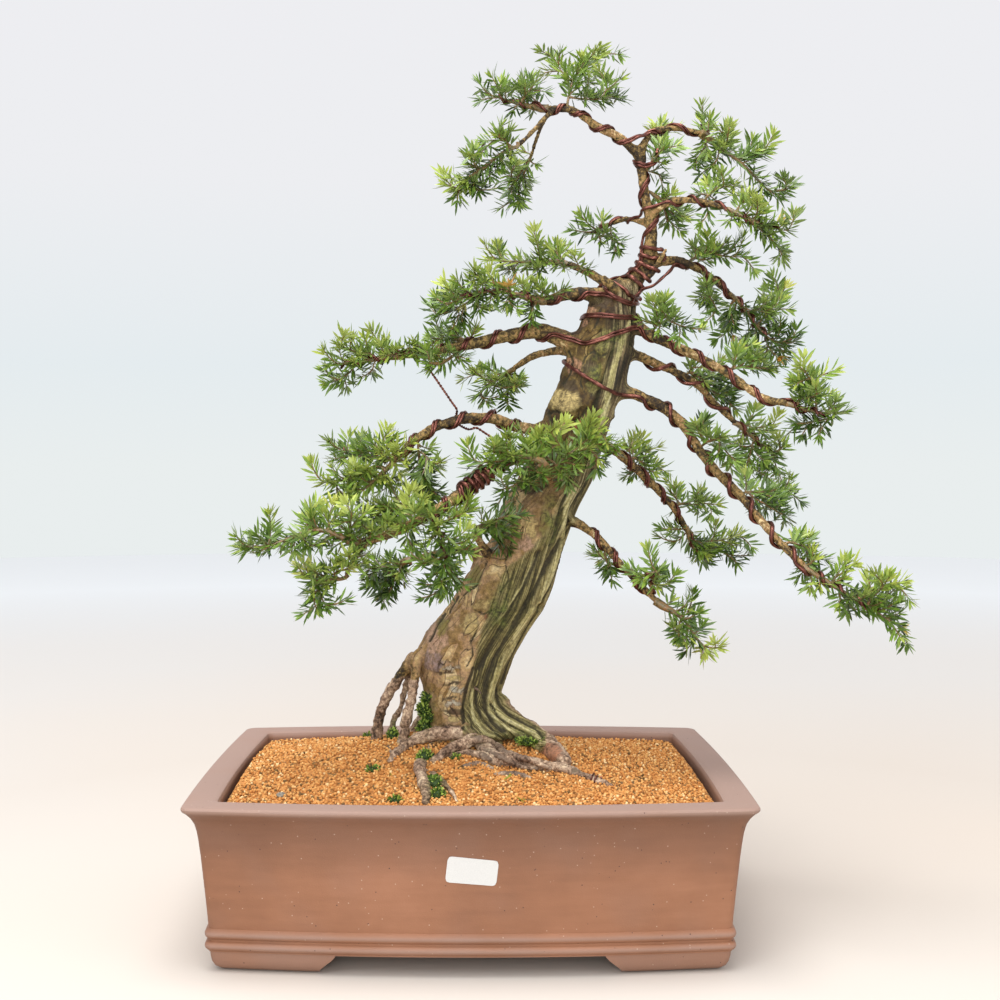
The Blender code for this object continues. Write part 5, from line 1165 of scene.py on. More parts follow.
bark = on_trunk * (1 - dead)
around = np.radians(angle) * (half_x + half_y) / 2
lie = np.stack([around / PLATE[0], height / PLATE[1], flat], axis=1)
lie[:, 0] += 0.5 * noise_at(table, 42, 11)
lie[:, 1] += 0.3 * noise_at(table, 42, 12)
peel = 8 + 2.0 * noise_at(lie, 1, 13) + 0.8 * noise_at(lie, 2.6, 14)
part = peel % 1
layers = peel - part + smooth_steps(0, 0.25, part) - 8
plates = bark * (PLATE_STEP * layers + 0.8 * slow + 0.7 * fine)
folds = np.sin(height / (1.9 * MM) + 5 * slow + fine)
wrinkles = bark * WRINKLE * folds * smooth_steps(0.33, 0.22, height)
plain = 1 - on_trunk
rooty = near_soil * (1.1 - 2.6 * np.abs(noise_at(table * [1, 1, 2], 62, 15)) + 0.6 * fine)
slim = -0.5 * (1 - near_soil)
knobbly = plain * (slim + 0.6 * fine + 0.3 * finest + 0.7 * noise_at(table, 45, 9))
knobbly += ROOT_RELIEF * rooty
marked = np.zeros(len(table))
for middle, level, wide, tall, push in MARKS:
    away = ((column - middle) / wide) ** 2 + ((row - level) / tall) ** 2 + 0.5 * fine + 0.4 * finest
    marked += push * np.exp(-(np.maximum(away, 0) ** 2)) * in_front
lift = carved + plates + wrinkles + knobbly + marked + ridge_push + groove_push + 0.1 * finest
lift = np.clip(lift, DEEPEST, HIGHEST)
table += normals * (lift * MM)[:, None]
move_points(wood.data, table)
print("carved from", round(float(lift.min()), 1), "to", round(float(lift.max()), 1), "mm")

# %% What the finish has to know
# Painted shade in the deadwood's grooves and sunken marks, darker where deeper, plus the rotted strip's own
# olive tint.
hollow = dead * (0.45 * (1 - narrow_ridge) + 0.35 * np.clip(-2 * broad_ridge, 0, 1))
hollow += 0.62 * rotten * (0.8 + 0.5 * drift) + 0.13 * np.clip(-marked, 0, 6)
# Where moss and algae tint the wood: column, row, half width, half height
MOSSY = [
    (427, 710, 9, 22), (393, 724, 5, 6), (368, 725, 5, 5), (426, 755, 7, 8), (435, 788, 11, 13),
    (612, 338, 14, 14), (550, 520, 10, 24), (500, 610, 12, 24), (515, 735, 18, 5), (596, 370, 8, 16),
]
moss = np.zeros(len(table))
for middle, level, wide, tall in MOSSY:
    moss += np.exp(-(((column - middle) / wide) ** 2) - ((row - level) / tall) ** 2)
moss = np.clip(moss * (0.55 + 0.9 * fine) + 0.16 * slow, 0, 1)
patch_tone, patch = np.zeros((len(table), 3)), np.zeros(len(table))
torn_column = column + 4 * noise_at(table, 150, 41) + 2 * finest
torn_row = row + 3.5 * noise_at(table, 110, 42) + 1.5 * noise_at(table, 280, 43)
for tone, middle, level, wide, tall in PATCHES:
    away = np.hypot((torn_column - middle) / wide, (torn_row - level) / tall) + 0.2 * fine
    share = (1 - smooth_steps(0.75, 1.05, away)) * in_front
    patch_tone += (np.array(paint(TONES[tone])[:3]) - patch_tone) * share[:, None]
    patch = np.maximum(patch, share)
patch *= 1 - dead * (row < 740)
grain = np.stack([around + 0.9 * MM * drift, height, table[:, 1] * 0.2], axis=1)
for name, values in (
    ("dead", dead), ("hollow", np.clip(hollow, 0, 1)), ("moss", moss), ("peel", peel),
    ("branch", plain * (1 - near_soil) * (1 - dead)), ("root", near_soil * (1 - dead)), ("grain", grain),
    ("ridge", ridge_gap), ("groove", groove_gap), ("patch", patch), ("patch_tone", patch_tone),
    ("low", smooth_steps(0.5, 0.36, height)), ("bark", bark),
):
    set_attribute(wood.data, name, values)
print("attributes:", len(wood.data.attributes))

# %% [markdown]
# ### Yew bark and deadwood
# Yew bark is thin and scaly. It flakes off in red-brown, purple and olive-tan plates with dark edges,
# and green algae grow where it stays wet. Deadwood is bare heartwood and sapwood, bleached to cream on
# its ridges, with fine fibres all along it. Its grooves and sunken marks get painted shade, olive to near
# black, and its rotted strip the olive of rot. Branches have a smoother, ochre bark. One material reads
# the attributes made above to say which is where.

# %% Yew bark and deadwood
YEW_WOOD, tree, shader, place = new_finish("yew_bark_and_weathered_deadwood", Roughness=0.78, IOR=1.45)
FACTS = ("dead", "hollow", "moss", "peel", "branch", "root", "ridge", "groove", "patch", "low", "bark")
fact = {name: add(tree, "Attribute", {}, attribute_name=name).outputs["Fac"] for name in FACTS}
grain = add(tree, "Attribute", {}, attribute_name="grain").outputs["Vector"]
patch_tone = add(tree, "Attribute", {}, attribute_name="patch_tone").outputs["Vector"]
along = add(tree, "Mapping", {"Vector": grain, "Scale": (800, 22, 200)})
fibres = add(tree, "TexNoise", {"Vector": along, "Scale": 1.0, "Detail": 3, "Roughness": 0.6})
broad_along = add(tree, "Mapping", {"Vector": grain, "Scale": (270, 10, 60)})
bands = add(tree, "TexNoise", {"Vector": broad_along, "Scale": 1.0, "Detail": 3})
blotch = add(tree, "TexNoise", {"Vector": place, "Scale": 42.0, "Detail": 6, "Roughness": 0.65})
speckle = add(tree, "TexNoise", {"Vector": place, "Scale": 300.0, "Detail": 5, "Roughness": 0.7})

# Bark peels in layers: every whole number of "peel" is the torn edge of one of them
layer_number = add(tree, "Math", {0: fact["peel"]}, operation="FLOOR")
layer_part = add(tree, "Math", {0: fact["peel"]}, operation="FRACT")
layer_tone = add(tree, "TexWhiteNoise", {"W": layer_number}, noise_dimensions="1D").outputs["Value"]
tone_mix = add(tree, "Mix", {0: 0.7, 2: layer_tone, 3: blotch})
HIGH_BARK = [(0.34, "120A02"), (0.44, "271907"), (0.5, "3C290E"), (0.56, "554119"), (0.66, "8C7545")]
high_bark = add(tree, "ValToRGB", {"Fac": tone_mix}, stops=HIGH_BARK)
LOW_BARK = [
    (0.34, "2A1E0C"), (0.42, "604823"), (0.5, "866A40"), (0.55, "957859"), (0.6, "A58A5C"),
    (0.68, "C4AE84"),
]
low_bark = add(tree, "ValToRGB", {"Fac": tone_mix}, stops=LOW_BARK)
bark_tint = add(tree, "Mix", {0: fact["low"], 6: high_bark, 7: low_bark}, data_type="RGBA")
torn = add(tree, "MapRange", {"Value": blotch, "From Min": 0.42, "From Max": 0.54})
AT_EDGE = {"From Min": 0.03, "From Max": 0.11, "To Min": 1.0, "To Max": 0.0}
torn_line = add(tree, "MapRange", {"Value": layer_part, **AT_EDGE})
torn_bark = add(tree, "Math", {0: torn, 1: fact["bark"]}, operation="MULTIPLY")
torn_edge = add(tree, "Math", {0: torn_line, 1: torn_bark}, operation="MULTIPLY")
both_bands = add(tree, "Mix", {0: 0.5, 2: bands, 3: fibres})
HIGH_DEAD = [(0.4, "1C130B"), (0.46, "453524"), (0.52, "6C5C40"), (0.6, "9C8C6A")]
high_tint = add(tree, "ValToRGB", {"Fac": both_bands}, stops=HIGH_DEAD)
LOW_DEAD = [(0.37, "332E14"), (0.44, "595028"), (0.52, "80744A"), (0.63, "AEA475")]
low_tint = add(tree, "ValToRGB", {"Fac": both_bands}, stops=LOW_DEAD)
ROT_TONES = [(0.4, "26210F"), (0.51, "544C27"), (0.62, "958B57")]
hollow_tint = add(tree, "ValToRGB", {"Fac": fibres}, stops=ROT_TONES)
dead_tint = add(tree, "Mix", {0: fact["low"], 6: high_tint, 7: low_tint}, data_type="RGBA")
branch_mix = add(tree, "Mix", {0: 0.42, 2: blotch, 3: speckle})
BRANCH_TONES = [
    (0.41, "221505"), (0.46, "403015"), (0.5, "634E29"), (0.535, "877141"), (0.565, "7F5736"),
    (0.61, "B5A175"),
]
branch_tint = add(tree, "ValToRGB", {"Fac": branch_mix}, stops=BRANCH_TONES)
ROOT_TONES = [(0.38, "2C1E14"), (0.44, "644B39"), (0.5, "8E745E"), (0.56, "AB927A"), (0.64, "C6B596")]
root_tint = add(tree, "ValToRGB", {"Fac": branch_mix}, stops=ROOT_TONES)
crest = add(tree, "ValToRGB", {"Fac": fibres}, stops=[(0.35, "7F7644"), (0.5, "A89F6C"), (0.65, "BFB68A")])
green = add(tree, "ValToRGB", {"Fac": speckle}, stops=[(0.4, "333D17"), (0.6, "5F6B2B")])

# Painted shade in the recesses and the rot's own tint, both in the olive rot tones.
shade_and_rot_share = add(tree, "Math", {0: fact["hollow"], 1: 0.9}, operation="MULTIPLY")
NEAR_RIDGE = {"From Min": 0.55, "From Max": 1.15, "To Min": 0.9, "To Max": 0.0}
on_ridge = add(tree, "MapRange", {"Value": fact["ridge"], **NEAR_RIDGE})
# Painted shade along the sunken grooves listed above, near black at their middles.
NEAR_GROOVE = {"From Min": 0.5, "From Max": 1.2, "To Min": 0.92, "To Max": 0.0}
painted_groove_shade = add(tree, "MapRange", {"Value": fact["groove"], **NEAR_GROOVE})
moss_share = add(tree, "Math", {0: fact["moss"], 1: 0.75}, operation="MULTIPLY")
worn_patch = add(tree, "MapRange", {"Value": branch_mix, "From Min": 0.38, "From Max": 0.58, "To Max": 0.85})
patch_share = add(tree, "Math", {0: fact["patch"], 1: worn_patch}, operation="MULTIPLY")
coat = bark_tint
for over, share in (
    (patch_tone, patch_share), (dead_tint, fact["dead"]), (branch_tint, fact["branch"]),
    (root_tint, fact["root"]), (patch_tone, patch_share), (hollow_tint, shade_and_rot_share),
    (crest, on_ridge), (paint("2A2412"), painted_groove_shade), (paint("3A2A1A"), torn_edge), (green, moss_share),
):
    coat = add(tree, "Mix", {0: share, 6: coat, 7: over}, data_type="RGBA")
grime = add(tree, "ValToRGB", {"Fac": speckle}, stops=[(0.36, "303030"), (0.5, "BCBCBC"), (0.62, "F4F4F4")])
mottled = add(tree, "Mix", {0: 0.4, 6: coat, 7: grime}, data_type="RGBA", blend_type="OVERLAY")
fibre_height = add(tree, "Math", {0: fibres, 1: fact["dead"]}, operation="MULTIPLY")
rough = add(tree, "Math", {0: fibre_height, 1: speckle}, operation="ADD")
relief = add(tree, "Math", {0: rough, 1: torn_edge}, operation="SUBTRACT")
bump = add(tree, "Bump", {"Height": relief, "Strength": 0.7, "Distance": 0.0014})
feed(tree, shader, Base_Color=mottled, Normal=bump)
finish_piece(wood, "wood_grown", YEW_WOOD, ["wood"], angle=80)

# %% [markdown]
# ## Training wires
# Anodised aluminium wire is wound round trunk and branches to hold them in their bends. It is soft
# enough to lie close to the bark at every turn. The frame's wires are coarse, and the new skin of the
# wood has moved a little under them, so each wire is drawn again along its own middle line and settled
# on the new skin. Then it gets a truly round section.

# %% Settled wires
WIRE_STEP = 2.4 * MM
PULL_REACH = 3.5 * MM
SETTLE_TURNS = 4
WIRE_RING_GAP = 3.3 * MM
COIL_PITCH = 21 * MM
COIL_SHARE = 0.86
COIL_NEAR = 30 * MM
PAIR_RADIUS = 1.4 * MM
THICK_SHARE = 1.28
PAIRED = ("wire_crown", "wire_leader", "wire_neck", "wire_upper", "wire_lower", "wire_base")
skin_tree = frame_tree("wood_grown")


def cross_ways(route):
    """Two directions square to a line at each of its points."""
    ways = line_facts(route)[1]
    side = np.cross(ways, [0.0, 1.0, 0.0])
    side /= np.linalg.norm(side, axis=1, keepdims=True)
    return side, np.cross(ways, side)


def soften(route):
    """Draws each inner point of a line halfway to its neighbours' middle."""
    route[1:-1] = route[1:-1] * 0.5 + (route[:-2] + route[2:]) * 0.25


def settle(route, radius, pull):
    """Lays a wire's middle line on the wood: out of it where it sinks in, closer where it stands off."""
    for turn in range(SETTLE_TURNS):
        for k, point in enumerate(route):
            gap, place, normal = outside(skin_tree, Vector(point))
            normal = (Vector(point) - place).normalized() * (1 if gap > 0 else -1)
            if gap < radius:
                route[k] = place + normal * radius * 1.02
            elif pull and gap < radius + PULL_REACH:
                route[k] = Vector(point) - normal * (gap - radius) * 0.7
        if turn < SETTLE_TURNS - 1:
            soften(route)
    return route


def middle_line(name):
    """The ring middles of a wire in order from one end to the other, and its radius."""
    centres, radii, links, _ = read_rings(name, WIRE_RING_GAP, WIRE_RING_GAP)
    ends = [n for n, link in enumerate(links) if len(link) == 1]
    path = max(follow_rings(centres, links, ends[0]), key=len)
    return [centres[n] for n in path], float(np.median(radii))


def main_stem(key):
    """The smooth middle line and the radii of a leafy stem's main stem, from the wood outwards."""
    centres, radii, links, _ = read_rings("spray_" + key, RING_GAP, THICK_RING_GAP)
    root = min(range(len(centres)), key=lambda n: outside(wood_tree, centres[n])[0])
    path = follow_rings(centres, links, root)[0]
    route, places = smooth_line([centres[n] for n in path], WIRE_STEP)
    return route, np.interp(places, np.arange(len(path)), [radii[n] for n in path])


def coil(key, radius, from_point):
    """A wire's further turns round a leafy stem, that set out on the side where the wire comes from."""
    route, width = main_stem(key)
    runs = line_facts(route)[0]
    keep = runs < COIL_SHARE * runs[-1]
    side, other = cross_ways(route)
    toward = from_point - route[0]
    start = math.atan2(np.dot(toward, other[0]), np.dot(toward, side[0]))
    turn = (start + runs / COIL_PITCH * 2 * math.pi)[:, None]
    gap = (width * 0.9 + radius)[:, None]
    return (route + (side * np.cos(turn) + other * np.sin(turn)) * gap)[keep]


# %% [markdown]
# ### Copper brown anodising
# Anodising leaves a hard, clear, dyed skin on the bare metal, so the wire is a tinted mirror, blurred a
# little. It is thin enough to show drawing marks along the wire and dull spots where it was handled.

# %% Copper brown anodised aluminium
ANODISED, tree, shader, place = new_finish("copper_brown_anodised_aluminium", Metallic=0.75, Roughness=0.3)
cloud = add(tree, "TexNoise", {"Vector": place, "Scale": 120.0, "Detail": 4})
tint = add(tree, "ValToRGB", {"Fac": cloud}, stops=[(0.3, "45251E"), (0.55, "643A30"), (0.75, "865648")])
dull = add(tree, "MapRange", {"Value": cloud, "To Min": 0.22, "To Max": 0.4})
feed(tree, shader, Base_Color=tint, Roughness=dull)

# %% All wires
TIE_TWIST = 7 * MM
TIE_STRAND = 0.75 * MM
AXIS_STEP = 0.3 * MM
TURN_REACH = 21 * MM
TURN_LEAST = 3 * MM
# Close turns seen in the photograph: wire, places along the wood, turns, radius in mm
CLOSE_TURNS = [
    ("wire_leader", [(656, 247), (650, 262), (640, 275), (628, 286)], 5, 2.2),
    ("wire_crown", [(622, 290), (616, 301)], 2, 2.2),
    ("wire_base", [(488, 473), (474, 483), (460, 490)], 5, 2.5),
    ("wire_base", [(593, 777), (600, 780)], 2, 0.9),
]


def twisted_pair(route):
    """Two thin strands twisted round each other along a line."""
    side, other = cross_ways(route)
    turn = (line_facts(route)[0] / TIE_TWIST * 2 * math.pi)[:, None]
    twist = (side * np.cos(turn) + other * np.sin(turn)) * TIE_STRAND
    return [route + twist, route - twist]


def side_by_side(route):
    """Two strands that lie next to each other on the wood along a line."""
    ways = line_facts(route)[1]
    out = np.array([tuple(Vector(point) - outside(skin_tree, Vector(point))[1]) for point in route])
    side = np.cross(ways, out)
    side /= np.maximum(np.linalg.norm(side, axis=1, keepdims=True), 1e-9)
    for _ in range(3):
        side[1:-1] = (side[:-2] + side[1:-1] * 2 + side[2:]) / 4
    side /= np.linalg.norm(side, axis=1, keepdims=True)
    return [settle(route + side * sign * PAIR_RADIUS, PAIR_RADIUS, False) for sign in (-1.0, 1.0)]


def seen_middle(column, row):
    """The middle of the wood that is seen at a place in the photograph."""
    way = (sight(column, row, 0) - EYE).normalized()
    front = skin_tree.ray_cast(EYE, way)[0]
    back = skin_tree.ray_cast(front + way * MM, way)[0]
    return (front + back) / 2


def close_turns(spots, count, radius):
    """Close turns of wire round the wood, along a few places seen in the photograph."""
    axis = smooth_line([seen_middle(*spot) for spot in spots], AXIS_STEP)[0]
    side, other = cross_ways(axis)
    runs = line_facts(axis)[0]
    turn = (runs / runs[-1] * count * 2 * math.pi)[:, None]
    route = []
    for point, out in zip(axis, side * np.cos(turn) + other * np.sin(turn)):
        hit = skin_tree.ray_cast(Vector(point + out * TURN_REACH), Vector(-out), TURN_REACH)[0]
        gap = (hit - Vector(point)).length if hit else TURN_LEAST
        route.append(point + out * (max(gap, TURN_LEAST) + radius))
    route = np.array(route)
    for _ in range(4):
        soften(route)
    return smooth_line(settle(route, radius, False)[::2], WIRE_STEP / 2)[0]


def with_coils(name, route, radius):
    """A wire's line with turns added round the leafy stem next to each of its ends."""
    added = []
    for end in (-1, 0):
        key = min(STEM_ROOTS, key=lambda key: np.linalg.norm(STEM_ROOTS[key] - route[end]))
        if np.linalg.norm(STEM_ROOTS[key] - route[end]) < COIL_NEAR:
            turns = coil(key, radius, route[end])
            route = np.vstack([route, turns] if end else [turns[::-1], route])
            added.append(key)
    print(name, "goes on round", ", ".join(added) or "no stem")
    return smooth_line(route[::2], WIRE_STEP)[0]


wire_names = sorted(name for name in frame["nodes"] if name.startswith("wire_"))
stem_keys = sorted(name.removeprefix("spray_") for name in frame["nodes"] if name.startswith("spray_"))
STEM_ROOTS = {key: main_stem(key)[0][0] for key in stem_keys}
for name in wire_names:
    points, radius = middle_line(name)
    if name == "wire_tie":
        route = smooth_line(settle(smooth_line(points, WIRE_STEP)[0], radius, False), WIRE_STEP)[0]
        strands, radius = twisted_pair(route), TIE_STRAND
    else:
        route = with_coils(name, settle(smooth_line(points, WIRE_STEP)[0], radius, True), radius)
        if name in PAIRED:
            strands, radius = side_by_side(settle(route, PAIR_RADIUS, False)), PAIR_RADIUS
        else:
            radius *= THICK_SHARE
            strands = [settle(route, radius, False)]
    sizes = [np.full(len(strand), radius) for strand in strands]
    for carrier, spots, count, thick in CLOSE_TURNS:
        if carrier == name:
            strands.append(close_turns(spots, count, thick * MM))
            sizes.append(np.full(len(strands[-1]), thick * MM))
    finish_piece(tube_piece("wire", strands, sizes, 1), name + "_round", ANODISED, [name], 60)

# %% [markdown]
# ## Leafy stems
# A yew's needles are flat, pointed blades about 15 to 20 mm long and 2 mm wide, dark green above and
# paler below. They stand in a spiral round each shoot but turn to lie on its two sides, so a shoot
# looks like a feather from above and like a star at its tip. Hair could draw them, but it doesn't
# export, so one needle is modelled by hand and thousands of copies are set along the shoots. The main
# stems follow the frame's, twigs reach to the tips seen in the photograph, side shoots fill what is
# between them, and a few old branches break out in short shoots of their own.

# %% One needle
NEEDLE_LENGTH = 16 * MM
NEEDLE_WIDTH = 2.5 * MM
NEEDLE_THICKNESS = 0.6 * MM
NEEDLE_BOW = 1.6

bpy.ops.object.select_all(action="DESELECT")
bpy.ops.mesh.primitive_cone_add(vertices=3, radius1=0.45, radius2=0.5, depth=0.42, end_fill_type="TRIFAN")
needle = bpy.context.object
bpy.ops.object.mode_set(mode="EDIT")
work = bmesh.from_edit_mesh(needle.data)
for vertex in work.verts:
    across, down, along = vertex.co
    at_end = math.hypot(across, down) < 0.1
    vertex.co = ((along > 0) if at_end else along + 0.45, across, -down)
bmesh.update_edit_mesh(needle.data)
bpy.ops.mesh.select_all(action="SELECT")
bpy.ops.mesh.quads_convert_to_tris()
face_outwards()
BLADE = points_of(needle.data)
BLADE_FACES = [tuple(face.vertices) for face in needle.data.polygons]
BLADE_UNDER = np.where(BLADE[:, 2] < -0.3, 1.0, 0.0)
BLADE_ALONG = BLADE[:, 0].copy()
BLADE[:, 1] /= np.ptp(BLADE[:, 1])
BLADE[:, 2] += NEEDLE_BOW * BLADE[:, 0] ** 2
bpy.data.objects.remove(needle)
print("needle:", len(BLADE), "points,", len(BLADE_FACES), "faces")

# %% Where the twigs end, as seen in the photograph
TWIG_TIPS = {
    "crown_top": [(548, 50), (560, 67), (595, 34), (608, 50), (624, 96), (610, 74), (603, 92), (588, 94)],
    "crown_left": [(473, 90), (474, 104), (483, 82), (501, 78), (519, 78), (543, 70), (528, 92)],
    "crown_low": [
        (438, 182), (446, 199), (448, 163), (465, 201), (480, 197), (475, 141), (464, 154), (488, 128),
    ],
    "crown_hang": [(507, 212), (499, 173), (538, 167), (519, 149), (498, 198)],
    "right_1": [
        (700, 114), (712, 113), (723, 111), (732, 118), (744, 128), (694, 166), (711, 172), (723, 178),
        (774, 148), (777, 163), (797, 187), (791, 205), (757, 150),
    ],
    "leader_right": [(664, 116), (676, 139), (673, 164), (668, 178)],
    "leader_back": [(655, 227), (684, 229), (680, 212)],
    "right_2_up": [(691, 189), (706, 181), (719, 180), (731, 178), (743, 182), (711, 216)],
    "right_2": [(750, 187), (757, 197), (768, 203), (783, 217), (797, 233), (787, 254), (742, 222)],
    "right_3_up": [(692, 241), (706, 236), (723, 239), (731, 251), (756, 258)],
    "right_3_low": [(695, 288), (699, 304), (707, 313), (713, 321), (722, 316)],
    "right_3": [
        (723, 334), (735, 341), (748, 350), (765, 364), (788, 364), (799, 355), (803, 341), (785, 325),
        (783, 313), (779, 277), (791, 280), (797, 289), (762, 293),
    ],
    "right_4_near": [(656, 303), (669, 289), (681, 305), (696, 318), (699, 331), (688, 340)],
    "right_4_up": [(721, 346), (735, 338), (748, 346), (761, 347), (777, 361), (762, 382)],
    "right_4": [
        (796, 361), (812, 363), (818, 374), (805, 388), (829, 387), (838, 396), (849, 394), (862, 403),
        (865, 411), (783, 425), (798, 425), (820, 430), (838, 428),
    ],
    "right_5_near": [(693, 363), (708, 365), (722, 384), (731, 393), (740, 409)],
    "right_5": [
        (766, 423), (778, 431), (788, 443), (788, 456), (780, 475), (765, 478), (743, 478), (730, 462),
        (733, 446),
    ],
    "right_6_near": [(691, 421), (705, 413), (725, 418), (736, 442), (731, 455), (743, 470), (693, 470)],
    "right_6_middle": [(799, 489), (797, 498), (795, 516), (770, 505), (766, 480), (781, 478)],
    "right_6_far": [(790, 529), (803, 532), (817, 560), (812, 576)],
    "right_6": [
        (820, 557), (838, 562), (852, 551), (860, 557), (875, 575), (897, 568), (911, 580), (903, 600),
        (913, 616), (910, 632), (893, 641), (847, 619), (871, 628),
    ],
    "right_7_up": [(624, 441), (642, 440), (655, 456), (663, 467), (630, 485)],
    "right_7_middle": [(674, 480), (691, 481), (718, 491), (728, 505), (706, 517)],
    "right_7": [
        (667, 528), (672, 546), (698, 561), (711, 570), (727, 531), (737, 524), (750, 531), (735, 557),
    ],
    "right_8_near": [(586, 552), (595, 566), (615, 573), (620, 556)],
    "right_8_up": [(649, 563), (662, 569), (675, 584), (670, 601), (628, 582)],
    "right_8": [
        (668, 628), (691, 611), (709, 620), (709, 635), (677, 645), (691, 655), (713, 639), (723, 658),
        (726, 649),
    ],
    "left_1": [(588, 219), (603, 212), (576, 231), (584, 243), (601, 246), (618, 257)],
    "left_2": [
        (422, 310), (426, 320), (428, 300), (438, 328), (447, 286), (453, 279), (468, 269), (486, 273),
        (502, 310), (520, 318), (480, 316), (461, 324),
    ],
    "left_2_back": [
        (478, 246), (494, 241), (503, 252), (524, 250), (545, 244), (560, 241), (536, 234), (512, 280),
        (535, 279),
    ],
    "left_3_up": [(442, 327), (430, 331), (456, 325), (476, 330), (424, 346)],
    "left_3_low": [(441, 379), (426, 373), (456, 377), (470, 366), (419, 364)],
    "left_3": [
        (316, 355), (315, 372), (319, 386), (332, 390), (346, 384), (330, 341), (352, 346), (375, 338),
        (394, 342), (371, 379), (390, 375),
    ],
    "left_3_back": [
        (463, 392), (470, 404), (490, 408), (508, 404), (518, 394), (472, 371), (484, 365), (530, 386),
    ],
    "left_4": [
        (342, 477), (328, 481), (313, 485), (314, 493), (336, 501), (350, 504), (402, 478), (392, 493),
        (364, 470),
    ],
    "left_4_up": [(326, 445), (336, 458), (347, 439), (363, 432), (379, 435), (392, 438), (352, 470)],
    "left_4_low": [(430, 514), (409, 471), (440, 471), (445, 490), (415, 494)],
    "left_5_up": [
        (392, 494), (372, 504), (382, 516), (420, 503), (352, 528), (368, 544), (388, 532), (404, 546),
        (414, 526),
    ],
    "left_5": [
        (320, 503), (337, 498), (353, 501), (302, 515), (284, 521), (271, 521), (251, 527), (227, 540),
        (229, 552), (251, 560), (307, 552), (328, 550),
    ],
    "left_5_low": [
        (294, 574), (298, 588), (307, 600), (319, 611), (330, 617), (339, 612), (346, 598), (315, 565),
        (334, 562),
    ],
    "left_5_right": [
        (480, 505), (468, 527), (481, 558), (462, 585), (440, 598), (423, 590), (414, 566), (424, 545),
        (436, 528), (446, 560),
    ],
    "left_6": [
        (372, 602), (381, 600), (393, 595), (365, 587), (374, 568), (406, 579), (354, 566), (392, 562),
    ],
    "front_stub": [(474, 519), (486, 511), (521, 512), (521, 535), (509, 541), (491, 539)],
    "front_left": [
        (466, 449), (483, 438), (508, 436), (457, 461), (478, 474), (501, 471), (494, 496), (519, 497),
        (530, 478),
    ],
    "front_right": [
        (519, 435), (545, 425), (569, 424), (590, 415), (608, 425), (610, 445), (604, 465), (575, 475),
        (570, 488), (542, 490),
    ],
}
# Places in the photograph with needles lighter or yellower than the rest: column, row, reach and tone
TINTED = [
    (713, 652, 16, 0.78), (780, 218, 6, 0.95), (735, 337, 5, 0.97), (778, 360, 5, 1.0),
    (470, 303, 6, 0.9), (506, 283, 5, 1.0), (325, 445, 5, 0.95), (788, 286, 8, 0.82),
    (374, 547, 6, 0.86), (335, 508, 5, 0.79), (307, 570, 5, 0.8), (466, 565, 14, 0.72),
    (905, 625, 5, 0.97), (602, 40, 14, 0.72), (455, 180, 14, 0.7),
]
print("twig tips:", sum(len(tips) for tips in TWIG_TIPS.values()))

# %% Growing needles along a shoot
GOLDEN_TURN = math.radians(137.5)
LIGHTEST_GREEN = 0.74
TIP_LIGHTER = 0.16
PARTING = 0.4
# How far needles lean from the shoot in degrees: at its foot, how much less at its tip, and in the star
LEAN, LEAN_LESS, STAR_LEAN = 64, 30, (12, 38)
STAR_LENGTHS = (0.6, 0.85)
SPACING = 1.4 * MM
STAR_NEEDLES = 6
TOO_NEAR_WOOD = 0.8 * MM
BOX_LOW, BOX_HIGH = (np.array(corner) for corner in CAD_BOX)
BOX_MARGIN = 1.4 * MM


def unit(row):
    """A direction made one long."""
    return row / max(np.linalg.norm(row), 1e-9)


def tone_near(point, tone):
    """A needle's tone, changed near the places that are lighter or yellower in the photograph."""
    column, row = seen_at(*point)
    for middle, level, reach, wanted in TINTED:
        if math.hypot(column - middle, row - level) < reach:
            return wanted - 0.3 * (0.5 - min(tone, 0.5))
    return min(tone, LIGHTEST_GREEN)


def needle_row(foot, way, face, length, tone):
    """One needle as a row: its 3 x 3 turn and size, its foot and its tone, or None if it has no room."""
    for share in (1, 0.75):
        tip = foot + way * length * share
        inside_box = np.all(tip > BOX_LOW + BOX_MARGIN) and np.all(tip < BOX_HIGH - BOX_MARGIN)
        if inside_box and outside(wood_tree, Vector(tip))[0] > TOO_NEAR_WOOD:
            side = unit(np.cross(face, way))
            up = np.cross(way, side)
            slim = 0.8 + 0.25 * length / NEEDLE_LENGTH
            turn = [way * length * share, side * NEEDLE_WIDTH * slim, up * NEEDLE_THICKNESS]
            return (*np.array(turn).T.ravel(), *foot, tone)
    return None


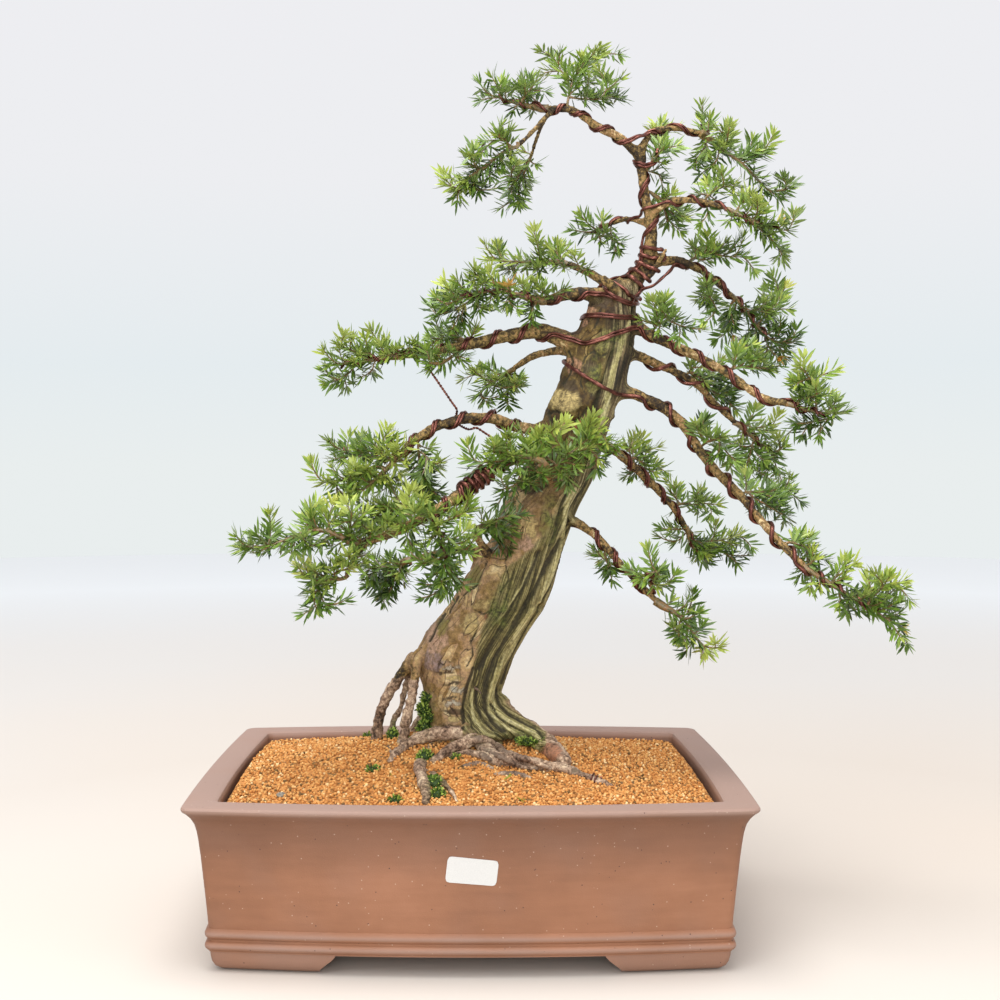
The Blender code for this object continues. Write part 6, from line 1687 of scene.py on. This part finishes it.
def leafy_needles(route, radii, rng, tone, bare, star=STAR_NEEDLES):
    """Needles in a spiral along a shoot, half turned to its two sides, and a star of them at its tip."""
    runs, ways = line_facts(route)
    total = runs[-1]
    middle = unit(route[-1] - route[0])
    lean_to = np.array([rng.normal(0, 0.35), -0.55 + rng.normal(0, 0.3), 1.0])
    face = unit(lean_to - middle * np.dot(lean_to, middle))
    rows = []
    place = bare + SPACING * rng.random()
    turn = rng.uniform(0, 2 * math.pi)
    while place < total:
        share = place / max(total, 25 * MM)
        here = np.array([np.interp(place, runs, route[:, k]) for k in range(3)])
        way = unit(np.array([np.interp(place, runs, ways[:, k]) for k in range(3)]))
        radius = np.interp(place, runs, radii)
        upright = unit(face - way * np.dot(face, way))
        side = np.cross(way, upright)
        angle = turn - PARTING * math.sin(2 * turn) + rng.normal(0, 0.12)
        out = side * math.cos(angle) + upright * math.sin(angle)
        lean = math.radians(LEAN - LEAN_LESS * share + rng.normal(0, 6))
        heading = unit(way * math.cos(lean) + out * math.sin(lean) + np.array([0, 0, 0.1]))
        fullness = 0.66 + 0.42 * math.sin(math.pi * min(share, 0.85))
        length = NEEDLE_LENGTH * fullness * rng.uniform(0.85, 1.15)
        up = unit(upright * 0.9 + out * 0.25 + rng.normal(0, 0.2, 3))
        shade = tone_near(here, tone + TIP_LIGHTER * (share - 0.5) + rng.normal(0, 0.07))
        rows.append(needle_row(here + out * radius * 0.6, heading, up, length, shade))
        place += SPACING * rng.uniform(0.75, 1.25)
        turn += GOLDEN_TURN
    way = ways[-1]
    side = np.cross(way, face)
    for k in range(star):
        angle = turn + k * 2 * math.pi / star + rng.normal(0, 0.2)
        lean = math.radians(rng.uniform(*STAR_LEAN))
        out = side * math.cos(angle) + face * math.sin(angle)
        heading = unit(way * math.cos(lean) + out * math.sin(lean))
        length = NEEDLE_LENGTH * rng.uniform(*STAR_LENGTHS)
        shade = tone_near(route[-1], tone + TIP_LIGHTER + rng.normal(0, 0.06))
        rows.append(needle_row(route[-1] - way * 0.5 * MM, heading, unit(face + out * 0.5), length, shade))
    return [row for row in rows if row is not None]


print("needle spacing:", round(SPACING / MM, 2), "mm along a shoot")

# %% Growing one leafy stem
STEM_STEP = 4.5 * MM
SERVED = 10 * MM
NEEDLES_PAST_TIP = 9 * MM
SIDE_SHOOT_EVERY = 10.5 * MM
SIDE_SHOOT_LENGTH = (11, 23)
SHOOT_CLEARANCE = 1.2 * MM
ROOT_DEPTH = 3 * MM
BARE_FOOT, BARE_BRANCHING, BARE_SHOOT = 10 * MM, 3 * MM, 2 * MM
# Radii at the feet of a twig, a side shoot and a shoot on an old branch in mm, and how they thin out
TWIG_THICK, SIDE_THICK, BRANCH_THICK, THIN_OUT = 1.1, 0.95, 0.9, 0.57
# How light the leaves are at the crown and elsewhere, and the painted light on top of a stem's leaves, with
# painted shade under them
CROWN_TONE, LEAF_TONE, PAINTED_TOP_LIGHT = 0.39, 0.46, 0.13
TOP_ABOVE = 18 * MM
# How much closer side shoots stand on the stems whose leaves hide all behind them
DENSER = {
    "front_left": 1.5, "front_right": 1.5, "front_stub": 1.4, "left_2": 1.5, "left_5": 1.6,
    "left_5_right": 1.7, "left_4": 1.5, "left_4_low": 1.5, "left_5_up": 1.8, "left_5_low": 1.4,
    "left_6": 1.6, "crown_top": 1.3, "crown_low": 1.2,
}
# Places on old branches that break out in short shoots of their own: column, row
BRANCH_SHOOTS = {
    "left_5_up": [(350, 543), (362, 541), (375, 536), (388, 531), (401, 526), (414, 521), (428, 514)],
    "left_5_low": [(352, 556), (347, 566)],
    "left_4": [(388, 462), (396, 450)],
    "left_3": [(392, 352), (408, 349), (424, 348)],
    "left_2": [(530, 296), (545, 294)],
    "left_2_back": [(566, 262), (580, 268)],
}


def shoot_clear(route):
    """Whether a shoot stays outside the wood past its foot, and inside the frame's box."""
    in_box = np.all(route > BOX_LOW + 2 * BOX_MARGIN) and np.all(route < BOX_HIGH - 2 * BOX_MARGIN)
    return in_box and all(outside(wood_tree, Vector(point))[0] > SHOOT_CLEARANCE for point in route[2:])


def curved_shoot(foot, start_way, end, rng):
    """A gently curved line from a foot to an end, setting out nearer to the carrier's own heading."""
    reach = np.linalg.norm(end - foot)
    aim = unit(end - foot)
    bend = foot + unit(start_way * 0.55 + aim) * reach * 0.45 + rng.normal(0, 0.02, 3) * reach
    bend[2] -= 0.03 * reach
    shares = np.linspace(0, 1, max(3, math.ceil(reach / STEM_STEP)) + 1)[:, None]
    return foot * (1 - shares) ** 2 + 2 * bend * shares * (1 - shares) + end * shares**2


def grow_spray(key, number):
    """One leafy stem's main lines and sizes, its shoots' lines and sizes, and its needles' rows."""
    rng = np.random.default_rng(500 + number)
    centres, radii, links, needles = read_rings("spray_" + key, RING_GAP, THICK_RING_GAP)
    root = min(range(len(centres)), key=lambda n: outside(wood_tree, centres[n])[0])
    middle_height = float(np.mean([centre.z for centre in centres]))
    stem_tone = (CROWN_TONE if key.startswith("crown") else LEAF_TONE) + rng.normal(0, 0.05)

    def shoot_tone(point):
        """A shoot's tone, with painted light on top of the leaves and painted shade under them."""
        lighter = PAINTED_TOP_LIGHT * math.tanh((point[2] - middle_height) / TOP_ABOVE)
        return stem_tone + lighter + rng.normal(0, 0.08)

    def sprout(start, way, end, thick):
        """Adds one curved shoot with its needles, if it has room."""
        route = curved_shoot(start, way, end, rng)
        if not shoot_clear(route):
            return False
        width = np.linspace(thick, thick * THIN_OUT, len(route)) * MM
        lines.append(route)
        sizes.append(width)
        rows.extend(leafy_needles(route, width, rng, shoot_tone(end), BARE_SHOOT))
        return True

    lines, sizes, rows = [], [], []
    for order, path in enumerate(follow_rings(centres, links, root)):
        points = [centres[n] for n in path]
        widths = [radii[n] for n in path]
        if len(points) < 2:
            continue
        if order == 0:
            _, place, normal = outside(skin_tree, points[0])
            points.insert(0, place - normal * ROOT_DEPTH)
            widths.insert(0, widths[0])
        route, places = smooth_line(points, STEM_STEP)
        width = np.interp(places, np.arange(len(points)), widths)
        width *= np.linspace(0.9, 0.6, len(width))
        lines.append(route)
        sizes.append(width)
        bare = BARE_BRANCHING if order else BARE_FOOT
        rows.extend(leafy_needles(route, width, rng, shoot_tone(route[-1]), bare, STAR_NEEDLES // 2))
    for foot, tip in needles:
        foot, tip = np.array(foot), np.array(tip)
        face = unit(np.array([0, -0.5, 1]) + rng.normal(0, 0.2, 3))
        shade = tone_near(foot, shoot_tone(foot))
        rows.append(needle_row(foot, unit(tip - foot), face, np.linalg.norm(tip - foot), shade))
    rows[:] = [row for row in rows if row is not None]
    main_count = len(lines)
    main_depth = lines[0][0][1]
    ends = [line[-1] for line in lines]
    for turn, (column, row) in enumerate(TWIG_TIPS[key]):
        places = [
            (line, n, np.array(sight(column, row, line[n][1])))
            for line in lines[:main_count] for n in range(len(line))
        ]
        carrier, near, aim = min(places, key=lambda place: np.linalg.norm(place[2] - place[0][place[1]]))
        if any(np.linalg.norm((end - aim)[[0, 2]]) < SERVED + NEEDLES_PAST_TIP for end in ends):
            continue
        away = np.linalg.norm(aim - carrier[near])
        back = max(0, near - round(0.55 * away / STEM_STEP))
        side = 1 if turn % 2 else -1
        depth = carrier[back][1] + side * rng.uniform(0.1, 0.6) * min(away + 8 * MM, 30 * MM)
        end = np.array(sight(column, row, depth))
        end = end - unit(end - carrier[back]) * min(NEEDLES_PAST_TIP, away * 0.4)
        start_way = unit(carrier[min(back + 1, len(carrier) - 1)] - carrier[max(back - 1, 0)])
        if sprout(carrier[back], start_way, end, TWIG_THICK):
            ends.append(end)
    step = SIDE_SHOOT_EVERY / DENSER.get(key, 1)
    for line in list(lines):
        runs, ways = line_facts(line)
        for place in np.arange(7 * MM, runs[-1] - 3 * MM, step) + rng.uniform(-3, 3) * MM:
            here = int(np.searchsorted(runs, place).clip(1, len(line) - 1))
            way = ways[here]
            out = rng.normal(0, 1, 3) * np.array([0.7, 1.0, 0.9]) + np.array([0, -0.3, 0.2])
            out = unit(out - way * np.dot(out, way))
            heading = unit(way * rng.uniform(0.4, 0.9) + out)
            end = line[here] + heading * rng.uniform(*SIDE_SHOOT_LENGTH) * MM
            sprout(line[here], way, end, SIDE_THICK)
    for column, row in BRANCH_SHOOTS.get(key, ()):
        aim = sight(column, row, main_depth)
        foot = skin_tree.ray_cast(EYE, (aim - EYE).normalized())[0] or outside(skin_tree, aim)[1]
        for slant in (-0.8, 0, 0.8):
            heading = unit(np.array([slant + rng.uniform(-0.4, 0.4), -0.9, rng.uniform(-0.5, 0.8)]))
            end = np.array(foot) + heading * rng.uniform(*SIDE_SHOOT_LENGTH) * MM
            sprout(np.array(foot), heading, end, BRANCH_THICK)
    return (lines[:main_count], sizes[:main_count]), (lines[main_count:], sizes[main_count:]), rows


print("side shoots every", SIDE_SHOOT_EVERY / MM, "mm")

# %% [markdown]
# ### Yew needles and green bark
# A yew needle has a waxy, leathery upper side and a paler, matt underside. Young shoots are green and
# turn brown as they age. One material serves both, because they are one living thing: attributes on
# the mesh say which points are bark, how far along a needle a point is and how light its needle is.

# %% Yew needles
YEW_NEEDLES, tree, shader, place = new_finish("yew_needles_and_green_bark", Roughness=0.36, IOR=1.5)
attribute = {
    name: add(tree, "Attribute", {}, attribute_name=name).outputs["Fac"]
    for name in ("tone", "along", "under", "bark")
}
NEEDLE_TONES = [
    (0.0, "1B290C"), (0.2, "2F4415"), (0.4, "4F6A23"), (0.58, "748F36"), (0.76, "A5B04F"),
    (0.92, "C4B854"), (1.0, "CB9142"),
]
upper = add(tree, "ValToRGB", {"Fac": attribute["tone"]}, stops=NEEDLE_TONES)
under_share = add(tree, "Math", {0: attribute["under"], 1: 0.75}, operation="MULTIPLY")
pale = add(tree, "Mix", {0: under_share, 6: upper, 7: paint("86955F")}, data_type="RGBA")
mottle = add(tree, "TexNoise", {"Vector": place, "Scale": 260.0, "Detail": 2})
TO_FOOT = {"From Min": 0.0, "From Max": 0.3, "To Min": 0.3, "To Max": 0.0}
base = add(tree, "MapRange", {"Value": attribute["along"], **TO_FOOT})
foot = add(tree, "Mix", {0: base, 6: pale, 7: paint("909C58")}, data_type="RGBA")
varied = add(tree, "Mix", {0: 0.3, 6: foot, 7: mottle}, data_type="RGBA", blend_type="OVERLAY")
YOUNG_BARK = [(0.35, "4C3D22"), (0.5, "75643D"), (0.65, "84603C")]
bark = add(tree, "ValToRGB", {"Fac": mottle}, stops=YOUNG_BARK)
shown = add(tree, "Mix", {0: attribute["bark"], 6: varied, 7: bark}, data_type="RGBA")
bump = add(tree, "Bump", {"Height": mottle, "Strength": 0.3, "Distance": 0.0003})
feed(tree, shader, Base_Color=shown, Normal=bump)

# %% All leafy stems


def make_spray(key, number):
    """One leafy stem as one piece: its shoots as tubes, and its needles as copies of the blade."""
    main, shoots, rows = grow_spray(key, number)
    young = tube_piece("shoots", *shoots, 0)
    stems = tube_piece("stems", *main, 1)
    young.select_set(True)
    bpy.ops.object.join()
    count = len(stems.data.vertices)
    for name, value in (("tone", 0.3), ("along", 0), ("under", 0), ("bark", 1)):
        set_attribute(stems.data, name, np.full(count, value))
    table = np.array(rows)
    blades = copies_piece(
        "blades", paste_copies(BLADE, table[:, :9].reshape(-1, 3, 3), table[:, 9:12]), BLADE_FACES, len(rows)
    )
    set_attribute(blades.data, "tone", np.repeat(np.clip(table[:, 12], 0.02, 1), len(BLADE)))
    set_attribute(blades.data, "along", np.tile(BLADE_ALONG, len(rows)))
    set_attribute(blades.data, "under", np.tile(BLADE_UNDER, len(rows)))
    set_attribute(blades.data, "bark", np.zeros(len(rows) * len(BLADE)))
    alone(stems)
    blades.select_set(True)
    bpy.ops.object.join()
    finish_piece(bpy.context.object, "leaves_" + key, YEW_NEEDLES, ["spray_" + key], 60)
    return len(rows)


needle_count = sum(make_spray(key, number) for number, key in enumerate(TWIG_TIPS))
print("needles in all:", needle_count)

# %% [markdown]
# ## Moss, grass and a pebble
# Feather moss grows where water stays: between the raised roots, and in tufts on the soil. A cushion of
# it is hundreds of leafy tips packed together. A green lump would look like paint, so each cushion is
# a dented mound with hundreds of small blades standing out of it. A few grass seedlings and one grey
# pebble lie about it.

# %% Moss and grass finish
MOSS_GREEN, tree, shader, place = new_finish("damp_feather_moss", Roughness=0.7, IOR=1.4)
tone = add(tree, "Attribute", {}, attribute_name="tone").outputs["Fac"]
leafy = add(tree, "TexNoise", {"Vector": place, "Scale": 420.0, "Detail": 3})
both = add(tree, "Mix", {0: 0.35, 2: tone, 3: leafy})
MOSS_TONES = [(0.2, "0E1A07"), (0.36, "2C4410"), (0.54, "5C7A26"), (0.74, "9DB04E")]
tint = add(tree, "ValToRGB", {"Fac": both}, stops=MOSS_TONES)
bump = add(tree, "Bump", {"Height": leafy, "Strength": 0.5, "Distance": 0.0005})
feed(tree, shader, Base_Color=tint, Normal=bump)
print("moss tones:", len(MOSS_TONES))

# %% Moss cushions
# Cushions: column, row, depth in mm (None: on what is seen there), half width, half depth, half height
CUSHIONS = [
    (428, 697, 12, 6, 9, 6), (424, 709, 9, 6, 9, 7), (431, 716, 11, 6, 9, 6), (425, 727, 9, 7, 9, 7),
    (431, 738, 8, 6, 9, 6), (404, 741, 4, 5, 6, 6), (393, 738, None, 6, 6, 9),
    (368, 738, None, 5, 5, 5), (425, 757, None, 7, 6, 6), (434, 786, None, 9, 7, 9),
    (438, 796, None, 7, 6, 6), (395, 801, None, 6, 5, 3.5), (455, 758, None, 4, 4, 3),
    (373, 770, None, 6, 5, 3), (530, 741, None, 14, 6, 3),
]
DENT_DEPTH = 0.22
DENT_SCALE = 2.2
MOUND_TONE = 0.2
BLADE_EVERY = 1.6
BLADE_SIZE = (2.0, 4.6)
BLADE_TONES = (0.15, 1.1)
BLADE_SLIM = 0.4
BLADE_THICK = 0.35 * MM
BLADE_SUNK = 0.96
rng = np.random.default_rng(77)
ground_tree = frame_tree("soil_bed", "wood_grown")
points, faces, blade_rows = [], [], []
for column, row, depth, wide, deep, tall in CUSHIONS:
    middle = seen_on(ground_tree, column, row)[0] if depth is None else sight(column, row, depth * MM)
    halves = [wide * MM, deep * MM, tall * MM]
    bpy.ops.object.select_all(action="DESELECT")
    bpy.ops.mesh.primitive_ico_sphere_add(subdivisions=3, radius=1)
    mound = bpy.context.object
    shape = points_of(mound.data)
    shape *= (1 + DENT_DEPTH * noise_at(shape + column, DENT_SCALE, 3))[:, None]
    faces += [[corner + len(points) for corner in face.vertices] for face in mound.data.polygons]
    points += list(shape * halves + middle)
    bpy.data.objects.remove(mound)
    count = int(4 * math.pi * wide * max(deep, tall) / BLADE_EVERY**2)
    ways = rng.normal(size=(count, 3))
    ways /= np.linalg.norm(ways, axis=1, keepdims=True)
    for way in ways:
        foot = way * (1 + DENT_DEPTH * noise.noise(Vector(way + column) * DENT_SCALE)) * halves
        heading = unit(way + rng.normal(0, 0.45, 3) + np.array([0, 0, 0.5]))
        foot = foot * BLADE_SUNK + middle
        length = rng.uniform(*BLADE_SIZE) * MM
        if outside(ground_tree, Vector(foot + heading * length))[0] < 0:
            continue
        side = unit(np.cross(heading, rng.normal(size=3)))
        turn = [heading * length, side * length * BLADE_SLIM, np.cross(heading, side) * BLADE_THICK]
        blade_rows.append((*np.array(turn).T.ravel(), *foot, rng.uniform(*BLADE_TONES)))
mounds = mesh_piece("mounds", points, faces)
set_attribute(mounds.data, "tone", np.full(len(points), MOUND_TONE))
print("moss blades:", len(blade_rows))

# %% Grass seedlings
# Blades of grass: column, row, length in mm
GRASS = [(505, 779, 12), (507, 778, 9), (503, 780, 8), (525, 803, 14), (528, 802, 9), (392, 776, 8)]
for column, row, length in GRASS:
    foot = seen_on(ground_tree, column, row)[0]
    heading = unit(np.array([rng.uniform(-0.8, 0.9), -0.5, rng.uniform(0.35, 0.8)]))
    side = unit(np.cross(heading, [0.2, 1, 0.1]))
    turn = [heading * length * MM, side * 1.2 * MM, np.cross(heading, side) * 0.3 * MM]
    blade_rows.append((*np.array(turn).T.ravel(), *foot, 0.95))
table = np.array(blade_rows)
tufts = paste_copies(BLADE, table[:, :9].reshape(-1, 3, 3), table[:, 9:12])
blades = copies_piece("tufts", tufts, BLADE_FACES, len(table))
set_attribute(blades.data, "tone", np.repeat(table[:, 12], len(BLADE)))
alone(mounds)
blades.select_set(True)
bpy.ops.object.join()
finish_piece(bpy.context.object, "moss_and_grass", MOSS_GREEN, angle=60)

# %% [markdown]
# ### Thin surface roots
# Between the big surface roots thinner ones lie half in the soil, crossing each other. They are drawn
# as tapered tubes through places seen in the photograph, dented like the big ones, and take the same
# bark. That material reads the attributes root, ridge, groove and patch, so they get those too.

# %% Thin surface roots
# Roots: radius in mm, places in the photograph
THIN_ROOTS = [
    (5.2, [(468, 742), (482, 740), (496, 747), (507, 757)]),
    (3.8, [(448, 758), (466, 753), (484, 757), (503, 763)]),
    (3.2, [(494, 775), (508, 774), (522, 776), (531, 779)]),
    (3.4, [(500, 751), (517, 757), (534, 762), (550, 769)]),
    (2.6, [(462, 767), (478, 764), (494, 769)]),
    (3.0, [(480, 748), (500, 757), (520, 766), (538, 769)]),
    (1.0, [(470, 685), (475, 688), (481, 693)]),
    (1.6, [(398, 738), (403, 746), (402, 752)]),
    (1.2, [(383, 742), (389, 747), (392, 755)]),
]
ROOT_STEP = 1.6 * MM
ROOT_WOBBLE = 0.25 * MM
ROOT_RAISED = 0.1
ROOT_DENTS = 0.8 * MM
ROOT_DARK = "4B3F36"
routes, sizes = [], []
for radius, places in THIN_ROOTS:
    route = smooth_line([seen_on(ground_tree, *place)[0] for place in places], ROOT_STEP)[0]
    route += rng.normal(0, ROOT_WOBBLE, route.shape)
    share = np.linspace(0, 1, len(route))
    routes.append(route + np.array([0, 0, ROOT_RAISED * radius * MM]))
    sizes.append(radius * MM * (0.35 + 0.65 * np.sin(math.pi * (0.12 + 0.76 * share))))
thin_roots = tube_piece("roots", routes, sizes, 3)
table = points_of(thin_roots.data)
dents = 0.9 * noise_at(table, 120, 31) + 0.5 * noise_at(table, 300, 32)
table += points_of(thin_roots.data, "normal") * (dents * ROOT_DENTS)[:, None]
move_points(thin_roots.data, table)
for name, value in (("root", 1.0), ("ridge", FAR_AWAY), ("groove", FAR_AWAY)):
    set_attribute(thin_roots.data, name, np.full(len(table), value))
set_attribute(thin_roots.data, "patch", np.clip(0.6 + 1.6 * noise_at(table, 90, 33), 0, 1))
set_attribute(thin_roots.data, "patch_tone", np.tile(paint(ROOT_DARK)[:3], (len(table), 1)))
finish_piece(thin_roots, "thin_roots", YEW_WOOD, ["wood"], angle=80)

# %% Grey pebble
PEBBLE_AT = (281, 797)
PEBBLE_SIZE = (4.6, 3.8, 3.2)
PEBBLE_RAISED = 1.5 * MM
PEBBLE_GREY, tree, shader, place = new_finish("grey_river_pebble", Roughness=0.6, IOR=1.5)
mottle = add(tree, "TexNoise", {"Vector": place, "Scale": 500.0, "Detail": 4})
tint = add(tree, "ValToRGB", {"Fac": mottle}, stops=[(0.35, "5D574C"), (0.65, "8C8577")])
bump = add(tree, "Bump", {"Height": mottle, "Strength": 0.3, "Distance": 0.0003})
feed(tree, shader, Base_Color=tint, Normal=bump)
middle = seen_on(ground_tree, *PEBBLE_AT)[0]
bpy.ops.object.select_all(action="DESELECT")
bpy.ops.mesh.primitive_ico_sphere_add(subdivisions=4, radius=1)
pebble = bpy.context.object
shape = points_of(pebble.data)
shape *= (1 + 0.16 * noise_at(shape, 1.3, 8) + 0.03 * noise_at(shape, 6, 9))[:, None]
shape = shape * np.array(PEBBLE_SIZE) * MM + middle + np.array([0, 0, PEBBLE_RAISED])
move_points(pebble.data, shape)
finish_piece(pebble, "pebble", PEBBLE_GREY)
